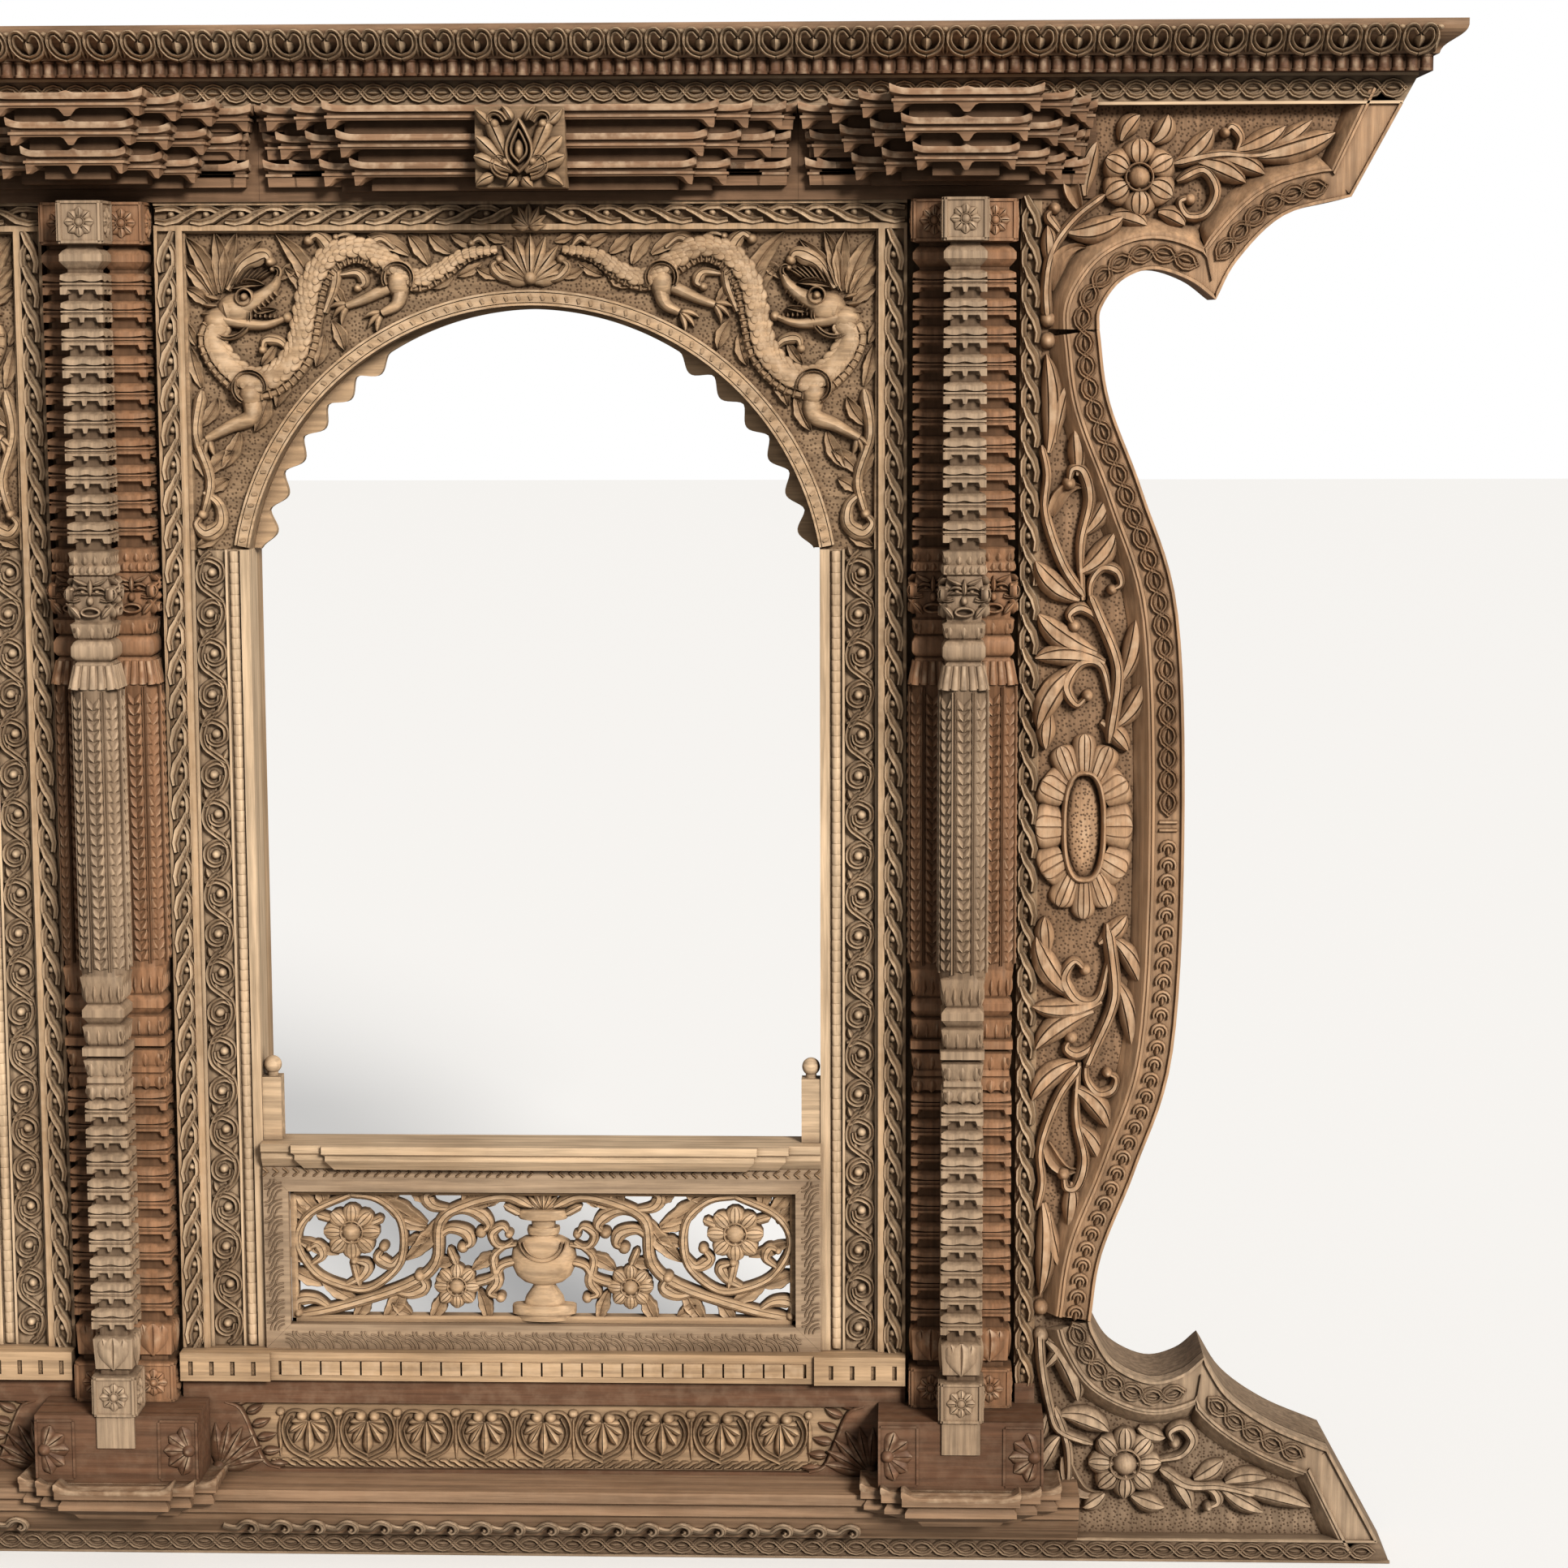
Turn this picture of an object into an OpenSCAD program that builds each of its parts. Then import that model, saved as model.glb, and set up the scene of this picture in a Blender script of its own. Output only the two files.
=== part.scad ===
// Carved teak triple window: three arched bays between four clustered columns,
// stepped eaves, a carved lintel and crown above, a moulded sill below and a curved wing on each end.
// Millimetres. X runs along the facade, Y runs from the street into the room, Z is up.
// The rope frames' faces lie in the plane Y = 0, and the bottom edge lies at Z = 0.

/* [Bays] */
// Distance between two column axes
bay_pitch = 1070; // [1000:5:1200]
// Width of a column's niche between two rope frames
niche_w = 140; // [136:1:160]
// Face width of a rope frame bar
rope_w = 35; // [28:1:45]
// Face width of an inner jamb
jamb_w = 73; // [64:1:90]
// Height of an inner jamb up to the springing line
jamb_h = 1028; // [940:4:1200]
// Height of a spandrel board
spandrel_h = 394; // [370:1:430]
// Height of the spandrel board above the arch's crown
crown_gap = 92; // [80:1:110]
// Width of the beaded band round the arch
arch_band_w = 19; // [12:1:26]
// Lobes on each side of a cusped arch
cusp_count = 4; // [3:1:6]
// Depth of a cusp below the arch band
cusp_d = 24; // [12:1:32]

/* [Base] */
// Height of the bottom fascia
bottom_fascia_h = 30; // [24:1:44]
// Height of the sill moulding
sill_h = 74; // [60:1:96]
// Reach of the sill past an outer column's axis
sill_reach = 150; // [120:1:158]
// Height of the base beam
base_beam_h = 125; // [105:1:150]
// Height of a dentil sill
dentil_h = 37; // [28:1:50]
// Half the width of a base block
block_half_w = 104; // [80:1:120]
// Height of a base block
block_h = 90; // [70:1:100]
// Projection of a base block in front of the base beam
block_d = 80; // [74:1:100]
// Height of a column bracket's top above the sill
bracket_rise = 9; // [4:1:14]

/* [Balustrade panel] */
// Height of a balustrade frame
panel_h = 239; // [200:1:280]
// Face width of a balustrade frame member
panel_frame_w = 32; // [26:1:40]
// Height of a handrail
rail_h = 33; // [24:1:44]
// Height of a finial post above the handrail
finial_h = 82; // [60:1:110]
// Width of a finial post
finial_w = 24; // [20:1:30]

/* [Columns] */
// Side of a column post
post_w = 53; // [48:0.5:56]
// Offset of a flank post from the column axis
flank_offset = 37; // [36:0.5:40]
// Gap between the front post and the flank posts
post_gap = 10; // [6:0.5:14]
// Roof tiers on a post below its shaft
lower_tiers = 9; // [6:1:10]
// Roof tiers on a post above its shaft
upper_tiers = 10; // [6:1:11]
// Height of one roof tier
tier_pitch = 33.5; // [28:0.5:36]
// Side of a tenon at a post's end
tenon_w = 22; // [16:1:26]
// Length of a tenon at a post's end
tenon_l = 42; // [30:1:50]

/* [Lintel and crown] */
// Height of the lintel beam
lintel_h = 111; // [106:1:130]
// Height of the lintel fascia
lintel_fascia_h = 37; // [28:1:46]
// Height of the bead course
bead_h = 20; // [14:1:28]
// Spacing of the reeds on the bead course
reed_pitch = 17; // [14:0.5:30]
// Height of the crown moulding
crown_h = 39; // [30:1:52]
// Projection of the crown past the fascia
crown_out = 60; // [50:1:80]

/* [Eaves] */
// Height of one eave tier
eave_tier_h = 33; // [28:0.5:35]
// Set-back of each lower eave tier
eave_setback = 14; // [8:0.5:18]
// Half the width of a column eave's front step
column_eave_half_w = 92; // [80:1:100]
// Half the width of a bay eave's front step
bay_eave_half_w = 239; // [180:1:250]
// Rise of a column eave's steps, each above the one behind it
eave_rise = 4.5; // [1:0.5:6]
// Width of a bay eave's carved plaque
plaque_w = 108; // [80:1:130]

/* [Depths] */
// Depth of the frame behind the rope frames' faces
frame_d = 95; // [85:1:130]
// Depth of a rope frame bar
rope_d = 60; // [54:1:70]
// Projection of both fascias in front of the rope frames
fascia_out = 25; // [18:1:32]
// Depth of the carved relief on boards
relief_d = 8; // [4:0.5:10]

/* [Wings] */
// Reach of the outer mullion past its column's axis, where the wings begin
end_w = 95; // [86:1:110]
// Reach of a wing's waists past the outer column's axis
waist_reach = 165; // [156:1:180]
// Reach of a wing's belly past the outer column's axis
belly_reach = 276; // [250:1:300]
// Reach of a wing's tips past the outer column's axis
tip_reach = 468; // [440:1:500]
// Width of a wing's chain border
border_w = 42; // [34:1:50]
// Height of an upper wing piece
upper_wing_h = 270; // [260:1:290]
// Height of a lower wing piece, with the open joint above it
lower_wing_h = 286; // [276:1:310]
// Height of an upper wing's tip below the lintel fascia
upper_tip_drop = 111; // [104:1:118]
// Height of a lower wing's tip above the bottom fascia
lower_tip_rise = 120; // [114:1:126]
// Open gap that has come up in the lower wing joint
joint_gap = 12; // [2:1:20]

/* [Fits] */
// Clearance in tenons, housings and rebates
fit = 0.3; // [0.1:0.05:0.6]

/* [Hidden] */
// Heights of the horizontal courses, from the bottom up
z_sill = bottom_fascia_h;
z_base = z_sill + sill_h;
z_block = z_base + bracket_rise;
z_block_top = z_block + block_h;
z_dentil = z_base + base_beam_h;
z_jamb = z_dentil + dentil_h;
z_spring = z_jamb + jamb_h;
z_head = z_spring + spandrel_h;
z_lintel = z_head + rope_w;
z_fascia = z_lintel + lintel_h;
z_bead = z_fascia + lintel_fascia_h;
z_crown = z_bead + bead_h;
z_top = z_crown + crown_h;
z_rail = z_jamb + panel_h;

// Half widths measured from a bay's middle or a column's axis
niche_half = niche_w / 2;
bay_half = bay_pitch / 2 - niche_half;
rope_in = bay_half - rope_w;
opening_half = rope_in - jamb_w;
lattice_half = opening_half - panel_frame_w;
flange_half = bay_pitch / 2 - opening_half;
outer_column_x = 1.5 * bay_pitch;
frame_end = outer_column_x + end_w;

// Depth planes
base_y = -8;
jamb_y = 8;
spandrel_y = 6;
ground_y = spandrel_y + relief_d;
cusp_board_d = 15;
cusp_y = rope_d - cusp_board_d;
mullion_y = 25;
shaft_half = post_w / 2 + 2.5;
flank_y = mullion_y - fit - shaft_half;
front_post_y = flank_y - post_w - post_gap;
panel_y = 0;
panel_back = 45;
lattice_y = 12;
lattice_d = 20;
rebate = 8;
wing_ground_y = 0;
overlap = 1;
swell_out = 0.5;

// Arch circle from its half width and its rise
arch_rise = spandrel_h - crown_gap;
arch_r = (opening_half * opening_half + arch_rise * arch_rise) / (2 * arch_rise);
arch_z = z_spring + arch_rise - arch_r;

// Slope of the wings' outer ends, X per Z, and the upper tip that it starts from
end_slope = 0.54;
upper_tip_z = z_fascia - upper_tip_drop;
lower_tip_z = z_sill + lower_tip_rise;
upper_joint_z = z_fascia - upper_wing_h;
lower_joint_z = z_sill + lower_wing_h;
function upper_end(z) = tip_reach + end_slope * (z - upper_tip_z);
function lower_end(z) = tip_reach + end_slope * (lower_tip_z - z);

column_names = ["1", "2", "3", "4"];
bay_names = ["left", "middle", "right"];
function column_x(i) = (i - 1.5) * bay_pitch;
function bay_x(i) = (i - 1) * bay_pitch;

// Wood tones, warmer on the wings and darker on the eaves
teak = "#9c7449";
dark_teak = "#6f5136";
red_teak = "#805536";
grey_teak = "#8a7154";
warm_teak = "#a9743f";

// Smooth curve through a list of points
function curve_point(a, b, c, d, t) =
    0.5 * (2 * b + (c - a) * t + (2 * a - 5 * b + 4 * c - d) * t * t + (3 * b - a - 3 * c + d) * t * t * t);
function curve(p, steps = 3) = concat(
    [for (i = [0:len(p) - 2])
        for (s = [0:steps - 1])
            curve_point(p[max(i - 1, 0)], p[i], p[i + 1], p[min(i + 2, len(p) - 1)], s / steps)],
    [p[len(p) - 1]]
);
function direction(p, i) =
    let (d = p[min(i + 1, len(p) - 1)] - p[max(i - 1, 0)])
    d / norm(d);
function across(p, i) = [-direction(p, i)[1], direction(p, i)[0]];
function reversed(p) = [for (i = [len(p) - 1:-1:0]) p[i]];
function joined(p, q) = concat(p, [for (i = [1:len(q) - 1]) q[i]]);

// Lengths along a path and points at equal spacing on it
function run(p, i) = i == 0 ? 0 : run(p, i - 1) + norm(p[i] - p[i - 1]);
function at_run(p, d, i = 0) =
    let (l = norm(p[i + 1] - p[i]))
    d <= l || i == len(p) - 2 ? [p[i] + (p[i + 1] - p[i]) * d / l, p[i + 1] - p[i]] : at_run(p, d - l, i + 1);

// Stem of tapering width along a path
module stem(p, w_start, w_end) {
    n = len(p) - 1;
    half = [for (i = [0:n]) (w_start + (w_end - w_start) * i / n) / 2];
    polygon(concat(
        [for (i = [0:n]) p[i] + across(p, i) * half[i]],
        reversed([for (i = [0:n]) p[i] - across(p, i) * half[i]])
    ));
}

// Pointed leaf from the origin along +X
module leaf(l, w) {
    steps = 3;
    edge = [for (i = [1:steps - 1]) [l * i / steps, w / 2 * sin(180 * pow(i / steps, 0.8))]];
    polygon(concat([[0, 0]], edge, [[l, 0]], reversed([for (e = edge) [e[0], -e[1]]])));
}

// Leaf at a place, pointing along an angle
module leaf_at(p, angle, l, w) {
    translate(p) rotate(angle) leaf(l, w);
}

// Fan of leaves spread about an angle
module leaf_fan(p, angle, spread, count, l, w) {
    for (i = [0:count - 1])
        leaf_at(p, angle + spread * (i / (count - 1) - 0.5), l, w);
}

// Volute that winds in round a point and ends in a bud
module volute(p, r, angle, wind, w) {
    steps = 4;
    turn = 300 * wind;
    path = [for (i = [0:steps])
        p + r * (1 - 0.5 * i / steps) * [cos(angle + turn * i / steps), sin(angle + turn * i / steps)]];
    stem(path, w, w * 0.7);
    translate(path[steps]) circle(w * 0.8, $fn = 5);
}

// Flower with rounded petals
module flower(r, petals) {
    points_each = 3;
    polygon([for (i = [0:petals * points_each - 1])
        let (a = 360 * i / (petals * points_each))
        r * (0.72 + 0.28 * sqrt(abs(sin(a * petals / 2)))) * [cos(a), sin(a)]]);
}

// Lozenge eye in one link of a chain
module link(l, w) {
    polygon([[-l / 2, 0], [0, w / 2], [l / 2, 0], [0, -w / 2]]);
}

// Chain of links along a path
module chain(p, pitch, w) {
    total = run(p, len(p) - 1);
    count = floor(total / pitch);
    for (i = [0:count - 1]) {
        spot = at_run(p, total * (i + 0.5) / count);
        translate(spot[0]) rotate(atan2(spot[1][1], spot[1][0])) link(pitch * 0.66, w);
    }
}

// Facade drawing in X and Z, given depth from one Y plane to another
module slab(y_front, y_back) {
    translate([0, y_back, 0]) rotate([90, 0, 0]) linear_extrude(y_back - y_front) children();
}

// Profile in Y and Z, drawn along X
module run_along_x(x_start, x_end) {
    translate([x_start, 0, 0]) rotate([90, 0, 90]) linear_extrude(x_end - x_start) children();
}

module box(from, to) {
    translate(from) cube(to - from);
}

module mirrored() {
    children();
    mirror([1, 0, 0]) children();
}

// Moulding whose profile returns at both ends: a list of set-backs and heights
module returned_moulding(x_start, x_end, y_front, y_back, profile) {
    z_low = profile[len(profile) - 1][1];
    z_high = profile[0][1];
    intersection() {
        run_along_x(x_start, x_end)
            polygon(concat([for (p = profile) [y_front + p[0], p[1]]], [[y_back, z_low], [y_back, z_high]]));
        slab(y_front, y_back)
            polygon(concat([for (p = profile) [x_end - p[0], p[1]]],
                reversed([for (p = profile) [x_start + p[0], p[1]]])));
    }
}

// Bottom fascia: a long board with a chain of links, its ends cut to the wings' slope
chain_pitch = 36;
chain_w = 15;
chain_depth = 4;
module fascia_board(half_low, half_high, z_low, z_high, chain_z) {
    difference() {
        slab(-fascia_out, frame_d)
            polygon([[-half_low, z_low], [half_low, z_low], [half_high, z_high], [-half_high, z_high]]);
        slab(-fascia_out - overlap, -fascia_out + chain_depth)
            chain([[-half_low + border_w, chain_z], [half_low - border_w, chain_z]], chain_pitch, chain_w);
    }
}

module bottom_fascia() {
    color(grey_teak)
        fascia_board(outer_column_x + lower_end(0), outer_column_x + lower_end(z_sill), 0, z_sill, z_sill / 2);
}

// Sill: a wave moulding under two fillets, with a stepped bracket under each column
sill_out = 80;
sill_lip_h = 14;
sill_bevel = 6;
wave_foot = 8;
wave_out = 62;
wave_h = 40;
wave_steps = 5;
bracket_half_w = 126;
bracket_out = 90;
bracket_step = 26;
bracket_steps = 3;
bracket_step_out = 15;
bracket_profile = [[0, 0], [0, 10], [8, 14], [4, 20], [4, 26], [20, 36], [26, 44]];
module sill_moulding() {
    color(grey_teak) {
        run_along_x(-outer_column_x - sill_reach, outer_column_x + sill_reach)
            polygon(concat(
                [[frame_d, z_sill], [-fascia_out - sill_bevel, z_sill]],
                [for (i = [0:wave_steps - 1])
                    [-fascia_out - wave_foot - (wave_out - fascia_out - wave_foot) * sin(90 * i / wave_steps),
                        z_sill + wave_h * (i + 0.4) / wave_steps]],
                [for (z = [z_sill + wave_h, z_base - sill_lip_h - sill_bevel]) [-wave_out - sill_bevel, z]],
                [[-sill_out, z_base - sill_lip_h], [-sill_out, z_base], [frame_d, z_base]]
            ));
        for (i = [0:3])
            translate([column_x(i), 0, 0])
                for (s = [0:bracket_steps - 1])
                    returned_moulding(
                        -bracket_half_w + s * bracket_step, bracket_half_w - s * bracket_step,
                        -bracket_out - s * bracket_step_out, base_y,
                        [for (p = bracket_profile) [p[0], z_block - p[1]]]);
    }
}

// Base beam: a sunk panel of palmettes in each bay, housed for the flank posts at each column
palmette_count = 9;
palmette_pitch = 76;
palmette_h = 80;
palmette_z = z_base + 48;
palmette_panel_half = 412;
palmette_gap = 4;
module heart(size) {
    half = [[0, 0.5], [0.44, 0.2], [0.36, -0.26], [0, -0.5]] * size;
    outline = concat(half, [for (i = [2:-1:1]) [-half[i][0], half[i][1]]]);
    polygon([for (p = outline) [p[0] * palmette_pitch, p[1] * palmette_h]]);
}

module palmette() {
    polygon(concat([[0, -palmette_h * 0.4]],
        [for (i = [0:6])
            let (r = palmette_h * (i % 2 == 0 ? 0.52 : 0.36), a = 54 + 12 * i)
            [r * cos(a), r * sin(a) - palmette_h * 0.2]]));
    difference() {
        heart(1);
        heart(0.86);
    }
}

module base_beam() {
    panel_low = palmette_z - palmette_h / 2 - palmette_gap;
    panel_high = palmette_z + palmette_h / 2 + palmette_gap;
    panel_end = palmette_pitch * palmette_count / 2;
    color(teak)
        difference() {
            union() {
                difference() {
                    box([-frame_end, base_y, z_base], [frame_end, frame_d, z_dentil]);
                    for (b = [0:2])
                        translate([bay_x(b), 0, 0])
                            slab(base_y - overlap, base_y + relief_d)
                                polygon([[-palmette_panel_half, panel_high], [-panel_end, panel_low],
                                    [panel_end, panel_low], [palmette_panel_half, panel_high]]);
                }
                for (b = [0:2])
                    slab(base_y, base_y + relief_d + overlap)
                        for (i = [0:palmette_count - 1])
                            translate([bay_x(b) + (i - (palmette_count - 1) / 2) * palmette_pitch, palmette_z])
                                palmette();
            }
            for (c = [0:3])
                box([column_x(c) - niche_half, base_y - overlap, z_block_top],
                    [column_x(c) + niche_half, mullion_y, z_dentil + overlap]);
        }
}

// Base block under a column, slotted in front for the post's tenon
module base_block(c) {
    color(red_teak)
        difference() {
            box([column_x(c) - block_half_w, base_y - block_d, z_block],
                [column_x(c) + block_half_w, base_y, z_block_top]);
            box([column_x(c) - tenon_w / 2 - fit, base_y - block_d - overlap, z_block_top - tenon_l],
                [column_x(c) + tenon_w / 2 + fit, front_post_y + tenon_w / 2 + fit, z_block_top + overlap]);
        }
}

// Mullion behind a column: a web in the niche and a flange behind the rope frames and jambs
module mullion(c) {
    outer = c == 0 ? -1 : c == 3 ? 1 : 0;
    right_flange = outer == 1 ? end_w : flange_half;
    left_flange = outer == -1 ? end_w : flange_half;
    color(teak)
        translate([column_x(c), 0, 0]) {
            box([-left_flange, rope_d, z_dentil], [right_flange, frame_d, z_lintel]);
            box([-niche_half, mullion_y, z_dentil], [niche_half, rope_d + overlap, z_lintel]);
            if (outer != 0)
                mirror([outer < 0 ? 1 : 0, 0, 0]) end_strip();
        }
}

// Carved strip on the outer side of an outer mullion
module end_strip() {
    strip_w = end_w - niche_half;
    difference() {
        box([niche_half - overlap, 0, z_dentil], [end_w, rope_d + overlap, z_lintel]);
        slab(-overlap, chain_depth)
            rope_gaps(niche_half + strip_w * 0.1, niche_half + strip_w * 0.6, z_jamb, z_lintel);
    }
}

// Rows of slanted gaps that leave the strands of a rope
rope_pitch = 43;
rope_gap_depth = 7;
module rope_gaps(x_low, x_high, z_low, z_high) {
    count = floor((z_high - z_low) / rope_pitch);
    pitch = (z_high - z_low) / count;
    slant = pitch * 0.45;
    gap = pitch * 0.24;
    for (i = [0:count - 1]) {
        z = z_low + (i + 0.5) * pitch;
        polygon([[x_low, z - slant], [x_low, z - slant + gap], [x_high, z + slant], [x_high, z + slant - gap]]);
    }
}

// Rope frame round a bay: two legs and a mitred head
rope_margin = 5;
module rope_frame(b) {
    color(teak)
        translate([bay_x(b), 0, 0]) {
            mirrored()
                difference() {
                    slab(0, rope_d)
                        polygon([[rope_in, z_jamb], [bay_half, z_jamb], [bay_half, z_lintel],
                            [rope_in, z_head]]);
                    slab(-overlap, rope_gap_depth)
                        rope_gaps(rope_in + rope_margin, bay_half - rope_margin, z_jamb, z_head);
                }
            difference() {
                slab(0, rope_d)
                    polygon([[-rope_in + fit, z_head], [rope_in - fit, z_head], [bay_half - fit, z_lintel],
                        [-bay_half + fit, z_lintel]]);
                slab(-overlap, rope_gap_depth)
                    for (side = [0, 1])
                        mirror([side, 0])
                            rotate(-90)
                                rope_gaps(-z_lintel + rope_margin, -z_head - rope_margin, rope_pitch / 2,
                                    rope_in);
            }
        }
}

// Inner jambs with a running scroll between two raised edges
scroll_pitch = 52;
jamb_edge = 8;
bead_edge = 14;
module jamb_scroll() {
    field_w = jamb_w - jamb_edge - bead_edge;
    count = floor(jamb_h / scroll_pitch);
    pitch = jamb_h / count;
    r = field_w * 0.3;
    for (i = [0:count - 1])
        translate([0, (i + 0.5) * pitch]) {
            circle(r, $fn = 6);
            translate([r * 0.75, pitch * 0.25]) rotate(64) link(pitch * 0.7, field_w * 0.34);
        }
}

module inner_jambs(b) {
    field_from = opening_half + bead_edge;
    field_to = rope_in - jamb_edge;
    color(teak)
        translate([bay_x(b), 0, 0])
            mirrored() {
                difference() {
                    box([opening_half, jamb_y, z_jamb], [rope_in, rope_d, z_spring]);
                    box([field_from, jamb_y - overlap, z_jamb + jamb_edge],
                        [field_to, jamb_y + relief_d, z_spring - jamb_edge]);
                }
                slab(jamb_y, jamb_y + relief_d + overlap)
                    intersection() {
                        translate([(field_from + field_to) / 2, z_jamb]) jamb_scroll();
                        translate([field_from, z_jamb + jamb_edge])
                            square([field_to - field_from, jamb_h - 2 * jamb_edge]);
                    }
            }
}

// Dragon of a spandrel, measured from the bay's middle and down from the board's top
dragon_body = [[40, -25], [78, -32], [110, -52], [141, -63], [173, -46], [210, -25], [245, -35], [267, -66],
    [276, -106], [287, -151], [318, -183], [352, -188], [384, -163], [398, -132], [386, -112]];
dragon_head = [[310, -60], [324, -56], [346, -70], [376, -72], [392, -78], [390, -98], [376, -120],
    [355, -126], [326, -120], [320, -110], [343, -106], [340, -98], [323, -90], [311, -78]];
dragon_w = 30;
// Sizes at which the dragons are drawn
dragon_drawn_half = 430;
dragon_drawn_h = 394;
module dragon() {
    stem(curve(dragon_body, 2), dragon_w * 0.8, dragon_w * 1.15);
    polygon(dragon_head);
    stem(curve([[165, -58], [176, -88], [214, -78], [242, -94]]), 24, 10);
    stem(curve([[350, -196], [352, -232], [384, -240], [412, -262]]), 26, 12);
    leaf_fan([392, -84], 62, 110, 4, 74, 22);
    leaf_fan([272, -94], 70, 60, 2, 82, 22);
    leaf_fan([188, -40], 148, 50, 2, 62, 20);
    leaf_at([236, -142], 150, 74, 22);
    leaf_fan([400, -290], 100, 70, 2, 84, 24);
    stem(curve([[404, -350], [388, -318], [398, -270], [410, -228]]), 12, 9);
    volute([404, -368], 20, 90, 1, 9);
    leaf_at([394, -170], -38, 44, 18);
}

module center_fan() {
    leaf_fan([0, -70], 90, 140, 5, 62, 20);
}

module arch_disc(r) {
    translate([0, arch_z]) circle(r, $fn = 96);
}

// Spandrel board: a beaded band round the arch and two dragons facing outwards
module spandrel(b) {
    edge = 6;
    color(teak)
        translate([bay_x(b), 0, 0]) {
            slab(ground_y, cusp_y)
                difference() {
                    spandrel_field(0);
                    arch_disc(arch_r);
                }
            slab(spandrel_y, ground_y + overlap)
                intersection() {
                    spandrel_field(0);
                    difference() {
                        arch_disc(arch_r + arch_band_w);
                        arch_disc(arch_r);
                    }
                }
            slab(spandrel_y, ground_y + overlap)
                difference() {
                    intersection() {
                        spandrel_field(edge);
                        translate([0, z_head])
                            offset(delta = swell_out)
                                scale([rope_in / dragon_drawn_half, spandrel_h / dragon_drawn_h]) {
                                    dragon();
                                    mirror([1, 0]) dragon();
                                    center_fan();
                                }
                    }
                    arch_disc(arch_r + arch_band_w + fit);
                }
        }
}

module spandrel_field(edge) {
    translate([-rope_in + edge, z_spring + edge]) square([2 * (rope_in - edge), spandrel_h - 2 * edge]);
}

// Cusped arch: a thin board behind the spandrel, lobed along both haunches
cusp_margin = 24;
cusp_from = 31;
cusp_valley = 8;
function cusp_to() = 90 - asin((z_spring - arch_z) / arch_r);
function cusp_edge(a) =
    let (span = (cusp_to() - cusp_from) / cusp_count, t = (a - cusp_from) / span)
    a < cusp_from ? cusp_valley * (0.6 + 0.4 * a / cusp_from)
        : cusp_valley + (cusp_d - cusp_valley) * pow(abs(sin(180 * t)), 0.7);
module cusped_arch(b) {
    steps_each = 6;
    steps = steps_each * cusp_count;
    angles = concat([for (i = [0:5]) cusp_from * i / 6],
        [for (i = [0:steps]) cusp_from + (cusp_to() - cusp_from) * i / steps]);
    half = [for (a = angles) let (r = arch_r - cusp_edge(a)) [r * sin(a), arch_z + r * cos(a)]];
    low = [half[len(half) - 1][0], z_spring - cusp_d];
    color(teak)
        translate([bay_x(b), 0, 0])
            slab(cusp_y, rope_d)
                intersection() {
                    difference() {
                        arch_disc(arch_r + cusp_margin);
                        polygon(concat(
                            [[-low[0], low[1]]],
                            reversed([for (p = half) [-p[0], p[1]]]),
                            [for (i = [1:len(half) - 1]) half[i]],
                            [low]
                        ));
                    }
                    spandrel_field(0);
                }
}

// Dentil sill under a bay's jambs and panel
dentil_pitch = 25;
dentil_out = 18;
dentil_depth = 5;
sill_end_out = 24;
module dentil_sill(b) {
    tooth_h = dentil_h * 0.5;
    color(teak)
        translate([bay_x(b), 0, 0]) {
            difference() {
                union() {
                    box([-bay_half, -dentil_out, z_dentil], [bay_half, rope_d, z_jamb]);
                    mirrored()
                        box([opening_half - jamb_edge, -sill_end_out, z_dentil], [bay_half, 0, z_jamb]);
                }
                dentil_gaps(-opening_half + jamb_edge, opening_half - jamb_edge, -dentil_out, tooth_h);
                mirrored()
                    dentil_gaps(opening_half, bay_half, -sill_end_out, tooth_h);
            }
        }
}

module dentil_gaps(x_low, x_high, y_face, tooth_h) {
    count = floor((x_high - x_low) / dentil_pitch);
    pitch = (x_high - x_low) / count;
    gap = pitch * 0.22;
    for (i = [0:count - 1])
        box([x_low + (i + 0.5) * pitch - gap / 2, y_face - overlap, z_dentil + dentil_h * 0.2],
            [x_low + (i + 0.5) * pitch + gap / 2, y_face + dentil_depth, z_dentil + dentil_h * 0.2 + tooth_h]);
}

// Balustrade frame: four mitred members, rebated behind for the lattice
module panel_frame(b) {
    z_low = z_jamb + panel_frame_w;
    z_high = z_rail - panel_frame_w;
    color(teak)
        translate([bay_x(b), 0, 0]) {
            frame_member([[-opening_half + fit, z_jamb], [opening_half - fit, z_jamb]],
                [[lattice_half - fit, z_low], [-lattice_half + fit, z_low]]);
            frame_member([[-opening_half + fit, z_rail], [opening_half - fit, z_rail]],
                [[lattice_half - fit, z_high], [-lattice_half + fit, z_high]]);
            mirrored()
                frame_member([[opening_half, z_jamb], [opening_half, z_rail]],
                    [[lattice_half, z_high], [lattice_half, z_low]]);
        }
}

module frame_member(outer, inner) {
    difference() {
        slab(panel_y, panel_back) polygon(concat(outer, inner));
        box([-lattice_half - rebate - fit, lattice_y, z_jamb + panel_frame_w - rebate - fit],
            [lattice_half + rebate + fit, panel_back + overlap, z_rail - panel_frame_w + rebate + fit]);
    }
}

// Pierced lattice: a vase between scrolling stems with flowers, in a thin border
lattice_border = 8;
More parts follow.
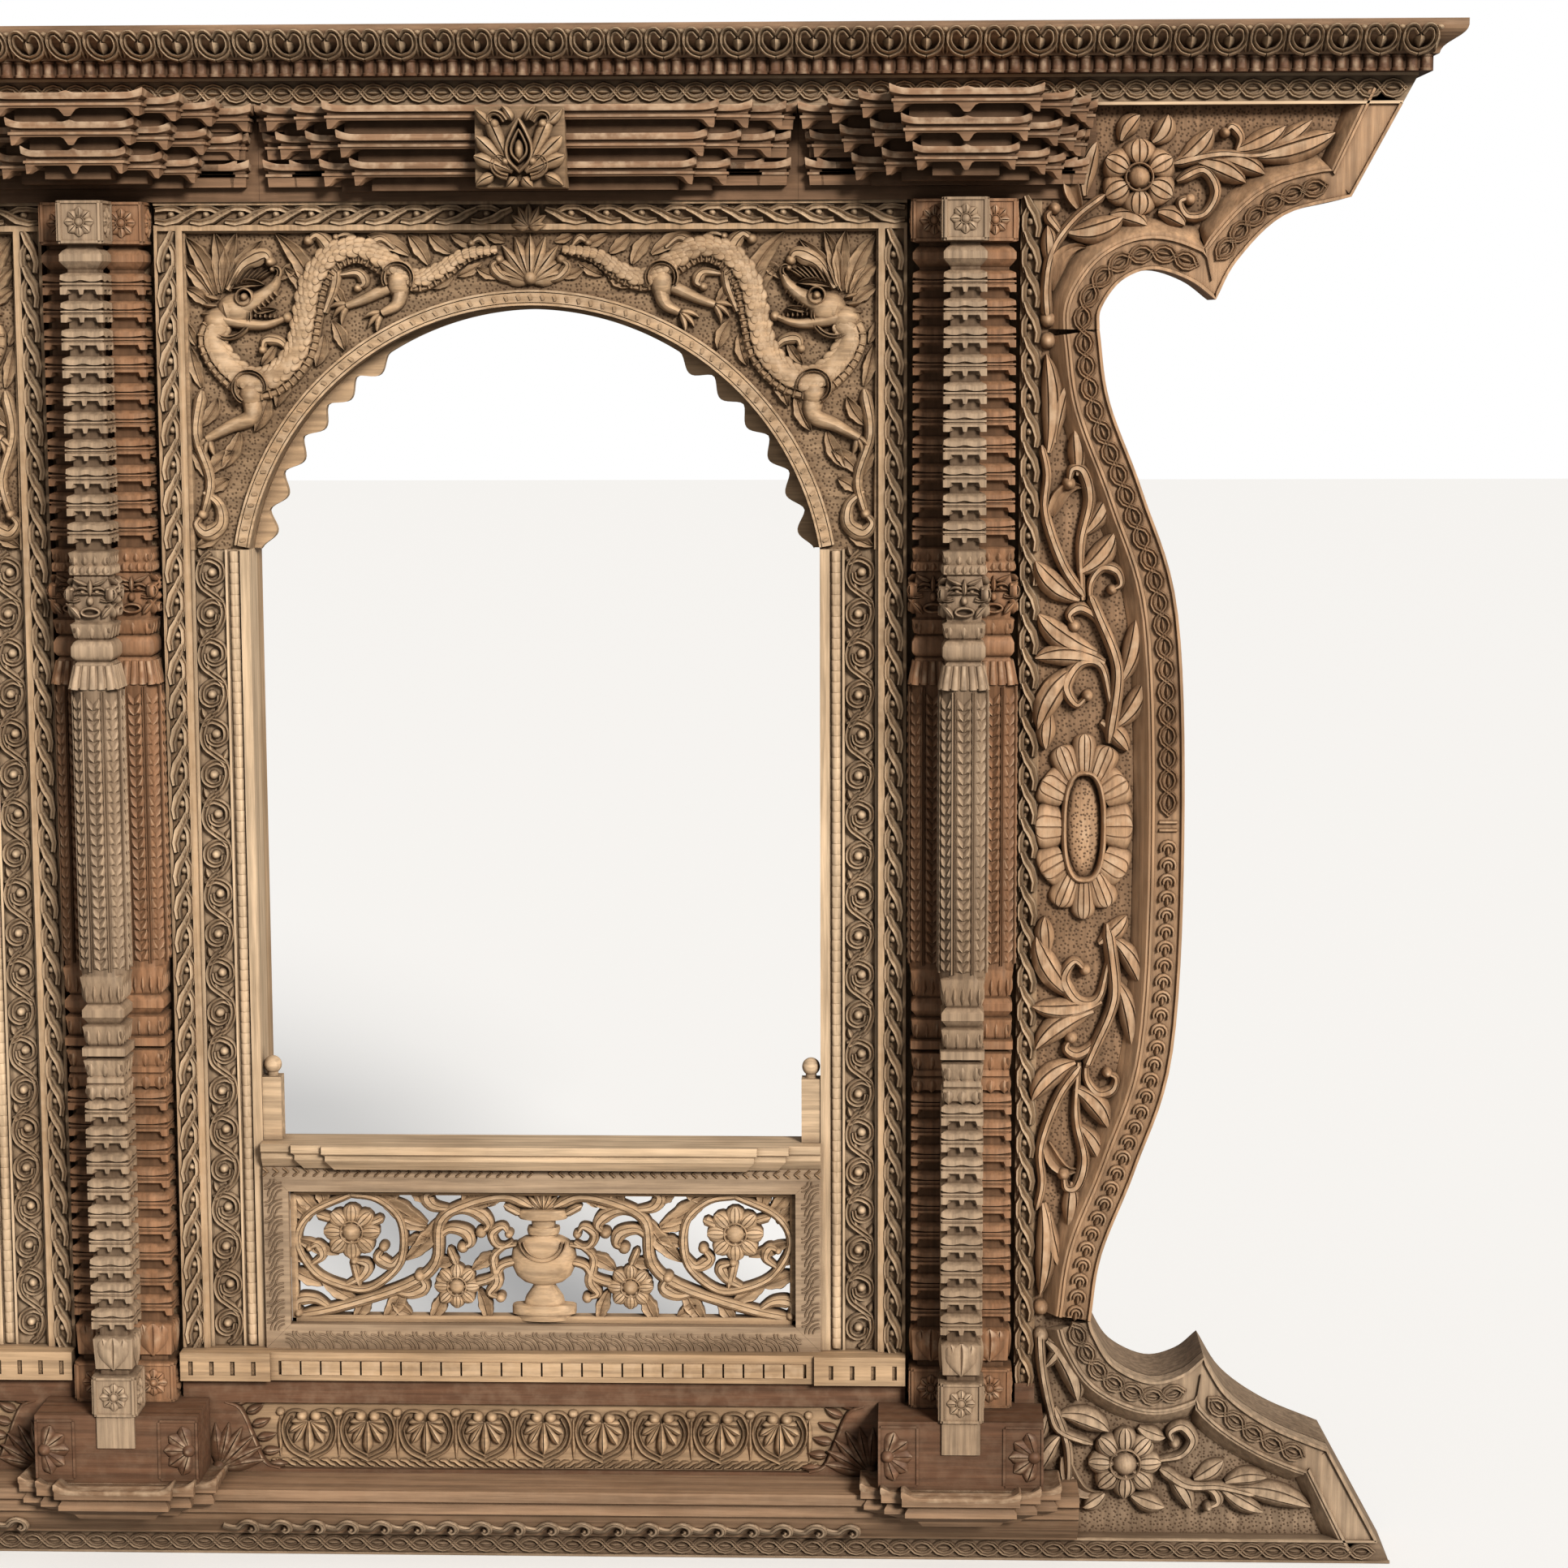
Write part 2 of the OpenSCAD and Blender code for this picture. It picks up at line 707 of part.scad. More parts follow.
// Sizes at which the lattice is drawn
lattice_drawn_half = 325;
lattice_drawn_h = 175;
module lattice_panel(b) {
    lattice_h = panel_h - 2 * panel_frame_w;
    color(teak)
        translate([bay_x(b), 0, z_jamb + panel_frame_w + lattice_h / 2])
            slab(lattice_y, lattice_y + lattice_d)
                union() {
                    difference() {
                        square([2 * (lattice_half + rebate), lattice_h + 2 * rebate], center = true);
                        square(2 * [lattice_half - lattice_border, lattice_h / 2 - lattice_border],
                            center = true);
                    }
                    intersection() {
                        square([2 * lattice_half, lattice_h], center = true);
                        offset(delta = swell_out)
                            scale([lattice_half / lattice_drawn_half, lattice_h / lattice_drawn_h]) {
                                vase();
                                lattice_foliage();
                                mirror([1, 0]) lattice_foliage();
                            }
                    }
                }
}

vase_profile = [[38, -86], [40, -74], [20, -60], [18, -48], [36, -36], [42, -16], [38, 4], [22, 12], [18, 22],
    [30, 32], [34, 44], [26, 54], [32, 76], [16, 80], [0, 92]];
module vase() {
    polygon(concat(vase_profile, reversed([for (p = vase_profile) [-p[0], p[1]]])));
    for (side = [0, 1])
        mirror([side, 0]) {
            volute([46, 16], 17, 225, 1, 8);
            stem(curve([[34, 0], [56, -14], [50, -44], [66, -58]]), 9, 11);
        }
}

lattice_ring = [[236, -76], [288, -52], [300, 6], [276, 56], [226, 64], [180, 40], [172, -4], [192, -46]];
module lattice_foliage() {
    stem(curve([[60, 66], [100, 52], [122, 16], [136, -34], [160, -74]], 2), 10, 12);
    stem(curve([[140, 60], [122, 40], [130, -6], [170, -62], [240, -78]], 2), 9, 12);
    stem(curve(lattice_ring, 2), 12, 8);
    stem([[294, -24], [240, 10]], 8, 8);
    stem([[136, -40], [106, -50]], 8, 8);
    translate([226, 20]) flower(34, 8);
    translate([102, -52]) flower(26, 8);
    volute([66, 36], 20, 80, -1, 9);
    volute([92, 14], 22, 25, -1, 9);
    volute([258, -36], 24, 270, 1, 9);
    leaf_at([60, 70], 12, 72, 18);
    leaf_fan([150, 62], 20, 60, 3, 66, 18);
    leaf_fan([256, -70], 60, 70, 2, 56, 22);
    leaf_fan([300, 60], 70, 120, 3, 40, 18);
    leaf_at([130, 8], -62, 66, 22);
    leaf_at([98, -34], 110, 48, 24);
    leaf_at([118, -76], 185, 60, 18);
    leaf_at([300, -84], 130, 52, 20);
    leaf_at([60, -76], -4, 50, 16);
}

// Handrail with stepped ends, and a finial post beside each jamb
rail_out = 26;
rail_step = 40;
rail_step_back = 7;
rail_profile = [[0, 0], [0, 0.3], [4, 0.4], [4, 0.6], [14, 1]];
ball_r = 11.5;
finial_y = 10;
module handrail(b) {
    color(teak)
        translate([bay_x(b), 0, 0]) {
            for (s = [0:2])
                returned_rail(opening_half - s * rail_step, -rail_out + (2 - s) * rail_step_back);
            mirrored()
                translate([opening_half - finial_w / 2 - fit, finial_y + finial_w / 2, z_rail + rail_h + fit])
                    finial();
        }
}

module returned_rail(half, y_front) {
    z = z_rail + rail_h;
    profile = [for (p = rail_profile) [p[0], z - rail_h * p[1]]];
    intersection() {
        run_along_x(-half, half)
            polygon(concat([for (p = profile) [y_front + p[0], p[1]]],
                [[panel_back, z - rail_h], [panel_back, z]]));
        slab(-rail_out, panel_back)
            polygon(concat([for (p = profile) [half - p[0] * (half < opening_half ? 1 : 0), p[1]]],
                reversed([for (p = profile) [-half + p[0] * (half < opening_half ? 1 : 0), p[1]]])));
    }
}

module finial() {
    post_h = finial_h;
    neck_h = 4;
    translate([-finial_w / 2, -finial_w / 2, 0]) cube([finial_w, finial_w, post_h]);
    translate([0, 0, post_h - overlap]) cylinder(r = ball_r * 0.6, h = neck_h + ball_r);
    translate([0, 0, post_h + neck_h + ball_r * 0.9]) sphere(ball_r, $fn = 32);
}

// Post profile: half widths and heights from the lower block to the upper one
block_part = 53;
collar_part = 55;
cup_part = 159;
pot_part = 169;
top_part = 33;
neck_half = 18;
// Set-backs from the post's face and heights, for the parts between the tiers
collar_profile = [[8.5, 2], [2, 18], [0, 46]];
cup_profile = [[8.5, 0], [2, 18], [4.5, 24], [1, 50], [0, 56], [0, 66], [4.5, 70], [2, 94]];
cup_ring = [98, 22];
cup_lip = [3, 130];
skirt_profile = [4.5, 32];
pot_ring = [35, 25];
pot_petals = [[2, 66], [0, 80]];
pot_bowl = [85, 56];
pot_lip = [[1, 146], [2, 166]];
top_ring = [8, 18];
shaft_end = 4;
skirt_h = 30;
function set_in(profile, z) = [for (p = profile) [post_w / 2 - p[0], z + p[1]]];
function tier(z) = [
    [neck_half, z + tier_pitch * 0.1],
    [post_w * 0.43, z + tier_pitch * 0.12],
    [post_w / 2, z + tier_pitch * 0.86]
];
function tiers(z, count) = [for (i = [0:count - 1]) each tier(z + i * tier_pitch)];
function swell(z, h, low, high) = [[low, z], [high, z + h * 0.34], [high, z + h * 0.66], [low, z + h]];
function post_profile(z, z_high) =
    let (h = post_w / 2,
        z_collar = z + block_part,
        z_tiers = z_collar + collar_part,
        z_cup = z_tiers + lower_tiers * tier_pitch,
        z_shaft = z_cup + cup_part,
        z_block_2 = z_high - block_part,
        z_ring = z_block_2 - top_part,
        z_tiers_2 = z_ring - upper_tiers * tier_pitch,
        z_pot = z_tiers_2 - pot_part)
    concat(
        [[h, z], [h, z_collar]],
        set_in(collar_profile, z_collar),
        tiers(z_tiers, lower_tiers),
        set_in(cup_profile, z_cup),
        swell(z_cup + cup_ring[0], cup_ring[1], neck_half, h),
        set_in([cup_lip], z_cup),
        [[shaft_half, z_shaft - shaft_end], [shaft_half, z_pot + shaft_end]],
        set_in([skirt_profile], z_pot),
        swell(z_pot + pot_ring[0], pot_ring[1], neck_half, h + 1),
        set_in(pot_petals, z_pot),
        swell(z_pot + pot_bowl[0], pot_bowl[1], neck_half, h + 1),
        set_in(pot_lip, z_pot),
        tiers(z_tiers_2, upper_tiers),
        swell(z_ring + top_ring[0], top_ring[1], neck_half, h - 1),
        [[neck_half, z_block_2], [h, z_block_2 + 1], [h, z_high]]
    );

module post_drawing(profile) {
    slab(-post_w, post_w)
        polygon(concat(profile, reversed([for (p = profile) [-p[0], p[1]]])));
}

// Post with mitred mouldings, its shaft cut to eight sides
module post(z, z_high) {
    profile = post_profile(z, z_high);
    z_shaft = z + block_part + collar_part + lower_tiers * tier_pitch + cup_part;
    z_pot = z_high - block_part - top_part - upper_tiers * tier_pitch - pot_part;
    corner = post_w * 0.8;
    shoulder = shaft_half + 2;
    corners = [[corner, z - overlap], [corner, z_shaft - skirt_h - shaft_end], [shoulder, z_shaft - skirt_h],
        [shaft_half, z_shaft], [shaft_half, z_pot], [shoulder, z_pot + skirt_h],
        [corner, z_pot + skirt_h + shaft_end], [corner, z_high + overlap]];
    intersection() {
        post_drawing(profile);
        rotate([0, 0, 90]) post_drawing(profile);
        rotate([0, 0, 45]) post_drawing(corners);
        rotate([0, 0, 135]) post_drawing(corners);
    }
}

// Front post with a tenon at each end
upper_tenon_l = 36;
tenon_top = z_lintel + upper_tenon_l;
module front_post(c) {
    color(grey_teak)
        translate([column_x(c), front_post_y, 0]) {
            post(z_block_top, z_lintel);
            box([-tenon_w / 2, -tenon_w / 2, z_lintel - overlap], [tenon_w / 2, tenon_w / 2, tenon_top]);
            box([-tenon_w / 2, base_y - block_d - front_post_y, z_block_top - tenon_l],
                [tenon_w / 2, tenon_w / 2, z_block_top + overlap]);
        }
}

module flank_posts(c) {
    color(red_teak)
        for (side = [-1, 1])
            translate([column_x(c) + side * flank_offset, flank_y, 0])
                post(z_block_top, z_lintel);
}

// Lintel beam over all three bays
module lintel_beam() {
    color(dark_teak)
        box([-frame_end, 0, z_lintel], [frame_end, frame_d, z_fascia]);
}

module lintel_fascia() {
    color(teak)
        fascia_board(outer_column_x + upper_end(z_fascia), outer_column_x + upper_end(z_bead), z_fascia, z_bead,
            z_fascia + lintel_fascia_h * 0.55);
}

// Eave tiers, from the top down: a lip over a deep hollow, each tier set back from the one above
eave_tiers = 3;
eave_lip = 9;
eave_hollow = 16;
eave_wall = 6;
function eave_profile(z, out) =
    [for (t = [0:eave_tiers - 1])
        let (s = min(t * eave_setback, out - eave_wall - eave_hollow), z_t = z - t * eave_tier_h)
        each [[s, z_t], [s, z_t - eave_lip], [s + eave_hollow, z_t - eave_tier_h * 0.5],
            [s + eave_hollow, z_t - eave_tier_h]]];

// Fascia that the eaves run up to
module under_fascia() {
    box([-bay_pitch, -fascia_out - fit, z_fascia], [bay_pitch, frame_d, z_top]);
}

recess_out = 30;
column_step_w = 37;
column_step_out = [45, 78, 111, 144];
outer_end_reach = [160, 150, 129, column_eave_half_w];
column_eave_reach = column_eave_half_w + 3 * column_step_w;
module column_eave(c) {
    outer = c == 0 ? -1 : c == 3 ? 1 : 0;
    color(dark_teak)
        translate([column_x(c), 0, 0])
            difference() {
                union() {
                    run_along_x(outer == -1 ? -outer_end_reach[0] : -column_eave_reach,
                            outer == 1 ? outer_end_reach[0] : column_eave_reach)
                        eave_section();
                    for (s = [0:3]) {
                        reach = column_eave_half_w + (3 - s) * column_step_w;
                        returned_moulding(
                            outer == -1 ? -outer_end_reach[s] : -reach, outer == 1 ? outer_end_reach[s] : reach,
                            -column_step_out[s], 0, eave_profile(z_fascia + s * eave_rise, column_step_out[s]));
                    }
                }
                under_fascia();
                box([-tenon_w / 2 - fit, front_post_y - tenon_w / 2 - fit, z_lintel],
                    [tenon_w / 2 + fit, front_post_y + tenon_w / 2 + fit, tenon_top]);
            }
}

module eave_section() {
    profile = eave_profile(z_fascia, recess_out);
    polygon(concat([for (p = profile) [-recess_out + p[0], p[1]]],
        [[0, profile[len(profile) - 1][1]], [0, z_fascia]]));
}

bay_step_w = 40;
bay_step_out = [50, 70, 90];
plaque_out = 14;
module bay_eave(b) {
    reach = bay_pitch / 2 - column_eave_reach;
    color(dark_teak)
        translate([bay_x(b), 0, 0]) {
            difference() {
                union() {
                    run_along_x(-reach, reach) eave_section();
                    for (s = [0:2]) {
                        half = min(bay_eave_half_w + (2 - s) * bay_step_w, reach);
                        out = bay_step_out[s];
                        returned_moulding(-half, half, -out, 0, eave_profile(z_fascia, out));
                    }
                    plaque();
                }
                under_fascia();
            }
        }
}

// Carved plaque in the middle of a bay eave: a bud among leaves
module plaque() {
    y_face = -bay_step_out[2] - plaque_out;
    h = eave_tiers * eave_tier_h;
    z = z_fascia - h / 2;
    box([-plaque_w / 2, y_face + relief_d, z_fascia - h], [plaque_w / 2, -recess_out, z_fascia]);
    slab(y_face, y_face + relief_d + overlap)
        translate([0, z])
            intersection() {
                square([plaque_w, h], center = true);
                union() {
                    leaf_at([0, -h * 0.3], 90, h * 0.78, plaque_w * 0.34);
                    for (side = [0, 1])
                        mirror([side, 0]) {
                            leaf_fan([plaque_w * 0.1, -h * 0.34], 40, 90, 4, plaque_w * 0.5, plaque_w * 0.18);
                            volute([plaque_w * 0.36, h * 0.3], plaque_w * 0.12, 200, -1, plaque_w * 0.07);
                            volute([plaque_w * 0.3, -h * 0.36], plaque_w * 0.1, 100, -1, plaque_w * 0.07);
                        }
                }
            }
}

// Bead course: upright reeds along a strip
bead_out = 30;
module bead_course() {
    half = outer_column_x + upper_end(z_bead) + crown_out * 0.2;
    count = floor(2 * half / reed_pitch);
    pitch = 2 * half / count;
    color(teak)
        translate([0, 0, z_bead])
            linear_extrude(bead_h)
                polygon(concat(
                    [[half, frame_d], [-half, frame_d]],
                    [for (i = [0:count - 1])
                        each [[-half + i * pitch, -fascia_out - bead_out + pitch * 0.4],
                            [-half + (i + 0.5) * pitch, -fascia_out - bead_out]]],
                    [[half, -fascia_out - bead_out + pitch * 0.4]]
                ));
}

// Crown moulding: an ogee that returns at both ends
crown_fillet = 8;
module crown_moulding() {
    half = outer_column_x + upper_end(z_bead) + crown_out * 0.8;
    steps = 8;
    ogee = [for (i = [0:steps])
        let (t = i / steps)
        [(crown_out - bead_out) * (t - 0.12 * sin(360 * t)),
            z_top - crown_fillet - (crown_h - crown_fillet) * t]];
    color(teak)
        returned_moulding(-half, half, -fascia_out - crown_out, frame_d, concat([[0, z_top]], ogee));
}

// Wing edges from the outer column's axis, sharp at each cusp and tip
upper_scallop = curve([[waist_reach, upper_joint_z], [waist_reach + 2, upper_joint_z + 26],
    [waist_reach + 26, upper_joint_z + 59], [waist_reach + 64, upper_joint_z + 73],
    [waist_reach + 108, upper_joint_z + 60], [waist_reach + 141, upper_joint_z + 36]]);
upper_hollow = curve([[waist_reach + 141, upper_joint_z + 36], [waist_reach + 167, upper_joint_z + 84],
    [waist_reach + 222, upper_joint_z + 137], [tip_reach, upper_tip_z]]);
upper_edge = concat(joined(upper_scallop, upper_hollow), [[upper_end(z_fascia), z_fascia]]);

wing_mid_z = (upper_joint_z + lower_joint_z) / 2;
wing_half_h = (upper_joint_z - lower_joint_z) / 2;
belly = [[0, 1], [0.12, 0.86], [0.5, 0.68], [0.9, 0.44], [1, 0]];
belly_up = [for (p = belly)
    [waist_reach + (belly_reach - waist_reach) * p[0], wing_mid_z + wing_half_h * p[1]]];
middle_edge = curve(concat(belly_up,
    [for (i = [3:-1:0]) [belly_up[i][0], 2 * wing_mid_z - belly_up[i][1]]]), 4);

lower_scallop = curve([[waist_reach, lower_joint_z - joint_gap], [waist_reach + 6, lower_joint_z - 30],
    [waist_reach + 30, lower_joint_z - 68], [waist_reach + 76, lower_joint_z - 90],
    [waist_reach + 116, lower_joint_z - 81], [waist_reach + 144, lower_joint_z - 58]]);
lower_hollow = curve([[waist_reach + 144, lower_joint_z - 58], [waist_reach + 176, lower_joint_z - 108],
    [waist_reach + 232, lower_joint_z - 148], [tip_reach, lower_tip_z]]);
lower_edge = concat(joined(lower_scallop, lower_hollow), [[lower_end(z_sill), z_sill]]);

// Board of a wing: a chain border along its outer edge and a sunk carved panel inside it
panel_margin = 3;
// Sizes at which the wings' foliage is drawn
upper_drawn_h = 270;
lower_drawn_h = 286;
middle_drawn_w = 181;
middle_drawn_half_h = 624;
spread_drawn_w = 303;
wing_spread = (tip_reach - waist_reach) / spread_drawn_w;
module wing_board(body, edge, panel) {
    border_mid = [for (i = [0:len(edge) - 1]) edge[i] - across(edge, i) * border_w * 0.45];
    difference() {
        slab(-fascia_out, frame_d) polygon(body);
        slab(-fascia_out - overlap, wing_ground_y)
            offset(delta = -border_w) polygon(panel);
        slab(-fascia_out - overlap, -fascia_out + chain_depth)
            chain(border_mid, chain_pitch, chain_w);
    }
    slab(wing_ground_y - relief_d - overlap, wing_ground_y + overlap)
        intersection() {
            offset(delta = -border_w - overlap) polygon(panel);
            offset(delta = -panel_margin) polygon(body);
            offset(delta = swell_out) children();
        }
}

module on_side(side) {
    mirror([side == "left" ? 1 : 0, 0, 0])
        translate([outer_column_x, 0, 0]) children();
}

module upper_wing(side) {
    color(warm_teak)
        on_side(side)
            wing_board(
                concat([[end_w, z_fascia], [end_w, upper_joint_z]], upper_edge),
                reversed(upper_edge),
                concat([[-end_w, z_fascia + border_w], [-end_w, upper_joint_z - border_w],
                    [waist_reach, upper_joint_z - border_w]], upper_edge,
                    [[upper_end(z_fascia + border_w), z_fascia + border_w]])
            ) difference() {
                    translate([waist_reach, upper_joint_z])
                        scale([wing_spread, upper_wing_h / upper_drawn_h]) upper_foliage();
                    translate([0, z_lintel]) square([outer_end_reach[0] + panel_margin, lintel_h]);
                }
}

seam_ball_r = 11;
module upper_foliage() {
    translate([48, 186]) flower(47, 6);
    stem(curve([[-52, 4], [-60, 60], [-30, 110], [20, 150]]), 14, 8);
    stem(curve([[90, 190], [130, 196], [200, 220], [262, 246]]), 10, 6);
    volute([110, 158], 26, 90, -1, 11);
    volute([172, 246], 13, 300, 1, 9);
    leaf_at([190, 214], 14, 96, 28);
    leaf_at([130, 196], -18, 60, 24);
    leaf_at([104, 200], 38, 64, 24);
    leaf_fan([60, 226], 70, 60, 2, 40, 24);
    leaf_at([-30, 112], 8, 64, 22);
    leaf_fan([-44, 70], 30, 70, 2, 50, 22);
    leaf_at([-30, 120], 92, 84, 26);
    volute([-58, 140], 15, 0, 1, 9);
    translate([-58, 10]) circle(seam_ball_r, $fn = 16);
}

module middle_wing(side) {
    z_low = lower_joint_z;
    color(warm_teak)
        on_side(side)
            wing_board(
                concat([[end_w, z_low], [end_w, upper_joint_z]], middle_edge),
                middle_edge,
                concat([[-end_w, z_low - border_w], [-end_w, upper_joint_z + border_w],
                    [waist_reach, upper_joint_z + border_w]], middle_edge, [[waist_reach, z_low - border_w]])
            ) translate([end_w, wing_mid_z])
                    scale([(belly_reach - end_w) / middle_drawn_w, wing_half_h / middle_drawn_half_h]) {
                        middle_foliage();
                        mirror([0, 1]) middle_foliage();
                        translate([oval_half_w + oval_margin, 0]) oval_flower();
                    }
}

oval_petals = 14;
oval_half_w = 56;
oval_half_h = 112;
oval_margin = 12;
module oval_flower() {
    points_each = 3;
    polygon([for (i = [0:oval_petals * points_each - 1])
        let (a = 360 * i / (oval_petals * points_each))
        (0.8 + 0.2 * sqrt(abs(sin(a * oval_petals / 2)))) * [oval_half_w * cos(a), oval_half_h * sin(a)]]);
}

module middle_foliage() {
    stem(curve([[50, 120], [86, 150], [92, 210], [56, 270], [44, 340], [60, 410]]), 14, 9);
    volute([58, 168], 28, 270, 1, 11);
    volute([62, 390], 18, 300, 1, 10);
    leaf_at([24, 120], 96, 90, 26);
    leaf_at([84, 200], 160, 84, 30);
    leaf_at([84, 236], 70, 90, 30);
    leaf_at([60, 262], 130, 84, 30);
    leaf_at([46, 330], 60, 80, 26);
    leaf_at([40, 390], 104, 100, 24);
    leaf_at([22, 470], 88, 120, 20);
    translate([20, 606]) circle(seam_ball_r, $fn = 16);
}

// Lower wing, with a key left standing in its open joint
key_inset = 16;
key_d = 30;
module lower_wing(side) {
    z_high = lower_joint_z - joint_gap;
    slope_w = 36;
    color(grey_teak)
        on_side(side) {
            wing_board(
                concat([[sill_reach, z_sill], [sill_reach, z_base], [end_w, z_base], [end_w, z_high]],
                    lower_edge),
                lower_edge,
                concat([[-end_w, z_sill + slope_w - border_w], [-end_w, z_high + border_w],
                    [waist_reach, z_high + border_w]], lower_edge,
                    [[lower_end(z_sill + slope_w - border_w), z_sill + slope_w - border_w]])
            ) translate([waist_reach, z_base])
                    scale([wing_spread, lower_wing_h / lower_drawn_h]) lower_foliage();
            box([end_w + key_inset, rope_d - key_d, z_high - overlap],
                [waist_reach - key_inset, rope_d, lower_joint_z]);
        }
}

module lower_foliage() {
    translate([52, 34]) flower(44, 8);
    stem(curve([[-52, 190], [-50, 130], [-30, 80], [10, 40]]), 12, 9);
    stem(curve([[96, 30], [150, 20], [230, 4]]), 9, 6);
    leaf_fan([-44, 110], 110, 100, 3, 56, 22);
    leaf_fan([-30, 70], 60, 60, 2, 50, 22);
    leaf_at([150, 20], 8, 90, 24);
    leaf_at([130, 22], -30, 60, 22);
    leaf_at([110, 28], 40, 50, 22);
    volute([100, 0], 18, 90, -1, 9);
    translate([-56, 186]) circle(seam_ball_r, $fn = 16);
}

bottom_fascia();
sill_moulding();
base_beam();
lintel_beam();
lintel_fascia();
bead_course();
crown_moulding();
for (c = [0:3]) {
    base_block(c);
    mullion(c);
    front_post(c);
    flank_posts(c);
    column_eave(c);
}
for (b = [0:2]) {
    bay_eave(b);
    rope_frame(b);
    inner_jambs(b);
    spandrel(b);
    cusped_arch(b);
    handrail(b);
    lattice_panel(b);
    panel_frame(b);
    dentil_sill(b);
}
for (s = ["left", "right"]) {
    upper_wing(s);
    middle_wing(s);
    lower_wing(s);
}
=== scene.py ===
"""Carving, weathered wood and studio stage for a carved teak triple window."""
import math

import bmesh
import bpy
import numpy as np
from mathutils import Matrix, Vector
from mathutils.geometry import tessellate_polygon


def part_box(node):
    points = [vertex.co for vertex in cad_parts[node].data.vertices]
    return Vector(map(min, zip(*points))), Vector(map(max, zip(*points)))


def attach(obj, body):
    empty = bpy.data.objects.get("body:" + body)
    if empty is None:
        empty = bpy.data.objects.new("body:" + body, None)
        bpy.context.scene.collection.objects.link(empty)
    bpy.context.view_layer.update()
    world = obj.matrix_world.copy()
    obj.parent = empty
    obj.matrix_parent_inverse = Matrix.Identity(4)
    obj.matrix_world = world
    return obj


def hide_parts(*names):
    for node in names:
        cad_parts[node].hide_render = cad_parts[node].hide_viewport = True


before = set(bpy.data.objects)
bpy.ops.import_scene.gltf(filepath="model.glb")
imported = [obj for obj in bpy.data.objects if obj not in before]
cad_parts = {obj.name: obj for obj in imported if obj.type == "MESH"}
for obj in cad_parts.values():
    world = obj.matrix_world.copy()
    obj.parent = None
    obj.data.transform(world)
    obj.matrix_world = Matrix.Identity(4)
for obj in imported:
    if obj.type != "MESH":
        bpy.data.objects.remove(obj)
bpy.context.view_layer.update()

bl_info = {
    "name": "Carved Teak Triple Window",
    "version": (1, 0, 0),
    "blender": (4, 5, 0),
    "location": "3D View > Sidebar > Carved Window",
    "description": "Carving, weathered wood and a studio stage for a carved teak triple window",
    "category": "Object",
}

BAYS = ("left", "middle", "right")
COLUMNS = ("1", "2", "3", "4")
SIDES = ("left", "right")
MM = 0.001


def edge(node, axis, end):
    """One side of a node's box in millimetres, end 0 for the low side and 1 for the high one."""
    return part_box(node)[end]["xyz".index(axis)] / MM


# Main lines of the frame in millimetres
PITCH = edge("front_post_4", "x", 0) - edge("front_post_3", "x", 0)
OUTER = 1.5 * PITCH
BAY_X = {name: (i - 1) * PITCH for i, name in enumerate(BAYS)}
COLUMN_X = {name: (i - 1.5) * PITCH for i, name in enumerate(COLUMNS)}
Z_SILL = edge("sill_moulding", "z", 0)
Z_BASE = edge("base_beam", "z", 0)
Z_BLOCK_TOP = edge("base_block_4", "z", 1)
Z_DENTIL = edge("dentil_sill_right", "z", 0)
Z_JAMB = edge("inner_jambs_right", "z", 0)
Z_SPRING = edge("inner_jambs_right", "z", 1)
Z_HEAD = edge("spandrel_right", "z", 1)
Z_LINTEL = edge("lintel_beam", "z", 0)
Z_FASCIA = edge("lintel_fascia", "z", 0)
Z_BEAD = edge("bead_course", "z", 0)
Z_CROWN = edge("crown_moulding", "z", 0)
Z_RAIL = edge("panel_frame_right", "z", 1)
OPENING = edge("panel_frame_right", "x", 1) - PITCH
ROPE_IN = edge("spandrel_right", "x", 1) - PITCH
BAY_HALF = edge("rope_frame_right", "x", 1) - PITCH
FRAME_END = edge("base_beam", "x", 1)
BACK_Y = edge("base_beam", "y", 1)
BASE_Y = edge("base_beam", "y", 0)
FASCIA_Y = edge("lintel_fascia", "y", 0)
POST_HALF = 26.5
FRONT_Y = (edge("front_post_4", "y", 0) + edge("front_post_4", "y", 1)) / 2
FLANK_Y = (edge("flank_posts_4", "y", 0) + edge("flank_posts_4", "y", 1)) / 2
FLANK_X = 37.0
END_W = FRAME_END - OUTER
ARCH_RISE = Z_HEAD - Z_SPRING - 92
ARCH_R = (OPENING ** 2 + ARCH_RISE ** 2) / (2 * ARCH_RISE)
ARCH_Z = Z_SPRING + ARCH_RISE - ARCH_R
ARCH_ANGLE = math.degrees(math.asin(OPENING / ARCH_R))
EAVE_TOP = Z_FASCIA - 0.5
EAVE_REACH = 203
FASCIA_GROUND = FASCIA_Y + 4.5
PANEL_LOW, PANEL_HIGH = Z_BASE + 4, 196.0

# Slant of the fascias' ends, and the wings' lines from the outer column's axis
FLARE = 0.54
WING_NECK, WING_REACH = 165.0, 468.0
CHAIN_INSET, CHAIN_Y, BAR_LEVEL = 20.0, -20.5, 951

# Depths of carved grounds, and of the boards' backs, behind the frame's face
SPANDREL_Y, ROPE_Y, BEAD_Y, SCROLL_Y, BOARD_BACK = 14, 7, 13, 16, 60

# Height of a post's small tier, and how far its corners are cut: 2 for a full square
TIER = 33.5
POST_CUT, SHAFT_CUT = 1.96, 1.46

# Finish: smallest angle of a sharp edge, reach of the painted shade and dirt into hollows, relief of plain wood,
# punched pits
SHARP_EDGE = math.radians(38)
OCCLUSION_SHADE_REACH, PLAIN_RELIEF, PUNCHES_PER_METRE = 0.018, 0.78, 190

# A row's spacing is set a hair short, so that its last unit is kept
KEEP_LAST = 0.99995

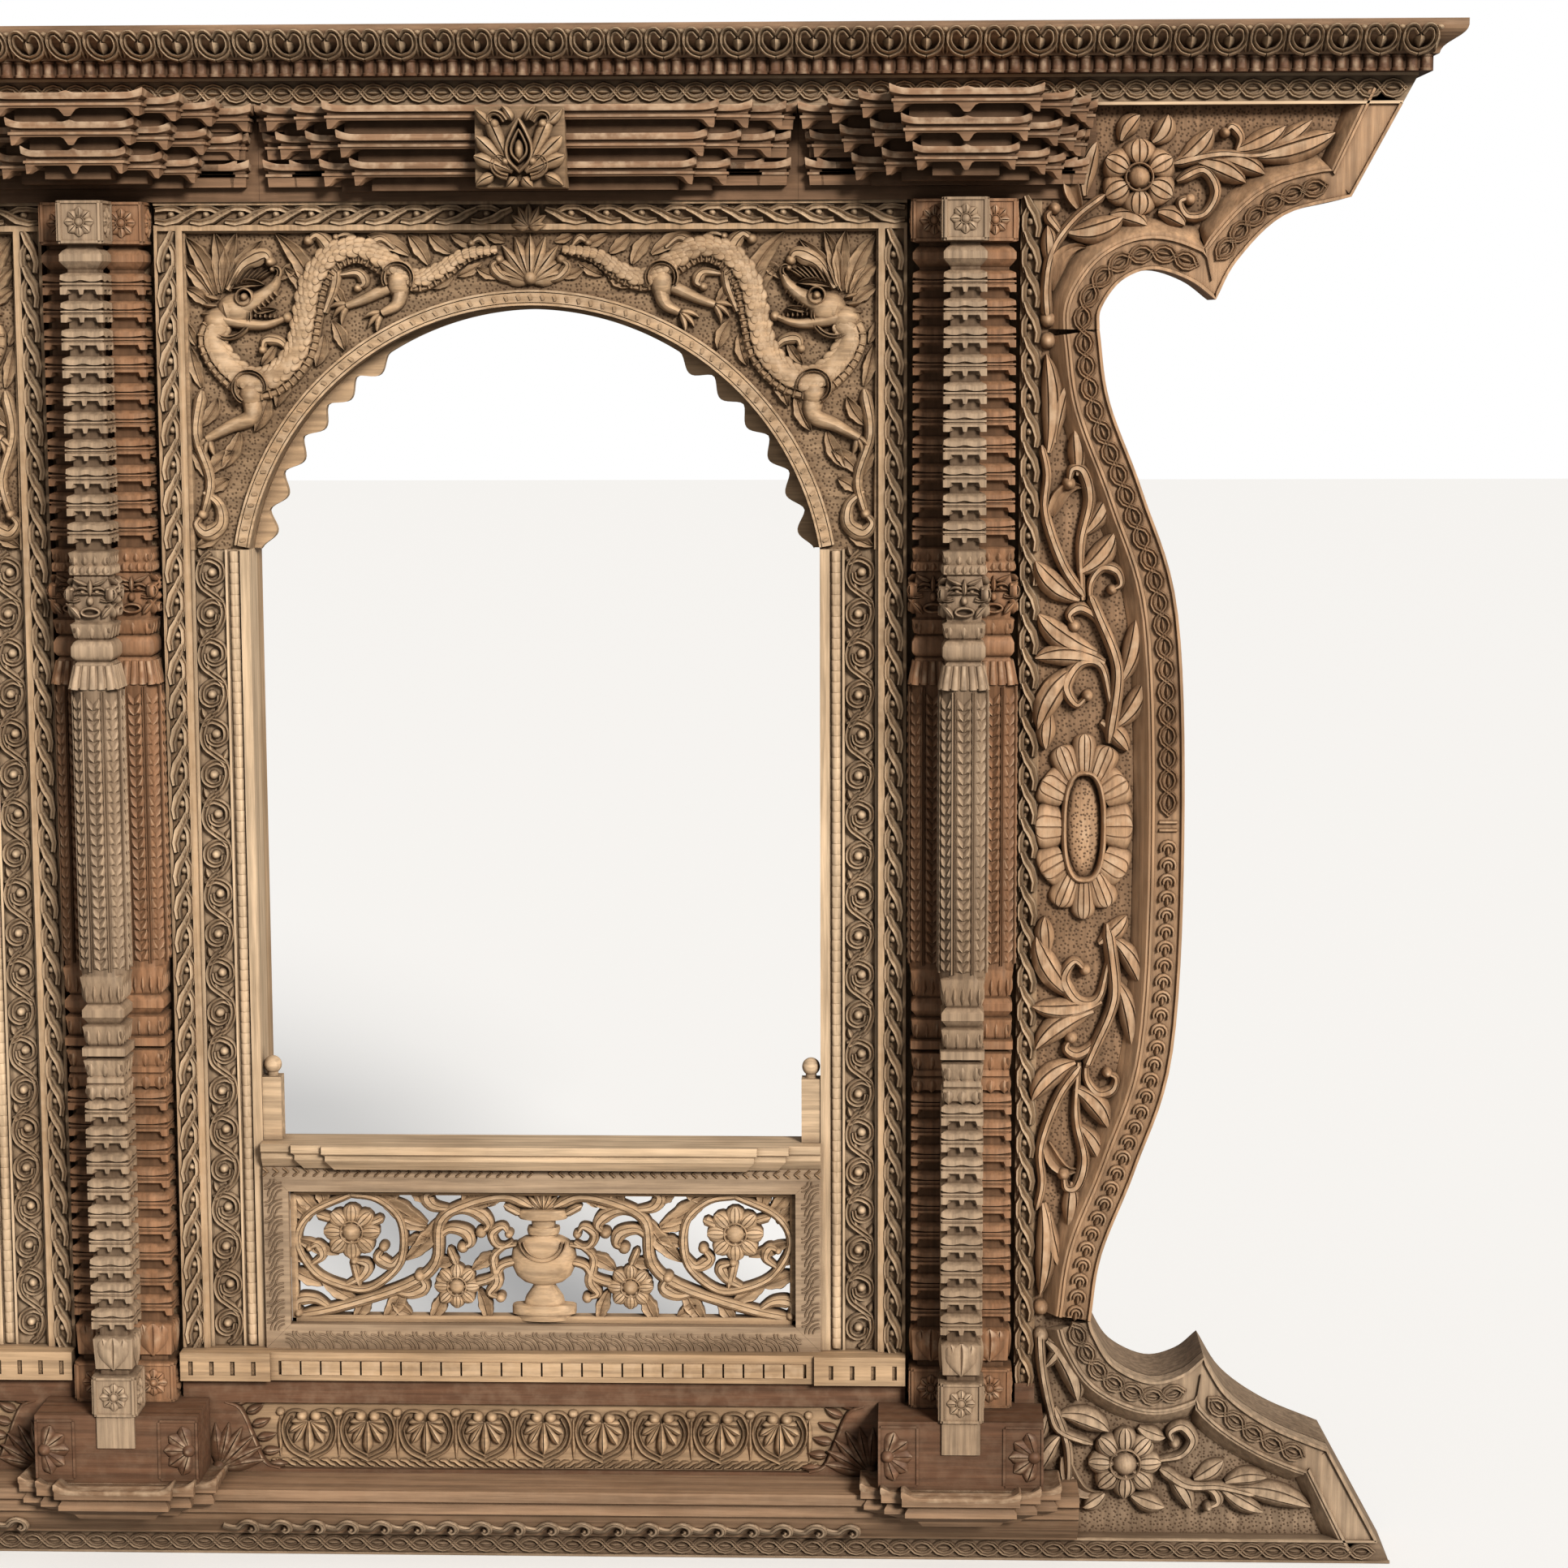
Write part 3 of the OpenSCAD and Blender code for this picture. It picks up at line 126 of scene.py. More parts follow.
# Stage: a soft sun from the upper right, a dim white surround, a pale floor and the photo's camera
SUN_POWER, SUN_SPREAD, SUN_COLOUR = 4.1, math.radians(16), (1.0, 0.96, 0.9)
SUN_WAY, FILL = (-0.46, 0.76, -0.43), 0.22
FLOOR_TONE, FLOOR_SEEN, FLOOR_GLOW = (0.25, 0.245, 0.24), (0.94, 0.94, 0.94), 0.2
CAMERA_PLACE, LENS, SENSOR = (1.5277, -4.287, 1.5782), 79.27, 36
CAMERA_YAW, CAMERA_DIP, CAMERA_ROLL = 1.947, 7.671, -0.17

# Sections of carved ribs: places across, from -1 to 1, and heights, from 0 to 1
ROUND = ((-1, 0), (-0.86, 0.5), (-0.5, 0.87), (0, 1), (0.5, 0.87), (0.86, 0.5), (1, 0))
RIDGE = ((-1, 0.1), (0, 1), (1, 0.1))
GOUGED = ((-1, 0), (-0.86, 0.75), (-0.55, 1), (-0.25, 0.66), (0.1, 0.6), (0.4, 1), (0.86, 0.7), (1, 0))
VEINED = ((-1, 0.3), (-0.6, 0.8), (-0.12, 1), (0, 0.55), (0.12, 1), (0.6, 0.8), (1, 0.3))
HOLLOW = ((-1, 0.5), (-0.8, 1), (-0.4, 0.62), (0.1, 0.5), (0.5, 0.75), (0.85, 1), (1, 0.4))
PETAL = ((-1, 0), (-0.94, 0.42), (-0.74, 0.78), (-0.5, 0.9), (-0.44, 0.78), (-0.38, 0.93), (-0.05, 1), (0.01, 0.84),
         (0.07, 1), (0.42, 0.93), (0.48, 0.78), (0.54, 0.9), (0.76, 0.76), (0.94, 0.42), (1, 0))
GROOVED = ((-1, 0), (-0.88, 0.58), (-0.46, 0.92), (-0.38, 0.76), (-0.3, 0.96), (0.3, 0.96), (0.38, 0.74), (0.46, 0.9),
           (0.88, 0.56), (1, 0))
STRAND = ((-1, 0.1), (-0.6, 0.95), (0.1, 0.62), (0.6, 1), (1, 0.1))
SCALE = ((-1, 0), (-0.62, 0.82), (0, 1), (0.62, 0.82), (1, 0))
TWIN = ((-1, 0.3), (-0.6, 1), (0, 0.42), (0.6, 1), (1, 0.3))
BLADE = ((-1, 0.5), (-0.84, 1), (-0.5, 0.62), (-0.14, 0.5), (0, 0.84), (0.14, 0.5), (0.5, 0.62), (0.84, 1), (1, 0.5))
BAND = ((-1, 1), (-0.72, 1), (-0.66, 0.55), (-0.6, 0.94), (0.6, 0.94), (0.66, 0.55), (0.72, 1), (1, 1))


class Carving:
    """Closed shells as arrays: points in millimetres, quads, triangles and a relief value per point."""

    def __init__(self, points=(), quads=(), tris=(), relief=()):
        self.points = np.asarray(points, float).reshape(-1, 3)
        self.quads = np.asarray(quads, int).reshape(-1, 4)
        self.tris = np.asarray(tris, int).reshape(-1, 3)
        self.relief = np.asarray(relief, float).reshape(-1)

    def shaped(self, points):
        return Carving(points, self.quads, self.tris, self.relief)

    def moved(self, x=0.0, z=0.0, y=0.0):
        return self.shaped(self.points + (x, y, z))

    def turned(self, degrees):
        """Turn in the plane of the facade."""
        c, s = math.cos(math.radians(degrees)), math.sin(math.radians(degrees))
        x, y, z = self.points.T
        return self.shaped(np.stack([x * c - z * s, y, x * s + z * c], 1))

    def swung(self, degrees):
        """Turn about the upright axis."""
        c, s = math.cos(math.radians(degrees)), math.sin(math.radians(degrees))
        x, y, z = self.points.T
        return self.shaped(np.stack([x * c - y * s, x * s + y * c, z], 1))

    def leaned(self, slope, z=0.0):
        """Lean the carving so that its depth follows its height."""
        return self.shaped(self.points + np.outer(self.points[:, 2] - z, (0, slope, 0)))

    def stretched(self, x=1.0, y=1.0, z=1.0):
        return self.shaped(self.points * (x, y, z))

    def mirrored(self):
        return self.stretched(x=-1)


def joined(parts):
    """Many carvings as one."""
    parts = [p for p in parts if len(p.points)]
    starts = np.cumsum([0] + [len(p.points) for p in parts])
    return Carving(
        np.vstack([p.points for p in parts]),
        np.vstack([p.quads + n for p, n in zip(parts, starts)]),
        np.vstack([p.tris + n for p, n in zip(parts, starts)]),
        np.concatenate([p.relief for p in parts]),
    )


def both(carving):
    """A carving and its mirror image."""
    return joined([carving, carving.mirrored()])


def each(make, *rows):
    """One carving for each row of values."""
    return [make(*row) for row in rows]


def spline(points, steps=5):
    """Smooth path through points."""
    p = np.asarray(points, float)
    q = np.vstack([2 * p[0] - p[1], p, 2 * p[-1] - p[-2]])
    t = np.linspace(0, 1, steps, endpoint=False)[:, None]
    parts = [
        0.5 * (2 * b + (c - a) * t + (2 * a - 5 * b + 4 * c - d) * t ** 2 + (3 * b - a - 3 * c + d) * t ** 3)
        for a, b, c, d in zip(q, q[1:], q[2:], q[3:])
    ]
    return np.vstack(parts + [p[-1:]])


def arc(x, z, r, start, end, count=24):
    """Arc about a point, angles in degrees."""
    a = np.radians(np.linspace(start, end, count))
    return np.stack([x + r * np.cos(a), z + r * np.sin(a)], 1)


def bent(base, angle, length, bend=0.0, count=9, power=1.0):
    """Path that leaves a point at an angle and bends as it goes."""
    t = np.linspace(0, 1, count)
    a = np.radians(angle + bend * ((t[1:] + t[:-1]) / 2) ** power)
    steps = np.stack([np.cos(a), np.sin(a)], 1) * length / (count - 1)
    return np.vstack([base, np.asarray(base, float) + np.cumsum(steps, 0)])


def spaced(path, spacing):
    """Points and angles at even spacing along a path."""
    path = np.asarray(path, float)
    run = np.concatenate([[0], np.cumsum(np.linalg.norm(np.diff(path, axis=0), axis=1))])
    count = max(int(run[-1] / spacing), 1)
    at = (np.arange(count) + 0.5) * run[-1] / count
    x, z = np.interp(at, run, path[:, 0]), np.interp(at, run, path[:, 1])
    ahead = np.minimum(at + 1, run[-1])
    behind = np.maximum(at - 1, 0)
    dx = np.interp(ahead, run, path[:, 0]) - np.interp(behind, run, path[:, 0])
    dz = np.interp(ahead, run, path[:, 1]) - np.interp(behind, run, path[:, 1])
    return list(zip(x, z, np.degrees(np.arctan2(dz, dx)), at / run[-1]))


def loft(rings, relief, closed=False):
    """Shell through a stack of equal rings, capped at both ends unless it closes on itself."""
    rings = np.asarray(rings, float)
    n, m = rings.shape[:2]
    i, j = np.meshgrid(np.arange(n if closed else n - 1), np.arange(m), indexing="ij")
    up, on = (i + 1) % n, (j + 1) % m
    quads = np.stack([i * m + j, i * m + on, up * m + on, up * m + j], -1).reshape(-1, 4)
    tris = []
    if not closed:
        cap = np.stack([np.full(m - 2, m - 1), np.arange(m - 2), np.arange(1, m - 1)], 1)
        tris = np.vstack([cap, cap[:, ::-1] + (n - 1) * m])
    return Carving(rings.reshape(-1, 3), quads, tris, np.broadcast_to(relief, (n, m)))


def ribbon(path, width, height, section=ROUND, sink=3.0, closed=False):
    """Carved rib along a path: its widths and heights may change on the way."""
    path = np.asarray(path, float)
    n = len(path)
    if closed:
        tangent = np.roll(path, -1, 0) - np.roll(path, 1, 0)
    else:
        tangent = np.gradient(path, axis=0)
    tangent /= np.maximum(np.linalg.norm(tangent, axis=1, keepdims=True), 1e-9)
    across = np.stack([-tangent[:, 1], tangent[:, 0]], 1)
    shape = np.asarray(section, float)
    place = np.concatenate([shape[:, 0], [1, -1]])
    width = np.broadcast_to(width, n)[:, None] / 2
    high = np.broadcast_to(height, n)[:, None]
    depth = np.hstack([-high * shape[:, 1], np.full((n, 2), sink)])
    x = path[:, :1] + across[:, :1] * width * place
    z = path[:, 1:] + across[:, 1:] * width * place
    relief = np.concatenate([shape[:, 1], [0, 0]])
    return loft(np.stack([x, depth, z], -1), relief, closed)


def leaf(base, angle, length, width, height=8.0, bend=0.0, section=VEINED, count=8, sink=3.0):
    """Pointed leaf with a vein, bending to one side."""
    t = np.linspace(0, 1, count)
    swell = np.sin(np.pi * t ** 0.72) ** 0.8
    return ribbon(bent(base, angle, length, bend, count), np.maximum(swell, 0.07) * width,
                  height * (0.4 + 0.6 * swell), section, sink)


def tendril(base, angle, length, bend, start=9.0, end=6.0, height=8.0, bud=0.0, section=GOUGED, count=15,
            power=1.7, sink=3.0):
    """Curling stem that may end in a round bud."""
    path = bent(base, angle, length, bend, count, power)
    t = np.linspace(0, 1, count)
    stalk = ribbon(path, start + (end - start) * t, height * (1 - 0.15 * t), section, sink)
    if not bud:
        return stalk
    return joined([stalk, dome(*path[-1], bud, height + bud * 0.4, sink=sink)])


def hook(base, angle, length, bend, width, height=8.0, sink=3.0):
    """Leaf that swells, then curls over at its end."""
    t = np.linspace(0, 1, 13)
    swell = np.sin(np.pi * np.clip(t * 0.86 + 0.12, 0, 1) ** 0.9)
    path = bent(base, angle, length, bend, 13, 2.0)
    return ribbon(path, np.maximum(swell, 0.1) * width, height * (0.5 + 0.5 * swell), HOLLOW, sink)


def dome(x, z, r, h, stretch=1.0, sides=14, rings=5, sink=2.0):
    """Round boss."""
    a = np.linspace(0, 2 * math.pi, sides, endpoint=False)
    levels = [(1.0, sink)] + [(math.cos(math.pi / 2 * k / rings), -h * math.sin(math.pi / 2 * k / rings))
                              for k in range(rings)] + [(0.04, -h)]
    loops = [np.stack([x + r * f * np.cos(a), np.full(sides, y), z + r * f * stretch * np.sin(a)], 1)
             for f, y in levels]
    relief = np.linspace(0, 1, len(levels))[:, None]
    return loft(loops, relief)


def half_turned(profile, depth, back):
    """Half-round body from widths and levels, flat behind."""
    a = np.linspace(0, math.pi, 15)
    wide = max(w for w, z in profile)
    rings = []
    for w, z in profile:
        front = np.stack([w * np.cos(a), -depth * np.sin(a) * (w / wide) ** 0.4, np.full(15, z)], 1)
        rings.append(np.vstack([front, [(-w, back, z), (w, back, z)]]))
    return loft(rings, 0.85)


def flower(r, petals, height=10.0, heart=0.34, turn=90.0, sink=3.0, fine=True):
    """Open flower of grooved petals round a domed heart; small ones are made plainer."""
    t = np.linspace(0, 1, 9 if fine else 6)
    swell = np.sqrt(np.clip(1 - ((t - 0.6) / 0.42) ** 2, 0.015, 1))
    path = np.stack([r * (0.2 + 0.8 * t), 0 * t], 1)
    petal = ribbon(path, 1.9 * r * math.sin(math.pi / petals) * swell,
                   height * (0.5 + 0.5 * np.sin(math.pi * (0.1 + 0.8 * t))), PETAL if fine else VEINED, sink)
    heart_r = r * heart
    ring = ribbon(arc(0, 0, heart_r, 0, 345, 24) if fine else arc(0, 0, heart_r, 0, 330, 12), heart_r * 0.3, height,
                  ROUND, sink, closed=True)
    return joined([petal.turned(turn + 360 * i / petals) for i in range(petals)]
                  + [ring, dome(0, 0, heart_r, height * 1.25, sink=sink)])


def lobe(base, angle, length, width, height=9.0, sink=2.0):
    """Round-ended lobe of a leaf with a vein."""
    t = np.linspace(0, 1, 8)
    swell = np.interp(t, (0, 0.4, 0.75, 0.92, 1), (0.3, 0.75, 1, 0.75, 0.2))
    return ribbon(bent(base, angle, length, 0, 8), width * swell, height * (0.55 + 0.45 * swell), VEINED, sink)


def fan(base, angle, sweep, count, length, width, height=8.0, droop=0.75, bend=0.0, sink=3.0):
    """Fan of leaves, longest in the middle."""
    parts = []
    for i in range(count):
        u = 2 * i / (count - 1) - 1
        parts.append(leaf(base, angle + sweep / 2 * u, length * (1 - (1 - droop) * u * u), width,
                          height * (1 - 0.3 * abs(u)), bend * u, sink=sink))
    return joined(parts)


def prism(outline, y_front, y_back, holes=(), relief=0.25):
    """Board cut to an outline in the facade, with holes."""
    loops = [np.asarray(p, float) for p in (outline, *holes)]
    flat = np.vstack(loops)
    n = len(flat)
    face = np.asarray(tessellate_polygon([[Vector((x, z, 0)) for x, z in p] for p in loops]), int)
    front = np.stack([flat[:, 0], np.full(n, y_front), flat[:, 1]], 1)
    back = np.stack([flat[:, 0], np.full(n, y_back), flat[:, 1]], 1)
    quads, start = [], 0
    for p in loops:
        i = np.arange(len(p)) + start
        k = np.roll(i, -1)
        quads.append(np.stack([i, k, k + n, i + n], 1))
        start += len(p)
    return Carving(np.vstack([front, back]), np.vstack(quads), np.vstack([face, face[:, ::-1] + n]),
                   np.full(2 * n, relief))


def block(x0, x1, y0, y1, z0, z1, relief=0.75):
    """Plain rectangular bar."""
    return prism([(x0, z0), (x1, z0), (x1, z1), (x0, z1)], y0, y1, relief=relief)


def mitres(path):
    """Directions to the left of a path, lengthened at its corners."""
    path = np.asarray(path, float)
    along = np.diff(path, axis=0)
    along /= np.linalg.norm(along, axis=1, keepdims=True)
    normal = np.stack([-along[:, 1], along[:, 0]], 1)
    first, last = np.vstack([normal[:1], normal]), np.vstack([normal, normal[-1:]])
    mid = first + last
    mid /= np.linalg.norm(mid, axis=1, keepdims=True)
    return mid / np.maximum(np.sum(mid * last, axis=1, keepdims=True), 0.4)


def runs(path, sharp=25.0):
    """Stretches of a path between sharp corners, each with the mitre planes that end it."""
    path = np.asarray(path, float)
    along = np.diff(path, axis=0)
    along /= np.linalg.norm(along, axis=1, keepdims=True)
    turn = np.degrees(np.arccos(np.clip(np.sum(along[1:] * along[:-1], axis=1), -1, 1)))
    cuts = [0, *(int(i) + 1 for i in np.nonzero(turn > sharp)[0]), len(path) - 1]
    made = []
    for a, b in zip(cuts, cuts[1:]):
        stops = []
        if a:
            plane = along[a - 1] + along[a]
            stops.append((path[a], -plane / np.linalg.norm(plane)))
        if b < len(path) - 1:
            plane = along[b - 1] + along[b]
            stops.append((path[b], plane / np.linalg.norm(plane)))
        made.append((path[a:b + 1], stops))
    return made


def moulding(path, profile, relief=0.8):
    """Profile of insets to the left of a path and depths, mitred at the path's sharp corners."""
    parts = []
    for run, stops in runs(path):
        side = mitres(run)
        rings = np.array([[(p[0] + s[0] * d, y, p[1] + s[1] * d) for d, y in profile] for p, s in zip(run, side)])
        for tip, across in stops:
            over = np.maximum((rings[:, :, 0] - tip[0]) * across[0] + (rings[:, :, 2] - tip[1]) * across[1], 0)
            rings[:, :, 0] -= over * across[0]
            rings[:, :, 2] -= over * across[1]
        parts.append(loft(rings, relief))
    return joined(parts)


def plain_object(name, carving, skin):
    """Mesh object of a carving, with outward normals, relief as an attribute and sharp edges kept."""
    mesh = bpy.data.meshes.new(name)
    quads, tris = carving.quads, carving.tris
    loops = np.concatenate([quads.ravel(), tris.ravel()])
    sizes = np.concatenate([np.full(len(quads), 4), np.full(len(tris), 3)])
    mesh.vertices.add(len(carving.points))
    mesh.vertices.foreach_set("co", (carving.points * MM).astype(np.float32).ravel())
    mesh.loops.add(len(loops))
    mesh.loops.foreach_set("vertex_index", loops.astype(np.int32))
    mesh.polygons.add(len(sizes))
    mesh.polygons.foreach_set("loop_start", np.concatenate([[0], np.cumsum(sizes)[:-1]]).astype(np.int32))
    mesh.update(calc_edges=True)
    shell = bmesh.new()
    shell.from_mesh(mesh)
    layer = shell.verts.layers.float.new("relief")
    for vert, value in zip(shell.verts, carving.relief):
        vert[layer] = value
    bmesh.ops.dissolve_degenerate(shell, dist=1e-6, edges=shell.edges)
    bmesh.ops.recalc_face_normals(shell, faces=shell.faces)
    shell.to_mesh(mesh)
    shell.free()
    mesh.shade_smooth()
    mesh.set_sharp_from_angle(angle=SHARP_EDGE)
    mesh.materials.append(skin)
    piece = bpy.data.objects.new(name, mesh)
    bpy.context.scene.collection.objects.link(piece)
    return piece


def settle(piece, slot, *nodes):
    """Put a finished piece on the frame, in the place of the solids that it stands for."""
    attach(piece, "root")
    if nodes:
        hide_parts(*nodes)
    return piece


def carve(name, carving, skin, slot, *nodes):
    """A carving as a finished piece."""
    settle(plain_object(name, carving, skin), slot, *nodes)


def row_tree():
    """Node tree that sets one carved unit along paths at even spacing, turned to follow them."""
    name = "Carved Row"
    if name in bpy.data.node_groups:
        return bpy.data.node_groups[name]
    tree = bpy.data.node_groups.new(name, "GeometryNodeTree")
    for label, kind in (("Geometry", "Geometry"), ("Unit", "Object"), ("Spacing", "Float"), ("Wood", "Material")):
        tree.interface.new_socket(label, in_out="INPUT", socket_type="NodeSocket" + kind)
    tree.interface.new_socket("Geometry", in_out="OUTPUT", socket_type="NodeSocketGeometry")
    add, link = tree.nodes.new, tree.links.new
    start, end = add("NodeGroupInput"), add("NodeGroupOutput")
    curve, spots = add("GeometryNodeMeshToCurve"), add("GeometryNodeCurveToPoints")
    turn, unit = add("FunctionNodeAlignRotationToVector"), add("GeometryNodeObjectInfo")
    place, real = add("GeometryNodeInstanceOnPoints"), add("GeometryNodeRealizeInstances")
    cover = add("GeometryNodeSetMaterial")
    spots.mode = "LENGTH"
    turn.axis, turn.pivot_axis = "X", "Y"
    link(start.outputs["Geometry"], curve.inputs["Mesh"])
    link(curve.outputs["Curve"], spots.inputs["Curve"])
    link(start.outputs["Spacing"], spots.inputs["Length"])
    link(spots.outputs["Tangent"], turn.inputs["Vector"])
    link(start.outputs["Unit"], unit.inputs["Object"])
    link(spots.outputs["Points"], place.inputs["Points"])
    link(unit.outputs["Geometry"], place.inputs["Instance"])
    link(turn.outputs["Rotation"], place.inputs["Rotation"])
    link(place.outputs["Instances"], real.inputs["Geometry"])
    link(real.outputs["Geometry"], cover.inputs["Geometry"])
    link(start.outputs["Wood"], cover.inputs["Material"])
    link(cover.outputs["Geometry"], end.inputs["Geometry"])
    return tree


def paced(path, spacing):
    """A path cut evenly at both ends to a whole number of spacings between its first and last unit."""
    path = np.asarray(path, float)
    run = np.concatenate([[0], np.cumsum(np.linalg.norm(np.diff(path, axis=0), axis=1))])
    count = max(int(round(run[-1] / spacing)), 2)
    inset = run[-1] / count / 2
    at = np.linspace(inset, run[-1] - inset, max(count * 3, 2))
    cut = np.stack([np.interp(at, run, path[:, k]) for k in range(3)], 1)
    return cut, np.linalg.norm(np.diff(cut, axis=0), axis=1).sum() / (count - 1)


def carved_row(name, unit, paths, spacing, skin):
    """One carved unit repeated along each path, as a plain object."""
    made = []
    for number, path in enumerate(paths):
        cut, step = paced(path, spacing)
        unit_piece = plain_object(f"{name}_unit", unit, skin)
        line = bpy.data.meshes.new(f"{name}_line")
        line.from_pydata([tuple(p * MM) for p in cut], [(i, i + 1) for i in range(len(cut) - 1)], [])
        carrier = bpy.data.objects.new(f"{name}_{number}", line)
        bpy.context.scene.collection.objects.link(carrier)
        row = carrier.modifiers.new("Row", "NODES")
        row.node_group = row_tree()
        values = {"Unit": unit_piece, "Spacing": step * MM * KEEP_LAST, "Wood": skin}
        for item in row.node_group.interface.items_tree:
            if item.in_out == "INPUT" and item.name in values:
                row[item.identifier] = values[item.name]
        bpy.context.view_layer.update()
        done = carrier.evaluated_get(bpy.context.evaluated_depsgraph_get())
        made.append(bpy.data.meshes.new_from_object(done))
        for spent in (carrier, unit_piece):
            mesh = spent.data
            bpy.data.objects.remove(spent)
            bpy.data.meshes.remove(mesh)
    shell = bmesh.new()
    for mesh in made:
        shell.from_mesh(mesh)
        bpy.data.meshes.remove(mesh)
    mesh = bpy.data.meshes.new(name)
    shell.to_mesh(mesh)
    shell.free()
    if not mesh.polygons:
        raise RuntimeError(f"{name} came out empty")
    mesh.materials.append(skin)
    mesh.shade_smooth()
    mesh.set_sharp_from_angle(angle=SHARP_EDGE)
    piece = bpy.data.objects.new(name, mesh)
    bpy.context.scene.collection.objects.link(piece)
    return piece


def carve_row(name, unit, paths, spacing, skin, slot):
    """A row of one carved unit as a finished piece."""
    settle(carved_row(name, unit, paths, spacing, skin), slot)


def rail_path(x0, x1, z, y):
    """Level path in the facade at a depth."""
    return np.array([(x0, y, z), (x1, y, z)], float)


def upright_path(x, z0, z1, y):
    """Upright path in the facade at a depth."""
    return np.array([(x, y, z0), (x, y, z1)], float)


def deep(path, y):
    """A facade path given a depth."""
    path = np.asarray(path, float)
    return np.stack([path[:, 0], np.full(len(path), y), path[:, 1]], 1)


def shader_group(name, inputs, outputs):
    """Empty shader node group with named sockets."""
    tree = bpy.data.node_groups.new(name, "ShaderNodeTree")
    for way, sockets in (("INPUT", inputs), ("OUTPUT", outputs)):
        for label, kind in sockets:
            tree.interface.new_socket(label, in_out=way, socket_type="NodeSocket" + kind)
    return tree, tree.nodes.new("NodeGroupInput"), tree.nodes.new("NodeGroupOutput")


def feed(tree, socket, value):
    """Link a socket to another one or give it a constant."""
    if hasattr(value, "is_linked"):
        tree.links.new(value, socket)
    elif hasattr(value, "__len__") and len(value) == 3 and socket.type == "RGBA":
        socket.default_value = (*value, 1)
    else:
        socket.default_value = value


def math_node(tree, operation, a, b, clamp=False):
    """Sum, difference or product of two values."""
    node = tree.nodes.new("ShaderNodeMath")
    node.operation, node.use_clamp = operation, clamp
    feed(tree, node.inputs[0], a)
    feed(tree, node.inputs[1], b)
    return node.outputs[0]


def blend(tree, factor, a, b, kind="MIX"):
    """Mix of two colours."""
    node = tree.nodes.new("ShaderNodeMix")
    node.data_type, node.blend_type = "RGBA", kind
    feed(tree, node.inputs[0], factor)
    feed(tree, node.inputs[6], a)
    feed(tree, node.inputs[7], b)
    return node.outputs[2]


def spread(tree, value, low, high):
    """A value spread smoothly from 0 to 1 between two levels."""
    node = tree.nodes.new("ShaderNodeMapRange")
    node.interpolation_type = "SMOOTHSTEP"
    feed(tree, node.inputs[0], value)
    feed(tree, node.inputs[1], low)
    feed(tree, node.inputs[2], high)
    return node.outputs[0]


def noise(tree, place, scale, detail, rough=0.55):
    """Uneven value over the surface."""
    node = tree.nodes.new("ShaderNodeTexNoise")
    feed(tree, node.inputs["Vector"], place)
    feed(tree, node.inputs["Scale"], scale)
    feed(tree, node.inputs["Detail"], detail)
    feed(tree, node.inputs["Roughness"], rough)
    return node.outputs[0]


def grain_group():
    """Long wood fibres with slow changes of tone."""
    name = "Teak Grain"
    if name in bpy.data.node_groups:
        return bpy.data.node_groups[name]
    tree, start, end = shader_group(
        name, (("Place", "Vector"), ("Stretch", "Vector"), ("Light", "Color"), ("Dark", "Color")),
        (("Color", "Color"), ("Ridge", "Float")))
    long = tree.nodes.new("ShaderNodeVectorMath")
    long.operation = "MULTIPLY"
    tree.links.new(start.outputs["Place"], long.inputs[0])
    tree.links.new(start.outputs["Stretch"], long.inputs[1])
    fibre = noise(tree, long.outputs[0], 1.0, 6.0, 0.68)
    patch = noise(tree, start.outputs["Place"], 5.0, 4.0)
    tone = blend(tree, spread(tree, fibre, 0.3, 0.72), start.outputs["Dark"], start.outputs["Light"])
    tone = blend(tree, spread(tree, patch, 0.35, 0.75), tone,
                 blend(tree, 1.0, tone, (0.72, 0.68, 0.64), "MULTIPLY"))
    tree.links.new(tone, end.inputs["Color"])
    tree.links.new(fibre, end.inputs["Ridge"])
    return tree


def weathering_and_painted_light_group():
    """Darker recesses, from dirt and painted shade, and paler raised edges, from wear and a painted highlight."""
    name = "Weathering"
    if name in bpy.data.node_groups:
        return bpy.data.node_groups[name]
    tree, start, end = shader_group(
        name, (("Place", "Vector"), ("Color", "Color"), ("Relief", "Float"), ("Cavity", "Float"),
               ("Grime", "Color"), ("Worn", "Color")), (("Color", "Color"), ("Roughness", "Float")))
    fleck = noise(tree, start.outputs["Place"], 60.0, 4.0)
    low = math_node(tree, "SUBTRACT", 1.0, start.outputs["Relief"])
    hidden = math_node(tree, "SUBTRACT", 1.0, start.outputs["Cavity"])
    # Darkening from low relief and from the occlusion node: dirt, and painted shade in hollows
    dirt_and_shade = math_node(tree, "ADD", math_node(tree, "MULTIPLY", math_node(tree, "MULTIPLY", low, low), 0.72),
                     math_node(tree, "MULTIPLY", hidden, 0.9))
    dirt_and_shade = math_node(tree, "MULTIPLY", dirt_and_shade, math_node(tree, "ADD", fleck, 0.55), True)
    # Paler raised parts: wear, and a painted highlight
    wear_and_highlight = spread(tree, start.outputs["Relief"], 0.72, 1.05)
    wear_and_highlight = math_node(tree, "MULTIPLY", wear_and_highlight, spread(tree, fleck, 0.38, 0.7))
    wear_and_highlight = math_node(tree, "MULTIPLY", wear_and_highlight, 0.6, True)
    tone = blend(tree, wear_and_highlight, start.outputs["Color"], start.outputs["Worn"])
    tone = blend(tree, dirt_and_shade, tone, start.outputs["Grime"])
    tree.links.new(tone, end.inputs["Color"])
    tree.links.new(math_node(tree, "ADD", math_node(tree, "MULTIPLY", dirt_and_shade, 0.25), 0.6), end.inputs["Roughness"])
    return tree


def grouped(tree, group, **values):
    """A node group set into a tree with its own values."""
    node = tree.nodes.new("ShaderNodeGroup")
    node.node_tree = group
    for label, value in values.items():
        feed(tree, node.inputs[label], value)
    return node


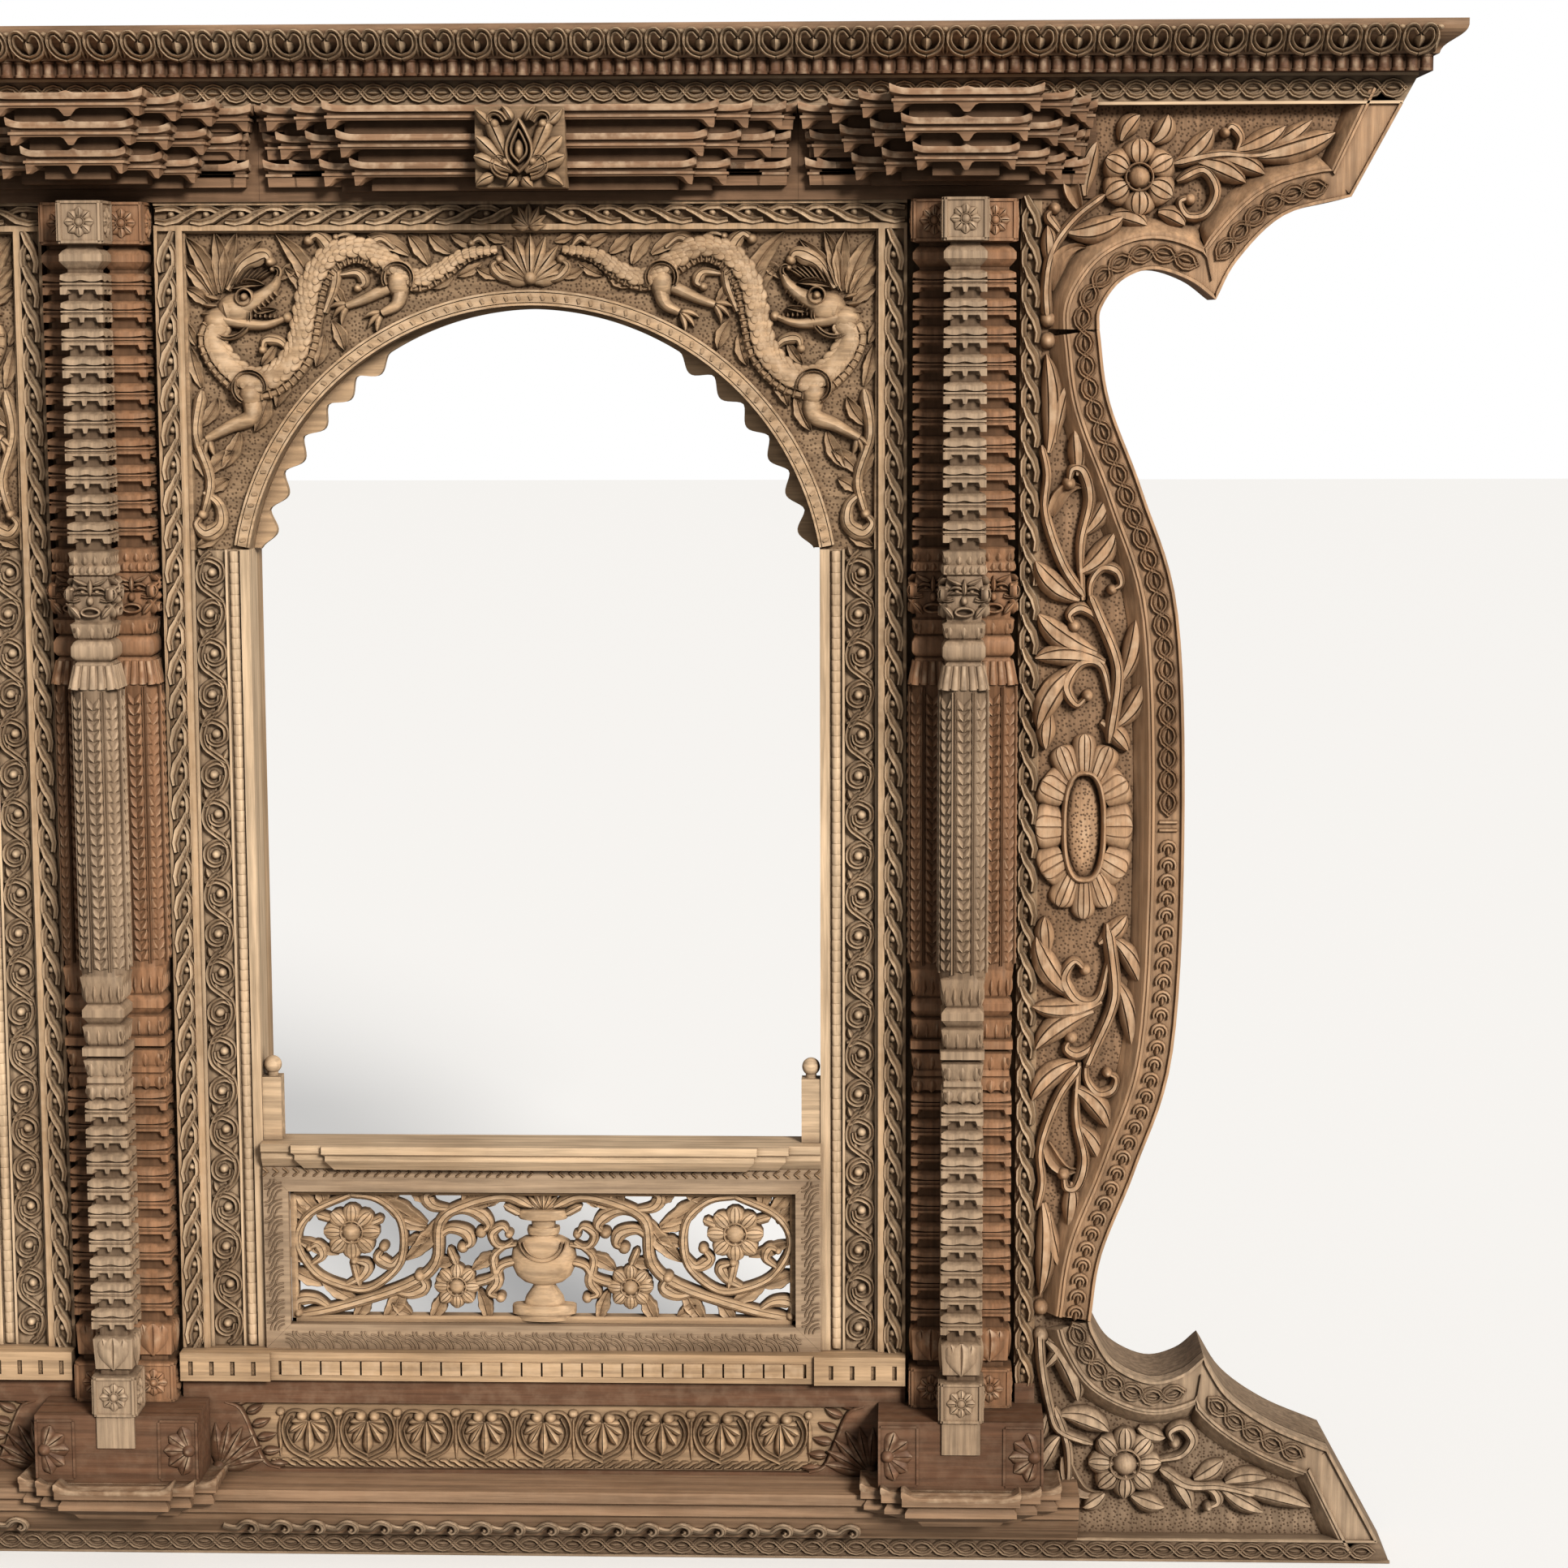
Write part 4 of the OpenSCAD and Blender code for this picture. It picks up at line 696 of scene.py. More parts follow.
def punch_marks(tree, spot):
    """Mask of small punched pits on faces turned to the front; the pits are darkened as dirt and painted shade."""
    flat = tree.nodes.new("ShaderNodeSeparateXYZ")
    tree.links.new(spot.outputs["Object"], flat.inputs[0])
    plane = tree.nodes.new("ShaderNodeCombineXYZ")
    tree.links.new(flat.outputs["X"], plane.inputs["X"])
    tree.links.new(flat.outputs["Z"], plane.inputs["Y"])
    dots = tree.nodes.new("ShaderNodeTexVoronoi")
    dots.voronoi_dimensions = "2D"
    dots.inputs["Scale"].default_value = PUNCHES_PER_METRE
    tree.links.new(plane.outputs[0], dots.inputs["Vector"])
    facing = tree.nodes.new("ShaderNodeSeparateXYZ")
    tree.links.new(spot.outputs["Normal"], facing.inputs[0])
    front = spread(tree, math_node(tree, "MULTIPLY", facing.outputs["Y"], -1.0), 0.6, 0.8)
    pit = math_node(tree, "SUBTRACT", 1.0, spread(tree, dots.outputs["Distance"], 0.14, 0.36))
    return math_node(tree, "MULTIPLY", pit, front)


def wood(slot, way="z", carved=True, punched=False):
    """Weathered teak of one tone, its grain along one axis, with dirt and painted shade in its hollows and wear and a
    painted highlight on raised parts; the ground of a carving may be punched.
    """
    name = f"{slot}_{way}" + ("_carved" if carved else "") + ("_punched" if punched else "")
    if name in bpy.data.materials:
        return bpy.data.materials[name]
    colours = bpy.context.scene.window_colours
    tone = np.array(getattr(colours, slot))
    material = bpy.data.materials.new(name)
    material.use_nodes = True
    tree = material.node_tree
    spot = tree.nodes.new("ShaderNodeTexCoord")
    place = spot.outputs["Object"]
    stretch = {"x": (5, 130, 130), "z": (130, 130, 5)}[way]
    grain = grouped(tree, grain_group(), Place=place, Stretch=stretch, Light=tuple(tone * 1.25),
                    Dark=tuple(tone * 0.62))
    if carved:
        relief = tree.nodes.new("ShaderNodeAttribute")
        relief.attribute_name = "relief"
        relief = relief.outputs["Fac"]
    else:
        relief = PLAIN_RELIEF
    # Ambient-occlusion node: the darkness of hollows painted in as shade
    occlusion_shade = tree.nodes.new("ShaderNodeAmbientOcclusion")
    occlusion_shade.samples = 1
    occlusion_shade.inputs["Distance"].default_value = OCCLUSION_SHADE_REACH
    aged = grouped(tree, weathering_and_painted_light_group(), Place=place, Color=grain.outputs["Color"], Relief=relief,
                   Cavity=occlusion_shade.outputs["AO"], Grime=tuple(colours.dirt_and_shade_colour), Worn=tuple(colours.wear_and_highlight_colour))
    colour, height = aged.outputs["Color"], grain.outputs["Ridge"]
    if punched:
        pit = punch_marks(tree, spot)
        # Pits darkened toward the dirt colour: dirt and painted shade inside the punched pits
        colour = blend(tree, math_node(tree, "MULTIPLY", pit, 0.8), colour, tuple(colours.dirt_and_shade_colour))
        height = math_node(tree, "SUBTRACT", height, math_node(tree, "MULTIPLY", pit, 2.2))
    bump = tree.nodes.new("ShaderNodeBump")
    bump.inputs["Strength"].default_value = 0.35
    bump.inputs["Distance"].default_value = 0.0016
    tree.links.new(height, bump.inputs["Height"])
    skin = tree.nodes["Principled BSDF"]
    skin.inputs["Specular IOR Level"].default_value = 0.28
    tree.links.new(colour, skin.inputs["Base Color"])
    tree.links.new(aged.outputs["Roughness"], skin.inputs["Roughness"])
    tree.links.new(bump.outputs["Normal"], skin.inputs["Normal"])
    return material


def leaf_to(base, tip, width, height=11.0, bend=0.0, lobes=3):
    """Lobed leaf from one point to another, hollowed on both sides of its vein, its tip standing out."""
    d = np.subtract(tip, base)
    length = math.hypot(*d) * (1 + (bend / 150) ** 2)
    way = math.degrees(math.atan2(d[1], d[0])) - bend / 2
    n = 15
    t = np.linspace(0, 1, n)
    swell = np.interp(t, (0, 0.18, 0.45, 0.72, 0.9, 1), (0.22, 0.62, 1.0, 0.8, 0.36, 0.06))
    swell *= 1 - 0.2 * (1 - np.abs(np.sin(math.pi * lobes * t)) ** 0.5) * (t < 0.85)
    return ribbon(bent(base, way, length, bend, n), swell * width,
                  height * (0.62 + 0.5 * t ** 2) * (0.55 + 0.45 * swell), BLADE)


def stem(points, start=9.0, end=7.0, height=10.0, section=None):
    """Carved stem through points, grooved along its length, its ends drawn in."""
    path = spline(points)
    t = np.linspace(0, 1, len(path))
    drawn = np.clip(np.minimum(t, 1 - t) * 14 + 0.35, 0, 1)
    return ribbon(path, np.linspace(start, end, len(path)) * 1.3 * drawn, height * (0.6 + 0.4 * drawn),
                  section or GROOVED)


def curl(points, r=8.0, start=9.0, height=11.0):
    """Stem through points that swells into a broad curling leaf and ends in a ball."""
    path = spline(points, 6)
    t = np.linspace(0, 1, len(path))
    width = start * np.interp(t, (0, 0.3, 0.55, 0.75, 1), (0.7, 1.3, 1.7, 1.15, 0.5))
    return joined([ribbon(path, width, height * (0.75 + 0.35 * t), GROOVED), dome(*points[-1], r, height + 4)])


def broad_leaf(base, tip, width, height=11.0, bend=0.0):
    """Full smooth leaf of a wing, grooved along its length."""
    d = np.subtract(tip, base)
    length = math.hypot(*d) * (1 + (bend / 150) ** 2)
    way = math.degrees(math.atan2(d[1], d[0])) - bend / 2
    t = np.linspace(0, 1, 13)
    swell = np.interp(t, (0, 0.15, 0.4, 0.62, 0.85, 0.96, 1), (0.3, 0.62, 0.98, 1.0, 0.66, 0.3, 0.06))
    path = bent(base, way - bend * 0.3, length, bend * 1.6, 13)
    return ribbon(path, swell * width * 1.35, height * 1.15 * (0.7 + 0.3 * swell) * (0.85 + 0.3 * t), GROOVED)


def upper_foliage():
    """Flower and leaves of an upper wing, from the outer column's axis."""
    return joined([
        flower(46, 6, 15, 0.36, turn=30).moved(212, 1748), hook((104, 1612), 80, 78, -95, 24, 12),
        hook((140, 1712), 118, 66, -105, 22, 12), curl([(121, 1677), (112, 1688), (102, 1702), (110, 1711)], 8),
        curl([(330, 1778), (335, 1795), (324, 1808), (316, 1801)], 7), dome(274, 1721, 8, 15), dome(103, 1577, 11, 11),
        *each(broad_leaf, ((127, 1682), (192, 1700), 26, 12, 30), ((146, 1726), (160, 1790), 22, 11, -25),
              ((104, 1640), (101, 1690), 18, 10, 12), ((350, 1772), (448, 1800), 28, 12, 14),
              ((281, 1767), (341, 1741), 24, 11, -20), ((312, 1771), (364, 1751), 22, 11, -18),
              ((330, 1780), (388, 1808), 24, 11, 22), ((259, 1766), (300, 1806), 22, 11, 25),
              ((368, 1782), (420, 1815), 18, 10, 14), ((228, 1790), (246, 1822), 22, 10, 40),
              ((236, 1706), (268, 1690), 20, 11, -30), ((178, 1702), (222, 1690), 20, 10, -30),
              ((190, 1792), (212, 1822), 20, 10, -30)),
        *each(stem, ([(102, 1578), (100, 1616), (108, 1661), (135, 1699), (172, 1728)], 13, 9, 12),
              ([(252, 1764), (309, 1775), (361, 1774), (441, 1797)], 14, 5, 12),
              ([(258, 1743), (290, 1756), (306, 1731), (293, 1704), (271, 1701), (262, 1718), (276, 1723)], 13, 8, 12)),
    ])


def half_middle_foliage():
    """Upper half of a middle wing's foliage."""
    return joined([
        stem([(96, 1409), (103, 1373), (101, 1326), (123, 1262), (150, 1222)], 8, 13, 12),
        hook((108, 1322), 72, 62, -100, 20, 11),
        stem([(182, 1040), (192, 1114), (188, 1150), (168, 1198), (157, 1224)], 15, 11, 13),
        *each(broad_leaf, ((104, 1400), (101, 1520), 22, 11, 16), ((112, 1412), (128, 1486), 18, 10, -18),
              ((140, 1372), (136, 1428), 20, 11, 16), ((144, 1218), (90, 1266), 24, 11, -30),
              ((143, 1252), (186, 1302), 24, 11, 30), ((150, 1300), (180, 1352), 20, 10, 20),
              ((166, 1152), (94, 1200), 26, 11, -28), ((176, 1140), (90, 1146), 24, 11, 24),
              ((142, 1134), (94, 1058), 26, 11, 28), ((196, 1116), (214, 1196), 22, 10, 22),
              ((190, 1060), (226, 1120), 22, 10, 26), ((172, 1066), (206, 1030), 20, 9, -20),
              ((108, 1080), (104, 1032), 20, 9, 14)),
        *each(curl, ([(148, 1218), (145, 1286), (156, 1341), (148, 1376), (134, 1380), (130, 1362)], 9, 12, 12),
              ([(157, 1214), (158, 1240), (172, 1258), (190, 1254), (195, 1238), (184, 1231)], 7, 10, 11),
              ([(188, 1138), (172, 1188), (148, 1208), (132, 1200), (138, 1186)], 9, 11, 11),
              ([(184, 1090), (172, 1136), (146, 1140), (128, 1112), (141, 1088), (155, 1099)], 8, 12, 12)),
    ])


def oval_flower(half_w, half_h, petals=12):
    """Oval flower of broad petals round an eye with a raised rim."""
    def oval(a, w, h):
        c, s = np.cos(a), np.sin(a)
        return np.stack([w * np.sign(c) * np.abs(c) ** 0.76, h * np.sign(s) * np.abs(s) ** 0.76], -1)

    parts = []
    t = 1 - (1 - np.linspace(0, 1, 12)) ** 2
    swell = np.sqrt(np.clip(1 - np.abs(1.7 * t - 0.7) ** 4, 0.004, 1))
    for i in range(petals):
        a = 2 * math.pi * i / petals
        base = oval(a, 25, 68)
        d = np.array([half_w * math.cos(a), half_h * math.sin(a)]) - base
        beside = np.array([-d[1], d[0]]) / np.linalg.norm(d)
        share = abs(beside @ np.array([-half_w * math.sin(a), half_h * math.cos(a)])) * 2 * math.pi / petals
        width = 1.12 * share * (0.72 + 0.3 * t) * swell
        parts.append(ribbon(base + np.outer(t, d), width, 9 * (0.72 + 0.28 * swell), PETAL))
    parts.append(ribbon(oval(np.linspace(0, 2 * math.pi, 40, endpoint=False), 25, 68), 8, 12, ROUND, closed=True))
    return joined(parts)


def middle_foliage():
    """Foliage of a middle wing: two halves about an oval flower."""
    half = half_middle_foliage().moved(z=-940)
    return joined([half.moved(z=954), half.stretched(z=-1).moved(z=926),
                   oval_flower(61, 117).moved(152, 948), dome(103, 1551, 11, 11), dome(103, 329, 11, 11)])


def lower_foliage():
    """Flower and leaves of a lower wing, from the outer column's axis."""
    return joined([
        flower(46, 8, 15, 0.42).moved(211, 126), hook((134, 132), -80, 78, 110, 24, 11),
        curl([(256, 129), (284, 136), (297, 156), (284, 174), (268, 167), (274, 153)], 8, 12, 12),
        curl([(291, 96), (322, 91), (331, 75), (318, 68)], 7, 11), dome(103, 292, 11, 11),
        *each(broad_leaf, ((110, 286), (150, 208), 26, 12, -34), ((130, 188), (190, 168), 24, 11, -24),
              ((108, 250), (138, 292), 16, 10, 10), ((128, 160), (100, 110), 20, 10, 20),
              ((112, 190), (100, 150), 16, 9, 10), ((150, 108), (120, 78), 18, 9, 14),
              ((350, 92), (448, 70), 24, 11, -14), ((335, 92), (388, 63), 20, 11, 14),
              ((340, 100), (392, 108), 20, 10, -18), ((300, 104), (336, 130), 20, 10, 20),
              ((228, 172), (262, 160), 18, 10, 30), ((268, 108), (296, 66), 20, 10, -20),
              ((220, 82), (262, 68), 20, 10, 20), ((186, 84), (158, 66), 18, 9, -20)),
        *each(stem, ([(101, 299), (104, 254), (114, 201), (127, 168), (170, 150)], 12, 9, 12),
              ([(121, 198), (137, 152), (140, 112), (136, 96)], 11, 9, 11),
              ([(256, 118), (291, 96), (333, 95), (380, 84)], 14, 8, 12)),
    ])


BORDER = ((0, 4), (0, -25), (3.5, -25), (4.5, -20.5), (36, -20.5), (37, -25), (40, -25), (41, -22.5), (44, -22.5),
          (62, -1), (62, 4))


def wing_lines():
    """Free edges of a right wing from the outer column's axis, with the wing on their left."""
    w, z = WING_NECK, edge("upper_wing_right", "z", 0)
    upper = np.vstack([
        spline([(w, z), (w + 2, z + 26), (w + 26, z + 59), (w + 64, z + 73), (w + 108, z + 60), (w + 141, z + 36)], 6),
        spline([(w + 141, z + 36), (w + 167, z + 84), (w + 222, z + 137), (WING_REACH, Z_LINTEL)], 6)[1:],
        [(WING_REACH + FLARE * (Z_FASCIA - Z_LINTEL), Z_FASCIA)]])
    low = edge("middle_wing_right", "z", 0)
    mid, half = (low + z) / 2, (z - low) / 2
    belly = [(0, -1), (0.12, -0.86), (0.5, -0.68), (0.9, -0.44), (1, 0), (0.9, 0.44), (0.5, 0.68), (0.12, 0.86), (0, 1)]
    middle = spline([(w + 111 * a, mid + half * b) for a, b in belly], 7)
    top, toe = edge("lower_wing_right", "z", 1), 150
    j = top + 12
    lower = np.vstack([
        spline([(w, top), (w + 6, j - 30), (w + 30, j - 68), (w + 76, j - 90), (w + 116, j - 81), (w + 144, j - 58)],
               6),
        spline([(w + 144, j - 58), (w + 176, j - 108), (w + 232, j - 148), (WING_REACH, toe)], 6)[1:],
        [(WING_REACH + FLARE * (toe - Z_SILL), Z_SILL)]])[::-1]
    return {"upper": upper, "middle": middle, "lower": lower}


def wing_paths(tracks):
    """Tracks of a right wing as paths on both wings, at the depth of the chain."""
    return [deep((track + (OUTER, 0)) * (side, 1), CHAIN_Y) for track in tracks for side in (1, -1)]


def wing_bars(tracks):
    """Two bars between the chain and the scales of a middle wing."""
    x = max(point[0] for track in tracks for point in track if abs(point[1] - BAR_LEVEL) < 8)
    levels = (BAR_LEVEL - 5, BAR_LEVEL + 5)
    return [ribbon([(x - 11, z), (x + 11, z)], 5, 5, ROUND, 1.0).moved(y=CHAIN_Y) for z in levels]


def wing_ground(level, line):
    """Board of a wing, its ground at the frame's face."""
    if level == "upper":
        outline = [*line, (END_W, Z_FASCIA), (END_W, line[0][1])]
    elif level == "middle":
        outline = [*line, (END_W, line[-1][1]), (END_W, line[0][1])]
    else:
        heel = 150
        outline = [*line, (END_W, line[-1][1]), (END_W, Z_BASE), (heel, Z_BASE), (heel, Z_SILL)]
    return prism(outline, 0, BACK_Y)


def inset_path(path, inset):
    """A path moved to its left, in one run for each stretch between sharp corners."""
    tracks = []
    for run, stops in runs(path):
        moved = run + mitres(run) * inset
        keep = np.ones(len(moved), bool)
        for tip, across in stops:
            keep &= (moved - tip) @ across < -14
        tracks.append(moved[keep])
    return tracks


def even(path, step=6.0):
    """A path with points at even steps."""
    run = np.concatenate([[0], np.cumsum(np.linalg.norm(np.diff(path, axis=0), axis=1))])
    at = np.linspace(0, run[-1], int(run[-1] / step) + 2)
    return np.stack([np.interp(at, run, path[:, k]) for k in range(2)], 1)


def chain_unit(length):
    """Cell of an interlaced chain: two double strands round an almond eye."""
    p = length / 2
    line = [(-p - 2, -1.8), (-p * 0.55, 7.2), (0, 9.4), (p * 0.55, 7.2), (p + 2, -1.8)]
    strand = ribbon(spline(line, 1), 6.8, 5.4, TWIN, 1.0)
    eye = leaf((-p * 0.6, 0), 0, p * 1.2, 7, 5, section=RIDGE, count=4, sink=1.0)
    return joined([strand, strand.stretched(z=-1), eye])


def scale_unit(length):
    """Overlapping scale of a wing's lower chain: a double crescent round a bud."""
    widths = (3, 4, 5, 5, 5, 5, 5, 4, 3)
    crescents = [ribbon(arc(-4, 0, r, -112, 112, 9), widths, h, ROUND, 1.0) for r, h in ((9.5, 6), (5, 5))]
    bud = leaf((-length * 0.65, 0), 0, length * 0.75, 8, 5.5, section=RIDGE, count=5, sink=1.0)
    return joined([*crescents, bud])


def tier_rings(z, half, neck):
    """One small tier of a post from its foot up: half widths, levels and kinds of ring."""
    return [(neck, z + 0.4, 0), (neck, z + 8, 0), (half - 5, z + 7.5, 1), (half, z + 6.5, 1), (half, z + 15.5, 0),
            (half - 2, z + 16, 0), (half - 2, z + 18, 0), (half, z + 18.5, 0), (half, z + 20.5, 0),
            (half - 4, z + 21, 0), (half - 3, z + 23, 0), (half, z + 24.5, 2), (half - 0.5, z + 30, 2),
            (half - 5, z + 32, 0), (neck, z + 33.2, 0)]


def post_rings(half):
    """All rings of a post from its foot up: half width, level, kind and corner cut."""
    n = half - 8.5
    tenon = edge("front_post_4", "z", 0) if half == POST_HALF else Z_BLOCK_TOP
    below = [(half - 2, tenon + 0.3, 0), (half - 2, Z_BLOCK_TOP - 0.3, 0), (half, Z_BLOCK_TOP + 0.3, 0), (half, 255, 0),
             (n, 256.5, 0), (n, 262, 0), (half - 3, 265, 0), (half - 1, 304, 0), (n, 308, 0)]
    for i in range(9):
        below += tier_rings(311 + TIER * i, half, n)
    below += [(n, 613, 0), (half - 4, 616, 0), (half - 2, 630, 0), (n + 3, 632, 0), (half - 3, 634, 0),
              (half - 3, 640, 0), (n + 3, 642, 0), (half - 4, 645, 0), (half, 663, 0), (n + 1, 666, 0),
              (half + 1, 669, 0), (half + 1, 679, 0), (n + 2, 681, 0), (half - 4, 685, 0), (half, 706, 0),
              (n + 2, 709, 0), (half - 4, 713, 0), (half, 718, 0), (half, 727, 0), (half - 4, 732, 0),
              (n + 2, 734, 0), (half - 4, 738, 0), (half + 1, 769, 0)]
    shaft = [(half + 2, z, 0, SHAFT_CUT) for z in (772, 1129)]
    above = [(half + 2.5, 1131, 0), (half - 4, 1160, 0), (n + 2, 1163, 0), (half - 3, 1165, 0), (half, 1170, 0),
             (half, 1181, 0), (half - 3, 1187, 0), (n + 1, 1190, 0), (half - 4, 1193, 0), (half, 1209, 0),
             (n + 3, 1212, 0), (half - 4, 1222, 0), (half - 1, 1240, 0), (half - 4, 1258, 0), (n + 3, 1268, 0),
             (half - 1, 1270, 0), (half - 1, 1280, 0), (half - 4, 1282, 0), (half, 1297, 0), (n, 1300, 0)]
    for i in range(10):
        above += tier_rings(1302 + TIER * i, half, n)
    above += [(n, 1640, 0), (half - 4, 1645, 0), (half, 1650, 0), (half, 1658, 0), (half - 4, 1663, 0),
              (n, 1666, 0), (n, 1669.5, 0), (half, 1671, 0), (half, Z_LINTEL - 0.3, 0)]
    return [(*r, POST_CUT) for r in below] + shaft + [(*r, POST_CUT) for r in above]


ACROSS = np.array([-1, -0.86, -0.72, -0.64, -0.4, -0.13, -0.08, 0.08, 0.13, 0.4, 0.64, 0.72, 0.86])
ACROSS_PLAIN = np.array([-1, -0.86, -0.72, -0.64, -0.3, 0.3, 0.64, 0.72, 0.86])


def post_body(half, across, pendant):
    """Turned-square body of a post about its own axis."""
    notch = (np.abs(across) < 0.7) & ((np.abs(across) > 0.1) | (not pendant))
    swag = np.abs(np.sin(math.pi * across)) if pendant else np.cos(math.pi * across / 2)
    shift = (np.zeros(len(across)), 6.0 * notch, -2.6 * swag)
    loops, relief = [], []
    for r, z, kind, cut in post_rings(half):
        side = np.stack([across * r, np.full(len(across), -r), z + shift[kind]], 1)
        scale = np.minimum(1, cut * r / np.abs(side[:, :2]).sum(1))
        side[:, :2] *= scale[:, None]
        loops.append(np.vstack([Carving(side).swung(90 * k).points for k in range(4)]))
        # Necks get low relief, which darkens them as dirt and painted shade
        relief.append(0.1 if r < half - 6 else 0.35 if cut < POST_CUT else 0.8)
    return loft(loops, np.array(relief)[:, None])


def petal_row(z, length, half, count, height=4.0, up=False):
    """Row of petals across one side of a post."""
    step = 2 * half / count
    way = 90 if up else -90
    return joined([leaf((-half + step * (i + 0.5), z), way, length, step * 1.05, height, section=RIDGE, count=5, sink=2)
                   .moved(y=-half + 3.5) for i in range(count)])


def post_trim(half):
    """Flowers, petals, flutes and masks on the sides of a post."""
    rows = [flower(half * 0.66, 8, 4, 0.36, sink=1, fine=False).moved(0, z, -half + 0.5) for z in (229, Z_LINTEL - 26)]
    for z in (229, Z_LINTEL - 26):
        k = half - 4
        path = [(-k, z - k), (k, z - k), (k, z + k), (-k, z + k), (-k, z - k)]
        rows.append(moulding(path, ((-3, 0.5), (-3, -2), (0, -2), (2, 0.5))).moved(y=-half))
    rows += [leaf((0, 306), -90, 42, half * 1.5, 5, section=VEINED, sink=2).moved(y=-half + 3),
             leaf((-half * 0.5, 305), -80, 24, half * 0.7, 4).moved(y=-half + 3),
             leaf((half * 0.5, 305), -100, 24, half * 0.7, 4).moved(y=-half + 3),
             petal_row(631, 19, half - 1, 3), petal_row(664, 22, half - 1, 3), petal_row(707, 24, half - 1, 4),
             petal_row(1210, 18, half - 1, 3), petal_row(1281, 17, half - 1, 4, up=True),
             petal_row(737, 34, half - 1, 5, 5, up=True)]
    for i in range(5):
        x = (i - 2) * half * 0.4
        flute = ribbon([(x * 0.86, 1158), (x, 1140), (x * 1.06, 1129)], (half * 0.3, half * 0.36, half * 0.4), 3.5,
                       ROUND, 2)
        rows.append(flute.leaned(0.2, 1130).moved(y=-half - 1.5))
    for i in range(5):
        x = (i - 2) * half * 0.36
        rows.append(leaf((x, 1269.5), 90, 11, half * 0.36, 3, section=RIDGE, count=4, sink=2).moved(y=-half + 1.5))
    lips = np.stack([11 * np.cos(np.linspace(0, 6.28, 18)), 5 * np.sin(np.linspace(0, 6.28, 18)) + 1224], 1)[:-1]
    face = [dome(9, 1249, 3.6, 9, 0.8, 10, 3), leaf((1, 1246), 20, 20, 5, 8, -50), leaf((2, 1250), 52, 20, 5, 8, -110),
            leaf((3, 1257), 12, 20, 6, 8, 26), tendril((13, 1240), -20, 34, 230, 6, 4, 6, 3.4, count=10),
            leaf((half * 0.5, 1216), 62, 26, 9, 6, -30)]
    rows += [both(joined(face)).moved(y=-half + 3), ribbon(lips, 4.2, 8, ROUND, closed=True).moved(y=-half + 3),
             dome(0, 1238, 5, 9, 1.3, 10, 3).moved(y=-half + 3), leaf((0, 1244), 90, 20, 8, 8).moved(y=-half + 3)]
    return joined(rows)


def shaft_leaves(half):
    """Paired leaves up one face of the eight-sided shaft, between two thin ribs."""
    pair = both(leaf((0.6, 0), 42, 17, 11, 3.8, 46, RIDGE, 4, 1.0))
    rows = [pair.moved(0, z) for z in np.arange(778, 1114, 13.0)]
    ribs = [ribbon([(x, 776), (x, 1126)], 1.8, 2.6, RIDGE, 1) for x in (-10.6, 10.6)]
    return joined([*rows, *ribs]).moved(y=-half - 2)


def column_post(half, across, pendant):
    """A whole post: body, and the trim and shaft leaves of its open sides."""
    shafts = [shaft_leaves(half).swung(a) for a in (0, 45, 90, 270, 315)]
    trim = post_trim(half)
    return joined([post_body(half, across, pendant), *[trim.swung(a) for a in (0, 90, 270)], *shafts])


def eave_step(x0, x1, out, z, lobes):
    """One stepped eave: three tiers with upturned corners and lobed hollows, mitred round three sides."""
    parts = []
    middle, half = (x0 + x1) / 2, (x1 - x0) / 2
    ends = np.array([0, 3, 6, 9, 13, 18, 26])
    centre = np.array([-16, -11, -8, -4, 0, 4, 8, 11, 16])
    place = np.concatenate([ends - half, np.linspace(-half + 40, -24, 4), centre, np.linspace(24, half - 40, 4),
                            (half - ends)[::-1]])
    place = np.unique(np.clip(place, -half, half))
    n, u, away = len(place), place / half, half - np.abs(place)
    corner = np.clip(1 - away / 24, 0, 1) ** 2
    pendant = np.clip(1.4 - np.abs(place) / 9, 0, 1) if lobes == 2 else np.zeros(n)
    bump = np.clip(1 - np.abs(place) / 9, 0, 1) if lobes == 2 else np.zeros(n)
    hollow = np.clip((away - 5) / 9, 0, 1) * (1 - pendant) * (lobes > 0)
    for tier in range(3):
        s = min(tier * 14.0, max(out - 22.0, 0.0))
        top = z - 33 * tier - (0.4 if tier else 0)
        foot = max(top - 33 + (0.4 if tier == 2 else 0), Z_LINTEL)
        section = ((14, -1, 0, 0), (6, -2.5, 2, 0), (0.5, 0.5, 6, 2.5), (0, -1, 6, 2.5), (1, -7, 4, 0), (6, -8, 0, 0),
                   (6, -11, 0, 0), (3, -11.5, 0, 0), (3, -14.5, 0, 0), (5, -15, 0, 0), (6, -27, 0, 10),
                   (10, -27, 0, 10), (24, -15, 0, 0), (24, foot - top, 0, 0))
        loops = []
        for inset, dz, lift, wave in section:
            a = s + inset
            k = max(half - a, 1.0)
            y = -out + min(a, out - 3)
            level = top + dz + lift * corner + wave * (bump if wave < 5 else hollow)
            front = np.stack([middle + u * k, np.full(n, y), level], 1)
            level = top + dz + (wave if wave > 5 and lobes else 0)
            left = [(middle - k, 0, top + dz), (middle - k, y * 0.5, level)]
            right = [(middle + k, y * 0.5, level), (middle + k, 0, top + dz)]
            loops.append(np.vstack([left, front, right]))
        # Relief of each ring: the low values darken the hollows under each lip as dirt and painted shade
        value = np.array([0.8, 0.9, 1, 1, 0.95, 0.3, 0.2, 0.9, 0.9, 0.4, 0.75, 0.4, 0.0, 0.1])[:, None]
        parts.append(loft(loops, value))
    return joined(parts)


